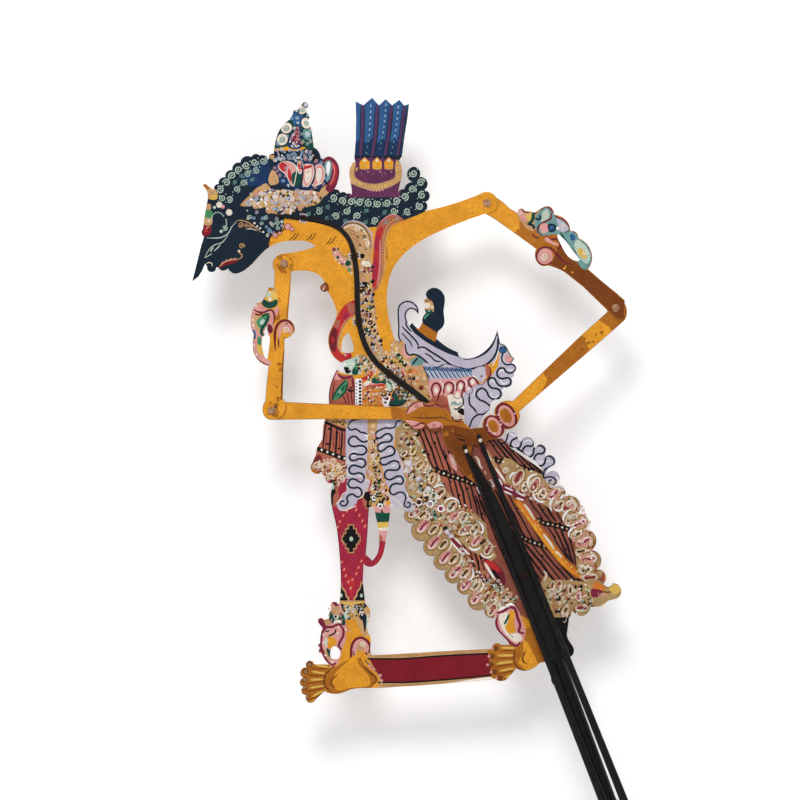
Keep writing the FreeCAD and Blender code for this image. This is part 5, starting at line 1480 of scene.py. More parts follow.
for c, r in (((177.6, 296.4), 1.3), ((181.6, 294.6), 1.0), ((179.2, 291.8), 0.6)):
    Stamps.add("dagger", "curl" if r > 1.2 else "dot", "cream", c, r, 80)
# fringe
body.patch("lilac",
    *xy("174,253 178,252.6 185,248.4 192,252 208,247.4 214,248 216,240 208,238 180,238 178,244"),
    curved=False)
for k in range(11):
    a, b = (174.6 + 3.3 * k, 250.6 - 0.16 * k), (180.4 + 3.3 * k, 240.8)
    m = ((a[0] * 0.55 + b[0] * 0.45), (a[1] * 0.55 + b[1] * 0.45) - 0.4)
    body.line("navy", 1.1, a, m, b, thin=0.2)
    body.line("blue", 1.5, (a[0] + 1.4, a[1]), (m[0] + 0.7, m[1] + 1.4), m, thin=0.3)
    body.line("pale_blue", 0.9, (a[0] + 2.0, a[1] - 2.4), (m[0] + 1.6, m[1] - 1.2), (b[0] + 0.4, b[1] + 0.6))
# looped scrolls
body.patch("pink", *xy("179,240 186,240.6 200,241 210,243 217,241 214,233 207,227 196,224 184,222 179,230"),
    curved=False)
body.patch("terracotta", *xy("182,228 190,229 196,224 196,214 186,219 180,224"), curved=False)
for pts, w in ((xy("182.6,227.6 181.2,233 183,237.2 186.4,237 188,233 186.6,229 185.8,225"), 1.5),
        (xy("190.4,229.4 190.6,235 193.4,238.2 197,236.8 197.4,232.4 194.4,229"), 1.5),
        (xy("200,232 200.4,237 203,239.4 205.8,237 204.6,232 203.8,229"), 1.4),
        (xy("197,231.4 197.6,228 200.4,226 203.4,227 204,230.6"), 1.3), (xy("206,235 205.8,232 208,229.8 "
        "211,230.2 211.8,233.4 209.4,236.6 209.2,240 212,241.6 215,239.4 216.4,236.8 219,236.4 222.4,239.6 "
        "225,243.4 225.4,247.4 222.6,251"), 1.5)):
    body.line("wine", w, *pts, thin=0.7)
    Lines.add("scrolls", "maroon", 0.55, pts)
for pts in (xy("187.2,239.4 189.8,236.4 189.6,232.6"), xy("197,239.4 199,236.6 199,233"),
        xy("205,240.8 207.2,238 206.8,234.4"), xy("211,243.2 214,242.4 216,240"),
        xy("213.6,234 213.4,230.6 212.4,227.6")):
    Lines.add("scrolls", "white", 0.8, pts)
for c in xy("184.6,232.4 194,233.6 203,235.2 209.2,232.4 200.8,229 212,238.8"):
    body.dot("cream", c, 1.5, 2.3, 5)
body.patch("lilac", *xy("214,248.6 221,250 223.4,246 221,240.6 217.6,238.4 215,243"))
body.patch("terracotta", *xy("221.4,252.6 224.6,249 225,244.6 222.6,242.4 221.6,247"))
Stamps.add("scrolls", "dot", "wine", (218.6, 242.8), 0.8)
body.patch("cream", *xy("193.6,228.6 203.6,227 205.6,220 207,208 197.6,209 195.4,217"))
body.line("teal", 1.3, *xy("195.4,221 198,223.4 201,221.4 203.6,223.6"))
body.patch("black", *xy("200.6,216.6 203.4,219 207,216.4 205.6,213.6 202.4,214.6"))
body.line("black", 1.2, *xy("197.6,219 200,218 203.6,220.6"))
body.line("wine", 1.5, *xy("196.4,213 198.4,209.6 205,210.6"))
for c, r, p in (((198.4, 221.8), 1.2, "teal"), ((203, 212.4), 1.5, "pink"), ((199.4, 213), 1.2, "cream"),
        ((188.4, 225.6), 1.5, "terracotta"), ((192, 221), 1.4, "red")):
    Stamps.add("scrolls", "curl", p, c, r, c[0] * 40)

# Ruffles: the free ends of the sash, folded to and fro. Each is one pale strip of hide whose folds are
# drawn by a single dark line that winds down it, with a white edge.
body.patch("lilac", *xy("205,230 214,236 220,238 226,243 231,250 233,268 246,258 247,246 242,234 234,225 "
    "226,216 217,213 210,204 206,208"), curved=False)
body.patch("lilac", *xy("209.5,203.5 211,208 216,214.5 222.5,216 224,212 219,203.5 214,202"))
ruffle_a = xy("209.4,204.4 212,210.8 216,214 220,214.4 224.4,217.4 225,220.4 221,223.6 217.6,225 214.8,228 "
    "215.2,231.4 218.8,233.8 222.2,231.8 224,228 227,225.8 230.6,225.8 233,228.8 232.4,232 229.6,233.6 "
    "226.4,234 224,236.4 223.6,239.4 225.6,241.6 228.4,241 230,238 232.2,235.8 235.8,235.2 239.6,236.4 "
    "240.6,239.2 238.6,241.6 234,241 231,242.6 230.2,245.6 232,248.6 235.4,248.8 237,246.2 240,245.2 "
    "243.4,246.6 244.2,249.6 241.4,251.8 237.4,251.4 234.6,253.6 233.8,257 235,260.6")
body.line("navy", 1.5, *ruffle_a, thin=0.8)
for pts, w in ((xy("209.6,230 209.6,222.4 213,218.4 215.6,214.6"), 1.4),
        (xy("204.2,228 205,223 203.4,219.6"), 1.2), (((226.6, 253), (225, 248)), 1.0),
        (((229.6, 258), (227.6, 252.4)), 0.9)):
    body.line("navy", w, *pts)
rim(body, "navy", 0.8, *xy("232.6,266.4 239,261.6 243,256 240.6,252"))
for pts in (xy("226.2,231 225.8,227.8 229,226.8 231.4,229"), xy("225,238 227,239.8 228.8,237.6"),
        xy("232.4,240 235,237 238,238.4"), xy("232,246 233.8,247.4 235.6,245.6"),
        ((217.4, 231), (217, 228.6)), xy("238.4,248.4 240.6,247 242,248.8"),
        xy("226,250 229.6,256 231.4,262"), ((235.4, 253.6), (235.2, 256.4))):
    Lines.add("ruffles", "white", 1.0, pts)
body.ringed((234.6, 262.6), ("navy", 2.9), ("blue", 2.2))
body.patch("pink", *xy("237,259 241.6,256.6 240.4,253.4 237.4,253.6 236,256.6"))
body.patch("lilac", *xy("229.6,192.4 238,191.4 247,186 249,181 258,181 262,174 270,172 278,160 277,175 "
    "268,196 258,200 246,205 238,204.6 236,199"), curved=False)
# small scrolls carved into the belt, the leaf fan and the knots
for seed, bed in enumerate((xy("124,258 140,262 150,250 146,240 134,240 127,246"),
        xy("140,258 152,264 164,252 168,238 156,232 146,240"),
        xy("130,238 146,238 152,226 140,222 130,226"), xy("150,236 166,236 170,226 156,224"))):
    carve(bed, 2.9, ("cream", "yellow", "pink", "cream", "tan"), 40 + seed, "waist",
        ("deep_green", "black", "wine", "brown")[seed])

# Rear skirt: long cloth folds in clay red with dark lines between them, chained borders across, a gold sash
# end down the middle, and the carved lace of its hem in lobes laid over one another in two rows.
PAINTS["clay"] = (ink(166, 94, 74), ink(128, 64, 52), 0.6, 0.5, 0.0)
# painted shade: the skirt's right part, in the rods' shadow, takes the same clay painted darker
PAINTS["dark_clay"] = (ink(146, 82, 66), ink(104, 50, 42), 0.6, 0.5, 0.0)
PAINTS["olive"] = (ink(176, 146, 100), ink(126, 94, 58), 0.6, 0.5, 0.1)
body.patch("clay",
    *xy("160,213 196,208 214,196 216,150 222,120 244,88 232,62 218,64 160,138 156,160 156,200"),
    curved=False)
body.patch("dark_clay", *xy("212,204 224,199 234,196 244,188 254,180 266,170.6 284,156 300,140 312,100 "
    "306,60 262,56 236,70 218,112 208,160"), curved=False)


def folds(paint, width, top, low, n, step=0.0):
    """Dark fold lines from one edge to another, spread evenly, each a little uneven along its way."""
    for i in range(n):
        t = (i + 0.5) / n
        a, b = ((e[0][0] + (e[1][0] - e[0][0]) * t, e[0][1] + (e[1][1] - e[0][1]) * t) for e in (top, low))
        way = [(a[0] + (b[0] - a[0]) * s + 0.35 * sin(9 * s + 5 * i), a[1] + (b[1] - a[1]) * s)
               for s in (0, 0.25, 0.5, 0.75, 1)]
        body.line(paint, width * (0.8 + 0.4 * ((i * 7) % 3) / 2), *way, thin=0.85)
        k = (0.3, 0.62, 0.45)[i % 3]
        if step:
            body.dot(paint, (a[0] + (b[0] - a[0]) * k + 0.6, a[1] + (b[1] - a[1]) * k), step, step * 1.3, -18)


def chain(*points):
    """A black border with pale beads."""
    body.line("black", 4.0, *points, thin=0.9)
    for i, (c, a) in enumerate(along(points, 3.7)):
        body.dot("black", (c[0] + 1.8, c[1] + (1.5 if i % 2 else -1.9)), 1.3)
        Stamps.add("rear_skirt", "dot", "tan" if i % 3 else "cream", c, 0.85)


for top, low, n in ((((164, 206), (186, 201)), ((177, 173), (198, 168)), 5),
        (((190, 172), (212, 164)), ((198, 146), (218, 138)), 5),
        (((188, 188), (196, 186)), ((194, 172), (200, 170)), 2),
        (((203, 118), (222, 112)), ((210, 92), (228, 88)), 5),
        (((214, 164), (214, 150)), ((222, 140), (221, 128)), 2)):
    folds("black", 1.3, top, low, n, 0.9)
for top, low, n in ((((220, 198), (246, 190)), ((236, 176), (272, 164)), 6),
        (((248, 156), (274, 152)), ((262, 136), (287, 132)), 5),
        (((266, 130), (286, 126)), ((282, 106), (291, 100)), 4),
        (((222, 160), (246, 152)), ((240, 118), (266, 118)), 5),
        (((240, 118), (268, 116)), ((262, 88), (294, 86)), 6),
        (((216, 150), (232, 150)), ((240, 90), (262, 88)), 4)):
    folds("black", 1.5, top, low, n, 0.9)
chain(*xy("180,174 189,170.4 198,167.4 206,164.6 214,161.6"))
chain(*xy("217,88 224,87 234,84"))
chain(*xy("224,181 233,179 241,177 252,173 264,168.6"))
chain(*xy("258,136 266,132.6 274,131 285,127.6"))
chain(*xy("238,126 248,122.4 256,118.6 266,115.6"))
chain(*xy("286,90 294,87.4 301,85"))
# gold sash end and the ribbon above it
body.line("bronze", 6.4, *xy("244,151 255,137 263,126 272,113.6 281,103 291,95 303,89"), thin=0.7)
body.line("orange", 4.4, *xy("245,149.6 256,135 264,124 273,112 282,101.6 291,94.4 302,88.4"), thin=0.7)
body.line("gold", 1.8, *xy("246,147 256,133.6 263,123.4 272,111.6 282,100.4 290,94"))
for a, b in (((250.6, 147), (257.6, 136.4)), ((265, 124.4), (273, 113)), ((274, 111.6), (279, 106.6))):
    body.line("tan", 3.0, a, b, thin=0.6, curved=False)
    Lines.add("rear_skirt", "cream", 1.9, (a, ((a[0] + b[0]) / 2 + 0.4, (a[1] + b[1]) / 2 + 0.2), b))
for c in xy("261,130.6 262.6,127.6 276.6,109 282,103.4 286,100 290,96.4 249,142 254,136 258.6,131"):
    Stamps.add("rear_skirt", "dot", "yellow", c, 0.95)
body.line("maroon", 4.6, *xy("219,189 226,177 231.6,163 240,157.6 252,151"), thin=0.9)
body.line("tan", 2.6, *xy("222,187.6 228,177 233.4,168 237,162.4"), thin=0.9)
for a, b, w in (((221, 187.4), (226, 179), 1.7), ((229, 174), (236, 164.4), 1.7),
        ((231.6, 166), (234.4, 161), 1.2), ((236, 159.8), (242.4, 157), 1.3),
        ((235.4, 156.6), (241.6, 153.8), 1.5), ((245.6, 155.6), (251, 152.8), 1.3),
        ((244.6, 151.6), (250.4, 149.8), 1.5)):
    Lines.add("rear_skirt", "white", w, (a, ((a[0] + b[0]) / 2, (a[1] + b[1]) / 2), b))
Stamps.add("rear_skirt", "curl", "cream", (236.6, 172), 2.6, 200)
Stamps.add("rear_skirt", "curl", "maroon", (236.4, 169), 1.5, 20)
# pale blot and openings seen beside the rods, painted as cream marks; the short row from 236,110 down to 248,83 is
# a painted reflection of a rod, laid on the skirt
body.patch("pink", *xy("194,184 196.6,184 200,177.4 200,172 197,174 195,179"))
for pts, w in ((xy("196,182 197.6,179 199,175.6"), 1.3),
        (xy("213.6,183 216,180.4 217.4,176 219.4,173.4"), 1.9), (((221, 172), (222, 169)), 1.5),
        (((225, 163), (227.6, 159)), 1.3), (((236, 110), (235.6, 107.6)), 0.9),
        (((238.6, 106), (238.8, 102.6)), 0.9), (((241.4, 99), (242.6, 95.6)), 1.0),
        (((244.4, 91.6), (244.8, 90)), 1.3), (((246, 87), (248, 83)), 1.0),
        (xy("245.4,109.6 246.6,106.6 247.4,103.6"), 1.6), (((248.6, 100), (251.4, 101.6)), 1.3),
        (((252.6, 92), (252.4, 90)), 1.6), (((255, 95.4), (256, 93)), 1.0), (((255, 85), (258.8, 87)), 1.3),
        (((256.6, 83), (257, 81.6)), 1.1), (xy("262,78 263.6,73.6 265.6,70"), 1.6),
        (((265, 69), (264, 66)), 1.3), (((267, 65), (269.4, 62.4)), 1.1),
        (xy("265,97 267.4,94 265.6,89.6"), 1.3), (((224, 115), (230, 115.4)), 1.0)):
    Lines.add("rear_skirt", "cream", w, pts)
# crimson leaf by the lower folds
body.patch("wine", *xy("220,104 224,106 230,102 236,94 236,86 230,88 226,94"))
body.patch("red", *xy("221,103 225,105 231,100 233,96 228,97.6"))
body.line("cream", 2.0, *xy("221,103 224,98 226.4,94 229,90"), thin=0.5)
body.line("black", 2.4, *xy("227,98 229,94 232.6,91.6"))

# carved ground under the lace
body.patch("olive", *xy("154,213 170,208 172,196 180,176 186,170 191,158 200,150 204,142 214,140 222,132 "
    "224,118 230,108 226,104 219,108 210,112 202,120 206,108 212,96 216,90 224,86 230,80 236,84 244,78 "
    "244,68 236,58 220,58 196,84 176,110 160,136 158,142 166,142 168,147 163,150 160,160 158,178 154,190"),
    curved=False)
body.patch("olive", *xy("236,182 242,180 252,172 258,172 266,168 276,168 300,142 304,124 314,104 308,92 "
    "300,88 294,90 290,100 288,124 278,140 262,148 254,156 244,158 238,164 232,176"), curved=False)
body.patch("olive", *xy("266,94 272,90 286,90 300,88 312,86 308,66 290,60 276,58 266,70 260,80"),
    curved=False)
carve(xy("154,210 168,206 171,196 180,176 188,168 192,152 180,134 168,136 164,152 158,178"), 3.6,
    ("cream", "tan", "pink", "cream", "brown", "curl_green"), 11, "rear_skirt")
carve(xy("230,86 240,84 244,72 236,68 229,72"), 2.8, ("cream", "curl_green", "tan"), 12, "rear_skirt")
carve(xy("268,92 286,88 302,84 300,66 288,62 270,68 264,80"), 3.4,
    ("cream", "tan", "curl_green", "terracotta", "cream"), 13, "rear_skirt")
carve(xy("216,122 224,124 226,112 222,108"), 2.8, ("cream", "tan", "maroon"), 14, "rear_skirt")
# scrolls and pale nicks in the ground between the lobes
carve(xy("160,140 176,140 192,124 206,122 196,96 224,66 246,76 234,88 216,98 204,118 222,122 212,142 "
    "190,160"), 3.4, ("cream", "tan", "pink", "cream", "curl_green"), 31, "rear_skirt", "brown")
carve(xy("232,176 252,172 276,164 300,138 306,96 292,92 288,118 278,140 258,150 240,158"), 3.4,
    ("cream", "tan", "pink", "cream"), 32, "rear_skirt", "brown")


def lobe(c, r, look, a=45.0):
    """One lobe of the lace: a dark edge, an olive rim, a coloured bed, a notched streak and a pale line beside it.
    Outer lobes are long and point outwards, inner ones are shorter."""
    bed, streak, pale = {"out": ("pink", "maroon", "white"), "in": ("tan", "black", "cream"),
        "red": ("clay", "wine", "cream"), "gold": ("yellow", "black", "cream"),
        "pale": ("tan", "black", "white")}[look]
    long, wide, on = (1.22, 0.78, 0.26) if look in ("out", "red") else (1.08, 0.74, -0.06)
    x, y = cos(radians(a)), sin(radians(a))
    at = lambda s, t: (c[0] + r * (s * x - t * y), c[1] + r * (s * y + t * x))
    for coat, cut, k in (("umber", 0.0, 22), ("olive", 0.07, 22),
            ("cream" if bed != "pink" else "pink", 0.25, 20), ("brown", 0.35, 18), (bed, 0.4, 16)):
        body.add(coat, disc(at(on, 0), r * (long - cut), r * (wide - cut), a, k))
    s0, s1 = on - long + 0.52, on + long - 0.44
    body.line(streak, r * 0.24, at(s0, -0.1), at((s0 + s1) / 2, 0.04), at(s1, -0.04), thin=0.7)
    for k in range(4):
        s = s0 + (s1 - s0) * (k + 0.3) / 4
        body.line(streak, r * 0.15, at(s, -0.04), at(s + 0.1, 0.26), thin=0.6)
    Lines.add("rear_skirt", pale, r * 0.13, [at(s0 + 0.1, 0.3), at(s0 - 0.14, 0.08), at(s0 - 0.1, -0.2),
        at(s0 + 0.3, -0.32), at((s0 + s1) / 2 + 0.2, -0.3)])


# inner rows first, the outer rows over them
for c, r, look, a in (((172.5, 176.6), 5.2, "gold", 45), ((181.6, 166.4), 5.0, "gold", 70),
        ((187.6, 155), 6.0, "pale", 45), ((196.4, 145.4), 5.8, "pale", 50), ((205.6, 137), 5.4, "in", 55),
        ((197, 136), 5.2, "out", 45), ((205, 126.6), 5.6, "red", 35), ((213.6, 128), 5.6, "in", 50),
        ((213.8, 118.4), 5.0, "out", 50), ((223, 112), 4.8, "red", 60), ((174.6, 139), 4.8, "in", 40),
        ((182.6, 128), 5.2, "in", 45), ((190, 117), 5.4, "in", 45), ((197.6, 106), 5.6, "in", 48),
        ((206.4, 95.4), 5.6, "in", 45), ((214.6, 85.6), 4.8, "in", 48), ((222.6, 76.6), 5.2, "in", 60),
        ((227.6, 77.4), 4.2, "red", 60), ((163.4, 206), 4.2, "gold", 0), ((167.6, 187.4), 4.6, "gold", 60),
        ((160.6, 185), 3.6, "pale", 40), ((174, 129.4), 6.2, "out", 48), ((182, 117), 6.2, "out", 48),
        ((190.4, 106), 6.2, "out", 48), ((198, 95), 6.2, "out", 46), ((206, 85.4), 5.6, "out", 46),
        ((214, 75.6), 6.0, "out", 50), ((226, 66.6), 5.4, "red", 60), ((167, 139.6), 5.0, "red", 30),
        ((251, 160), 4.6, "in", 250), ((264, 154.6), 5.4, "in", 240), ((276.6, 146), 5.6, "in", 215),
        ((286, 136), 5.8, "in", 210), ((289.6, 124), 5.2, "in", 205), ((293, 111.6), 5.0, "in", 190),
        ((296, 97.6), 6.0, "in", 185), ((245.4, 165.4), 6.6, "red", 62), ((259.4, 163), 6.2, "red", 240),
        ((274.4, 155.6), 6.2, "out", 220), ((285, 146.6), 6.2, "red", 215), ((293.6, 133), 5.8, "out", 205),
        ((297, 119.4), 6.4, "out", 205), ((300.6, 106), 6.6, "out", 182), ((301.6, 92), 5.6, "red", 185),
        ((276.4, 84), 4.6, "red", 80), ((285.4, 83), 4.4, "pale", 90), ((291.6, 77), 4.2, "out", 90),
        ((292.4, 69), 5.0, "red", 0), ((281.6, 66.6), 5.0, "in", 70), ((281, 60.4), 3.6, "red", 80),
        ((272, 86), 4.0, "pale", 80), ((296.6, 79), 2.6, "pale", 90)):
    lobe(c, r, look, a)
# bright moons between the lobes
for c, r, a0, a1, w in (((187.6, 155), 6.2, 60, 175, 1.6), ((196.4, 145.4), 6.0, 20, 160, 1.6),
        ((205.6, 137), 4.6, 90, 190, 1.3), ((213.6, 128), 6.2, -40, 60, 1.8),
        ((213.6, 118), 5.4, 215, 320, 1.9), ((223, 112), 5.2, 200, 330, 1.5),
        ((174.6, 139), 5.2, -60, 20, 1.2), ((182.6, 128), 5.8, -60, 20, 1.3),
        ((190, 117), 6.0, -60, 20, 1.3), ((197.6, 106), 6.2, -70, 20, 1.4),
        ((206.4, 95.4), 6.2, -70, 30, 1.5), ((214.6, 85.6), 5.2, -60, 40, 1.3),
        ((226, 76.6), 4.6, -60, 30, 1.2), ((245.4, 165.4), 5.6, 100, 180, 1.7),
        ((259.4, 163), 6.2, 80, 220, 1.7), ((264, 155), 6.4, 170, 290, 1.8),
        ((264.6, 154.4), 2.6, -60, 30, 1.3), ((275, 155), 4.6, -60, -10, 1.5),
        ((276.6, 146), 6.6, 120, 220, 1.7), ((276.6, 145.6), 3.6, 220, 340, 1.5),
        ((285, 146.6), 4.6, -70, 20, 1.3), ((286, 136), 6.0, 110, 200, 1.8),
        ((285, 135), 4.2, 200, 330, 1.7), ((289.6, 124), 5.6, 90, 200, 1.6),
        ((172.5, 176.6), 5.6, -60, 10, 1.2), ((181.6, 166.4), 5.4, -40, 30, 1.2),
        ((296.4, 77.4), 1.0, 0, 300, 1.4)):
    Lines.add("rear_skirt", "white" if w > 1.4 else "cream", w, [(c[0]
        + r * cos(radians(a0 + (a1 - a0) * k / 5)), c[1] + r * sin(radians(a0 + (a1 - a0) * k / 5))) for k
        in range(6)])
body.ringed((171.6, 148.4), ("cream", 3.0), ("black", 1.8))
body.ringed((183, 153), ("curl_green", 2.8), ("black", 1.7))
body.ringed((180, 147), ("white", 2.8), ("navy", 1.6), ("cream", 0.8))
body.ringed((177, 155), ("cream", 2.2), ("brown", 1.2))
body.ringed((188.2, 143.6), ("white", 2.8), ("maroon", 1.8))
for paint, way in (("black", "169.4,162.4 173,161.4 176,159.6 173.6,157 171.6,156 171.4,159"),
        ("deep_green", "181.6,144 183.6,140 190,139.8 186,137 183.4,134.4 182.4,138"),
        ("black", "163,170.4 168,172.4 167.6,170 164,169.6")):
    body.patch(paint, *xy(way))
body.dot("black", (191.4, 128.6), 1.6, 2.2, -40)
for c, r in (((164, 177.6), 3.0), ((163.6, 172.6), 2.6), ((171.6, 166), 2.6), ((178.6, 158.4), 2.2),
        ((192.6, 126), 2.0), ((196, 123), 2.2)):
    body.dot("lilac", c, r)
    Stamps.add("rear_skirt", "curl", "white", c, r * 0.6, c[0] * 50)
Stamps.add("rear_skirt", "curl", "cream", (165.4, 166.4), 2.0, 100)
body.line("maroon", 2.6, *xy("195.4,122 202,115 209.6,108"), thin=0.6)
for pts in (xy("195,119.4 199.6,114.4 204.6,109"), xy("198.4,121.6 201.4,118.6 203.4,116.4"),
        xy("204.6,114 207,111.4 209.4,108.6")):
    Lines.add("rear_skirt", "white", 1.3, pts)
for c in xy("218.6,117.6 220.6,119.6 209,123"):
    body.dot("black", c, 1.3)
# tip that curls out at the rear
for paint, way in (("olive", "298,90 306,90 314,86 318,90 324,89 325,80 318,74 306,73 300,78"),
        ("orange", "304,88.6 309,86.6 312,83 306,82 302,85"),
        ("yellow", "314,84 318,88 321.6,87 322.6,81.6 318,79.6"),
        ("maroon", "301,83 305,83.4 309.6,81.4 308,78.6 304,77 301,78")):
    body.patch(paint, *xy(way))
for i in range(5):
    body.line("pink", 0.8, (306 + 1.5 * i, 80.4 - 0.1 * i), (307 + 1.6 * i, 77.6 + 0.1 * i), thin=0.7)
body.line("brown", 1.2, *xy("309,81.6 312.6,80.8 316,81.2"))
for a, b in (((163, 142), (198, 90)), ((198, 90), (228, 62)), ((276, 160), (298, 132)),
        ((298, 132), (308, 98)), ((310, 92), (322, 86))):
    rim(body, "brown", 0.45, a, b)
# painted shadow: a black field right of the rods, with a brown strip in it, stands for the shade there
body.patch("black", *xy("256,62 292,62 292,10 272,10 264,40"), curved=False)
body.line("brown", 3.4, *xy("270,56 276,46 281,35"), thin=0.5)
ruffle_b = xy("230.4,193.8 234,192.6 237,194 238,197.6 238.6,201 241.6,203.4 245,202.4 246.4,199 "
    "244.8,196.4 241.8,195 240.4,191.4 242,188 245,187.4 247.6,190 248.6,193.6 250,196.4 253.6,197.4 "
    "257,195.8 258,192.6 256,190.4 252.6,190.6 250,188.6 249.4,185 251.6,182.6 255,182.4 257.4,184.6 "
    "257.8,188 260,190.6 263.6,190.6 266,188 264.6,185 260.8,184.6 258.4,182 258.6,178 261.4,175.6 "
    "265,176.4 266.4,179.6 267,182.6 270,182.8 273,180 272.6,176.4 269,174.4 266,172.6 265.2,169 "
    "265.6,166.6 269,167.4 272.4,166.8 274.6,164 273,161.4 270,162.2 269.4,164.6 271.6,165")
body.patch("lilac", *xy("264.5,173.5 272,174.5 278,171.5 278,161 270,160 266,166.5"))
body.line("navy", 1.5, *ruffle_b, thin=0.8)
for pts in (xy("240.4,200.6 242.4,198 244.6,199.4"), xy("242.4,191.6 244.6,190 246,192"),
        xy("251,193.4 254,195 256,193"), xy("251.4,186.6 254,184.6 256,186.6"),
        ((260, 187.4), (263, 188.8)), xy("260.4,179.6 263,178 264.8,180"), ((268, 179), (271, 178.6)),
        xy("274.8,161 276.4,164.4 274.6,167.6"), ((236, 199.6), (234.6, 195.8))):
    Lines.add("ruffles", "white", 0.9, pts)


def snake(line, white, edge):
    """One folded strip at the front: dark winding line, pale folds, white edge."""
    body.line("navy", 1.5, *line, thin=0.8)
    for pts in edge:
        Lines.add("ruffles", "cream", 1.1, pts)
    for pts in white:
        body.line("white", 1.5, *pts, thin=0.4)


# Front skirt: striped cloth with a black chain border, two hanging ruffles and a middle strip of leaf work,
# its hem cut to small scrolls.
body.patch("terracotta", *xy("99,213 122,213 122,176 92,176 92,190"), curved=False)
for a, m, b, w in (((102.4, 209), (100.8, 200), (99.6, 189), 1.2),
        ((106, 206.6), (105.4, 197), (104.4, 186.6), 1.6), ((110.4, 204), (109.8, 195), (109.2, 185), 1.5),
        ((114.2, 202.4), (113.8, 193), (113, 183.6), 1.3), ((117.6, 202), (117.6, 193), (117.2, 182), 1.5)):
    body.line("black", w, a, m, b, thin=0.7)
for u, v in xy("103.2,192 111.6,188.6 110.2,200.4 104.4,203.4"):
    body.dot("black", (u, v), 1.2, 0.9)
for u in (101.8, 107.6, 112, 115.8):
    body.line("wine", 0.6, (u + 0.6, 203), (u + 0.2, 195), (u - 0.4, 187))
body.patch("tan", *xy("102,212 120,212 119,204 114,205 109,206.6 104,208.4"), curved=False)
body.line("black", 2.0, *xy("100.6,208.6 105,206.8 110,204.4 114,202.8 119,202"), thin=0.8)
for u, v in xy("107.6,209.8 112.6,208.6 116.4,207.6"):
    body.dot("black", (u, v), 0.8, 1.0)
    Stamps.add("front_skirt", "curl", "yellow", (u + 2, v), 1.2, u * 30)
body.line("black", 3.6, *xy("95,188.6 101,186.6 107,184.4 113,182 119,180.4"), thin=0.9)
for c in xy("98.8,187.6 103,186 107.4,184.4 111.8,182.4 116,181.2"):
    Stamps.add("front_skirt", "dot", "cream", c, 0.95)
body.patch("terracotta", *xy("93,185 99,184 106,181.6 116,178.6 118,163 108,160 92,170"), curved=False)
body.patch("wine", *xy("91,176 93,181 97,184 99,180 96,175 92.6,173"))
for c, r, ring, inner, core in (((96, 174.6), 4.8, "bronze", "terracotta", "tan"),
        ((103, 174.6), 4.7, "tan", "tan", "black"), ((110.8, 172.6), 4.4, "tan", "yellow", "brown"),
        ((106, 168), 3.6, "bronze", "tan", "wine"), ((113.8, 164.6), 4.2, "tan", "terracotta", "wine"),
        ((107.6, 179), 2.6, "pink", "tan", "terracotta")):
    body.ringed(c, (ring, r), (inner, r * 0.72), (core, r * 0.34))
    Lines.add("front_skirt", "cream", 0.8,
        [(c[0] + r * 0.78 * cos(a), c[1] + r * 0.78 * sin(a)) for a in (0.6, 1.4, 2.2, 3.0, 3.6)])
    Stamps.add("front_skirt", "curl", "cream" if core != "black" else "pink", (c[0] + 0.4, c[1] + 0.2),
        r * 0.42, 40 * r)
rim(body, "bronze", 0.7, *xy("93,180 92,174 98,170.4"))
body.line("wine", 1.4, *xy("92.6,181 93.6,177 97,172.4"))
body.patch("lilac",
    *xy("117,212 134.6,212 134.6,160 131,150 122,143 112,141.6 109,148 114.6,156 116.6,165 116.8,185"),
    curved=False)
snake(xy("127,210.6 121.6,209.6 118.6,205.6 120.4,202.6 124.6,203.2 128,200.8 131,200.4 133.6,197.4 "
    "132.6,194.2 129.4,193.6 126.6,195.4 124,197.6 120.6,197 118.8,193.6 120.6,190.6 124,190.2 127.4,190.8 "
    "131,190 132.4,187 130.4,184.4 127,184 122.4,184.8 119.8,182.6 120.8,179.9 124,179.8 127.2,181 "
    "130.8,180 131.6,176.6 129,174.4 126,175.4 122,176 119.4,173.2 120.2,170.2 123.6,169.6 126.5,170.4 "
    "129.8,169 130.6,165.6 128.6,163.2 126,164.2 123,165.8 120.2,165.2 118.6,162.2 120,159.6 123,159 "
    "126,159.4 128.4,157.4 128.8,154.4 127,152.2 124.4,152.8 122,154.4 119.2,153.6 117.6,151.2 118.4,148.4 "
    "116.4,145.8 113.6,146 112.8,148 114.4,149.4 115.8,148.4"), (xy("131,199 133.4,197.4 132.6,195"),
    ((121.6, 186.6), (125, 186.8)), ((127, 179), (129.4, 178.6)), ((120.6, 183), (124.4, 183.4)),
    ((126, 168.4), (128.6, 167.4))), (xy("118,181 117.8,178.6 120,177.4 124,177.8"),
    xy("118,173 118.6,169.4 121.4,167.6"), ((117.2, 161), (118.6, 157.4)),
    xy("109.4,146.8 112.6,150.4 115,154.6 118.4,156.4"), xy("112.4,143.4 116.4,142.2 120,144 124.6,145.8"),
    xy("126,150.6 129.4,153 131,157"), ((131.6, 163), (132.4, 167)), ((132.6, 172), (133, 176))))
body.patch("tan", *xy("133,213 140.6,213 141.4,200 142,188 143,176 146,165 148,156 150,150 134,145 "
    "130.4,154 132,170 133.4,190"), curved=False)
for c, p, r in (((137.2, 206), "yellow", 2.0), ((136.6, 199.6), "orange", 1.8), ((137, 193.6), "tan", 1.8),
        ((137.4, 187.4), "black", 1.5), ((137.6, 182.8), "pink", 2.9), ((138.2, 178.4), "yellow", 3.0),
        ((134.6, 171), "terracotta", 2.6), ((142.4, 168.6), "pink", 2.4), ((134, 164), "red", 2.4),
        ((145.6, 162), "terracotta", 2.0), ((136, 158.6), "curl_green", 2.2), ((144.6, 157), "pink", 2.2),
        ((132.4, 157.6), "yellow", 1.8)):
    body.dot(p, c, r)
    if r > 1.7:
        Stamps.add("front_skirt", "curl", "cream", c, r * 0.72, c[1] * 37)
body.line("black", 1.0, *xy("138.6,175 139.2,170 139.6,166"))
body.patch("deep_green",
    *xy("140.6,166.4 138,163.6 136,164.4 138.2,161.4 140.8,156.4 143.6,161.6 145,164.4 142.6,163.6"))
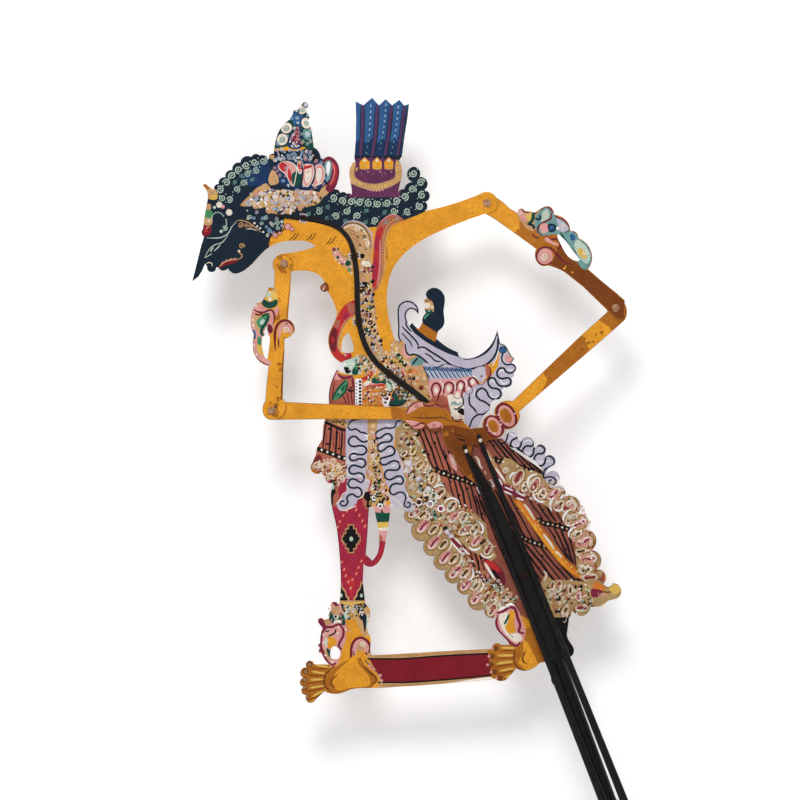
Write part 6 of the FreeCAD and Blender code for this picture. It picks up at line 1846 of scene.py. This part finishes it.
body.patch("lilac", *xy("141,213 160,212 158,206 154,204 153,190 156,186 160,176 161,160 163.6,154 "
    "169.6,147 166,141 158,142 150,148 149,158 146,166 143.6,178 141.4,190 140,200"), curved=False)
snake(xy("158,209.6 154.8,208.4 153.8,205 150.4,203.8 146.6,204 142.4,202.4 139.6,200.6 139.4,197.6 "
    "141.8,196.2 144.4,197.6 147,199.6 150,199.2 151.6,196.4 150,194 147.4,193.6 143.8,193 141,191 "
    "140.6,188.4 142.6,186.4 145.4,187.6 148.4,190 151.6,190 153.6,187 152.4,184 149.6,183 146.2,182 "
    "143.2,181 142.4,178.6 144.4,176.4 147.8,177 150.6,178.6 153.6,179.4 156.6,178 157.4,175 155.6,172.6 "
    "152.4,172.4 148.6,172.4 146.2,170.4 146.4,166.8 149.4,165.2 152.4,166.2 155.4,167.8 158.6,167.4 "
    "160,164.4 158.4,162 155,162.4 151.6,161.4 149.8,158.4 150.4,155.2 153.2,154 156,155.6 159,155.8 "
    "161.2,154 161.8,151.2 161,148.6 160.8,146 163,144.4 165.2,145.8 164.6,148 162.8,148"), (((147, 206.4),
    (150.6, 206)), ((146, 196.6), (149, 197)), ((143, 189.6), (145, 191.4)), ((148.6, 186), (151, 187.4)),
    ((151, 175.6), (154.4, 176.4)), ((155, 165), (157.6, 165.6))), (((142, 195), (145.4, 194.8)),
    ((142.4, 184.6), (146, 183.6)), ((158.6, 178), (159.4, 173.6)), ((161.4, 167), (161, 162.6)),
    xy("163,155.6 163.8,151.4 166.6,149.6 168.8,146.4 167.4,142.6"), xy("151.6,151.6 155.6,149.6 159,145")))
for c, r, p in (((138, 151.4), 3.1, "navy"), ((142.6, 145.4), 3.4, "navy"), ((147.6, 151.4), 1.6, "black"),
        ((143, 153), 1.2, "black"), ((144.4, 149), 1.1, "black"), ((134, 155), 1.2, "curl_green")):
    body.dot(p, c, r)
    if r > 3:
        body.dot("white", c, r * 0.66)
        body.dot("black", c, r * 0.3)
for c, r, p in (((140.6, 148.4), 1.6, "yellow"), ((146, 147.6), 1.5, "cream"),
        ((147.6, 154.6), 1.5, "white"), ((135, 147.6), 1.5, "tan"), ((151, 145.4), 1.6, "white")):
    Stamps.add("front_skirt", "curl", p, c, r, c[0] * 30)
# small scrolls in the middle strip and along the hem
for seed, bed in enumerate((xy("134,211 140,211 141,188 143,172 148,150 134,147 134,190"),
        xy("92,177 100,167 112,161 117,164 117,177 100,183"), xy("104,211 118,211 118,205 106,208"))):
    carve(bed, 2.7, ("cream", "yellow", "pink", "cream"), 50 + seed, "front_skirt",
        ("black", "brown", "brown")[seed])
# sash end
body.patch("cream", *xy("136,143.6 152,143.6 150.6,128 149.6,118 140,118 139,130"), curved=False)
body.patch("pink", *xy("138,141.6 139.4,146 142.6,143.6 147.6,146.4 151,144 149.6,140.6 144,139.6 140,139.6"))
for paint, way in (
        ("deep_green", "138,141 143,140.4 143.6,143.4 145.6,140.2 151,140.6 150.6,133.4 138.6,133.4"),
        ("yellow", "139.4,133.4 150,133.6 149,129.6 140.6,129"),
        ("pink", "140,127 149.4,127 148.6,118 140.4,118")):
    body.patch(paint, *xy(way), curved=False)
body.patch("terracotta", *xy("140.6,123 143.6,123.4 144.6,118 140.6,118"))
body.patch("crimson", *xy("140,119.6 149.4,118.6 146.6,108 141.6,98 134,97 129.6,100.6 129.4,108 "
    "133.6,107.6 136.6,104.6 139.4,108"), curved=False)
body.line("red", 1.2, *xy("144.6,117 143.6,110 140.8,104.6 136.4,101.8"))

# Front leg: tight crimson breeches with rows of salmon dashes and a stepped black diamond, a dark cuff, an
# anklet with a cut ring ornament behind, and the bare gold foot on the end of the base.
leg = body.patch("crimson",
    *xy("104,166 136,166 134.6,140 132,118 130.6,96 130.4,74 112,74 112.4,100 110.4,118 106,142"),
    curved=False)
body.patch("lilac", *xy("122.4,165 134.6,165 131,152 126.6,151.6 124,146 120,143 112.6,142 110,147.6 "
    "114.4,152 117.4,158 118,165"), inside=None)
body.line("navy", 1.5, *xy("130.6,165.6 128.6,163.2 126,164.2 123,165.8 120.2,165.2 118.6,162.2 120,159.6 "
    "123,159 126,159.4 128.4,157.4 128.8,154.4 127,152.2 124.4,152.8 122,154.4 119.2,153.6 117.6,151.2 "
    "118.4,148.4 116.4,145.8 113.6,146 112.8,148 114.4,149.4 115.8,148.4"), thin=0.8)
for pts in (xy("112,165 109,158 109.6,152 107,145.4"), xy("135.6,158 131.6,154 131.8,148 134,143.6")):
    body.line("terracotta", 4.4, *pts, thin=0.8)
for paint, way in (("black", "106,165 110.6,164 108.6,160 109.4,156 107.6,153 107,146 104.6,146 104,156"),
        ("black", "131,155.6 136,155 136,144.4 132.6,144.6 132.6,149.4 130.6,151"),
        ("curl_green", "106.4,161.6 108.4,161 107.6,157.8 106.2,158.6")):
    body.patch(paint, *xy(way))
for row in (xy("115,138.4 112.4,133.8 110.8,129.6"), xy("124.6,142.6 127,138.6 129.4,134.4 131.2,130.4"),
        xy("128.6,104.2 126.4,99.4 124.8,94.8 121.8,90.2 118.8,88.6 120.4,84"),
        xy("113.8,103.4 115.6,98 116.8,93.2"), ((124.2, 145), (118, 141.6))):
    for c in row:
        body.dot("red", (c[0], c[1]), 2.0, 1.5, 60, inside=leg)
        Stamps.add("leg", "petal", "pink", c, 1.25, 60)
star = [(0, 10), (1.6, 10), (1.6, 7), (3.6, 7), (3.6, 3.6), (5.2, 3.6), (5.2, 1.6), (6.4, 1.6)]
quarter = lambda grow: [(120.8 + sx * (x + grow), 121 + sy * (y + grow)) for sx, sy, order
    in ((1, 1, 1), (1, -1, -1), (-1, -1, 1), (-1, 1, -1)) for x, y in star[::order]]
body.patch("terracotta", *quarter(1.0), curved=False)
body.patch("tan", *quarter(0.6), curved=False)
body.patch("black", *quarter(0.0), curved=False)
body.dot("curl_green", (121, 120.8), 1.4, 1.8)
for sx in (-1, 1):
    body.patch("tan",
        *[(121 + sx * x, v) for x, v in xy("8.8,89 7.0,88.4 6.4,84.6 4.2,82 3.4,78.6 1.6,77 1.2,73 10,73")],
        curved=False)
    body.patch("black", *[(121 + sx * x, v) for x, v
        in xy("9.4,87.6 7.6,87 7.0,83.4 4.8,80.8 4.4,77.6 2.8,76 2.8,74 10,74")], curved=False)
    body.dot("curl_green", (121 + sx * 7.6, 78.4), 1.1, 1.5)
body.patch("red", *xy("117.6,90 120.4,93 124,90 122.8,83 121,76 119.6,83"), inside=leg)
Stamps.add("leg", "petal", "pink", (120.6, 84), 1.3, 80)
rim(body, "maroon", 0.7, *xy("106,141 109.8,128 112.2,108 112.8,90"))
rim(body, "maroon", 0.7, *xy("134,143 131.8,118 130.2,90"))
body.patch("tan",
    *xy("111,74.6 132,74.6 133.4,69 135.6,65 134.4,48 130,47.4 126,56 124,61 117,60 114.4,64 112,69"),
    curved=False)
body.line("yellow", 1.7, *xy("112.4,73.2 121,72.4 131.4,73.6"))
body.patch("navy", *xy("123.6,71.4 131.8,72.4 131.8,69.4 125.6,68.4 125.4,66 123.2,68"))
body.patch("navy", *xy("112.4,72 115.4,71.4 116.4,66 113.8,68"))
for c, r in (((119.2, 67.6), 2.1), ((122.8, 67.6), 1.6)):
    body.ringed(c, ("white", r), ("navy", r * 0.66), ("cream", r * 0.3))
body.patch("curl_green", *xy("115,65 118,66 117.6,60.6 115.6,61"))
for c in xy("119.6,63 122.4,62.6 125.6,64.6 121,60.8 124.8,61.4"):
    Stamps.add("leg", "petal", "yellow", c, 1.0, 90)
body.patch("navy", *xy("127.4,64.6 131,65 132.6,61 131.4,51.4 130.6,51.6 129.6,59 127.8,60.6"))
body.line("curl_green", 1.4, *xy("133.4,64.6 133,58 133.2,51.6"))
for i in range(5):
    Stamps.add("leg", "dot", "cream", (133.6, 64 - 3.1 * i), 0.6)
carve(xy("113,72 131,72 131,63 118,62"), 2.4, ("cream", "yellow", "white"), 55, "leg", "navy")
carve(xy("103,70 113,72 115,58 104,58"), 2.4, ("cream", "pink", "tan"), 56, "leg", "deep_green")
# ring ornament behind the anklet
body.patch("pink",
    *xy("94,62 102,62.6 108,76 112,75 115.4,64 117.6,56 117,46 113.6,36 111,27 104,24 96,36 93,44"),
    curved=False)
for paint, way in (("tan", "104.6,66 107.6,70.4 112,70 113.6,66 109,64"),
        ("maroon", "106.6,73.4 108.4,74.6 111,73 111.4,70.6 108.6,70.8"), ("deep_green",
        "104,65 107,65.6 108.4,62 111.6,62.6 113,65.6 115.6,63 116.6,57 114.4,56 113.4,59.6 110,58.6 105,58")):
    body.patch(paint, *xy(way))
body.ringed((109.2, 62.6), ("curl_green", 1.7), ("black", 1.0))
body.line("white", 1.7, *xy("107.8,57.6 110.6,59.6 113.6,57.8"))
body.patch("maroon", *xy("95.6,61 98.6,61.6 102.4,56 100.6,53 97.4,56.6"))
body.patch("tan", *xy("100.6,61 103.6,61.6 105.4,57.4 102,56"))
for pts, w in ((xy("114.4,57 110.6,56.6 106.6,54.8 102.6,54.6 99.6,51.4 98.4,46 98.2,41 99.6,36 102,30.6 "
        "105.6,26.6 109.6,27.6"), 2.0),
        (xy("112,57 115,52.6 114.8,48 112.6,44 111.6,40.6 113.8,37.6"), 1.8),
        (((95.6, 41.6), (98.6, 41)), 1.8), (xy("96.4,36.6 98.6,37.4 100,35.6"), 2.6)):
    body.line("maroon", w, *pts, thin=0.7)
body.line("black", 1.2, *xy("109.6,53.6 108.6,50.4 105.8,48.8 103.6,47.8"))
body.line("black", 1.0, *xy("101,52 103.4,51.4 104.4,52.6"))
for paint, way in (("gold", "103,47 106.6,47.4 110,45 109.6,42 105,38.6 103,40.4 103.6,44"),
        ("curl_green", "101.6,46.6 103,46 102.6,40 101,41.6"),
        ("deep_green", "102.6,38.8 105.6,36.4 105.4,32.6 102.8,33.6"),
        ("tan", "100.4,38 102.4,37 104.6,30.6 102.4,31.4")):
    body.patch(paint, *xy(way))
for c in xy("100.2,49 100,43 101.6,33.6 110.8,50 111.4,54.4 117,53 106.8,28.6"):
    Stamps.add("leg", "dot", "cream", c, 0.85)
# arched ornament on the ankle
body.patch("pink",
    *xy("119,24 121.6,38 123.6,45 128,48 133.4,44.6 136,38 133,33 130,38 125.4,38 124,30 122,24"))
body.line("wine", 2.0, *xy("118.6,23.8 121,28 120.8,34 121.2,40 123.6,44.8 128,46.8 132.6,44.6 135.2,39.8 "
    "133.6,34.6 131.6,35.6"), thin=0.8)
body.line("wine", 1.2, *xy("121.6,26.6 122.8,31 122.6,37"))
body.patch("tan", *xy("125.6,41.6 129.4,43.6 131.4,40.4 128.8,36.4 126,37"))
Stamps.add("leg", "curl", "cream", (129, 41.6), 2.4, 150)
Stamps.add("leg", "dot", "pink", (119.6, 52), 1.0)
body.line("brown", 1.2, (118, 54), (119.4, 51.4))
# foot and toes: ochre, with a gold middle on the foot as a painted highlight
body.patch("ochre",
    *xy("100,12 104,21 112,26.6 118,30 128,32 131,26 138,20 140,14 136,9 120,7 112,4 104,4.6"),
    curved=False)
body.patch("ochre", *xy("82,30 92,31 106,26.6 101.4,20 100,13 102,8 96,2 84,-4 80,10"), curved=False)
body.patch("gold", *xy("106,12 109,20 116,27 124,34 127,26 134,18 134,11 120,9 112,7"))
for pts, w in ((xy("108.6,25.6 103.6,21.6 100.8,16 101.2,10.6 105,6.4"), 1.5),
        (xy("110.6,18.8 107,16 106,12.6 108.6,9"), 1.2),
        (xy("130.6,25 135,20.6 139.4,17 139.4,13.6 136.6,11.8"), 1.4),
        (xy("131,30 137,24 142,18.6 143,14 141,11"), 1.3)):
    body.line("brown", w, *pts, thin=0.7)
    Lines.add("leg", "umber", 0.45, pts)
body.line("tan", 1.8, *xy("132.4,29.4 138,23.4 142.6,17.4 142.6,13"))
for k, (a, b) in enumerate((((90.6, 26.4), (104, 24.6)), ((87.6, 21.4), (101.6, 19.8)),
        ((86.6, 15), (100.4, 15.6)), ((86.4, 9), (101, 10.6)), ((88.6, 2.4), (101, 7)))):
    body.line("brown", 0.9, (a[0], a[1] - 2.6), ((a[0] + b[0]) / 2, (a[1] + b[1]) / 2 - 2.2),
        (b[0], b[1] - 1.2))
    body.line("yellow", 1.5, (a[0] + 3.4, a[1]), ((a[0] + b[0]) / 2 + 1, (a[1] + b[1]) / 2 + 0.2), b,
        thin=0.2)
    body.ringed((a[0] - 0.8, a[1] + 0.2), ("umber", 2.2), ("brown", 1.4))
    Stamps.add("leg", "curl", "tan", (a[0] - 0.8, a[1] + 0.2), 1.4, 70 * k)
rim(body, "umber", 0.5, *xy("92,29 85,20 84.6,12 87,2 92,-1.4 104,5"))

# Base: the board both feet stand on, a crimson panel between two borders of punched tan beads.
panel = body.patch("base_red",
    *xy("134,31.6 150,30.8 190,33.4 224,35.2 234,36 234,12 200,15.6 160,12.6 142,12.2 143,16 139.6,22"),
    curved=False)
for top, low in ((xy("133,33.2 160,33.2 190,35.4 227,37.2"), xy("141,11.2 165,11.2 200,13.8 228,16.6")),):
    for side, k in ((top, -1), (low, 1)):
        body.line("tan", 4.6, *side, thin=1.0)
        body.line("black", 1.3, *[(u, v + 2.2 * k) for u, v in side], thin=1.0)
        for c, a in along(side, 1.35):
            body.dot("bronze", (c[0], c[1] + 0.3 * sin(c[0] * 7)), 0.42)
            Stamps.add("base", "dot", "tan" if int(c[0] * 3) % 3 else "yellow",
                (c[0] + 0.6, c[1] - k * 0.55), 0.42)
for c in xy("134.8,25.6 137.4,23.2 142.6,18.4 143.6,14.4"):
    Stamps.add("base", "dot", "pink", c, 1.3)

# Rear foot: bare and gold, its toes towards the front, with a cut ornament in maroon outline at the heel.
body.patch("ochre", *xy("223,40 228,43 244,42.6 252,54 270,60 262,62 270,40 270,14 230,12 226,18"),
    curved=False)
body.patch("gold", *xy("250,46 254,42 262,26 252,22 246,28 250,36"), curved=False)
for k, (a, b) in enumerate((((229, 39.4), (244, 39)), ((226.4, 33.4), (243.6, 33.6)),
        ((225.4, 27), (242.6, 29)), ((228, 21.6), (243.6, 24)), ((232, 17), (246, 19.4)))):
    body.line("brown", 0.9, (a[0] + 2, a[1] - 2.8), ((a[0] + b[0]) / 2, (a[1] + b[1]) / 2 - 2.2),
        (b[0], b[1] - 2.2))
    body.line("yellow", 1.7, (a[0] + 4, a[1]), ((a[0] + b[0]) / 2 + 1, (a[1] + b[1]) / 2), b, thin=0.2)
    body.ringed((a[0] + 0.4, a[1] - 0.6), ("umber", 2.1), ("brown", 1.2))
    Stamps.add("base", "dot", "pink", (a[0] - 2.2, a[1] - 0.6), 1.1)
for pts in (xy("244,38 242.8,31 244.4,26 248,22.6 253,22.4"), xy("251.8,37 249.4,32 250.4,28.4 253,27.6")):
    body.line("brown", 1.4, *pts)
    Lines.add("base", "umber", 0.5, pts)
body.patch("pink", *xy("228,66 236,70.6 243,72 247,66 252,52 250,44 245,41 238,46 230,53"), curved=False)
body.patch("cream", *xy("232,64 236,66 240,64 238,56 240,50 246,50 249,46 245,43 238,48 233,56"))
body.patch("gold", *xy("239.6,66.6 243.6,66 243,58 244,51.6 239,50 236.4,55 238.6,59"))
body.line("deep_green", 1.7, *xy("239.4,64.6 237.6,60 235.4,56.6"))
body.line("deep_green", 1.3, (239.6, 49.6), (242.6, 47))
for pts, w in ((xy("230,65.4 234,66 239.4,69.4 243.6,68.4 245.6,62 247.6,56 246.6,51.6 250.6,49.8"), 2.1),
        (xy("230.6,63.6 229.8,58 231.6,52 235.6,47.6 240.6,42.8 245,40.8 247.6,43.6"), 2.0),
        (((230.4, 49.6), (234, 49.4)), 2.0)):
    body.line("maroon", w, *pts, thin=0.7)
body.line("white", 2.0, *xy("231,67.6 235.6,69.6 240,72 243.4,71"))

# Every stamp and line of raised paint becomes one plain mesh for its group and paint
for (group, kind, paint), marks in Stamps.book.items():
    rides, middle = GROUP_BODY.get(group, ("torso", None))
    raised(f"{group}_{kind}s_{paint}", kind, paint, rides, [m[0] for m in marks], size=[m[1] for m in marks],
           turn=[m[2] for m in marks], middle=middle, height=0.12 if kind == "curl" else 0.3, line=0.17)
for (group, paint), chains in Lines.book.items():
    rides, middle = GROUP_BODY.get(group, ("torso", None))
    points, edges, size = [], [], []
    for chain in chains:
        base = len(points)
        points += [p for p, w in chain]
        size += [w for p, w in chain]
        edges += [(base + i, base + i + 1) for i in range(len(chain) - 1)]
    raised(f"{group}_lines_{paint}", "line", paint, rides, points, edges, size=size, middle=middle,
        width=1.0 * MM, height=0.25)

# lay the painted hides

lay_sheet(body, "body_hide_painted", "torso", lambda u, v: -0.6, 1.2)
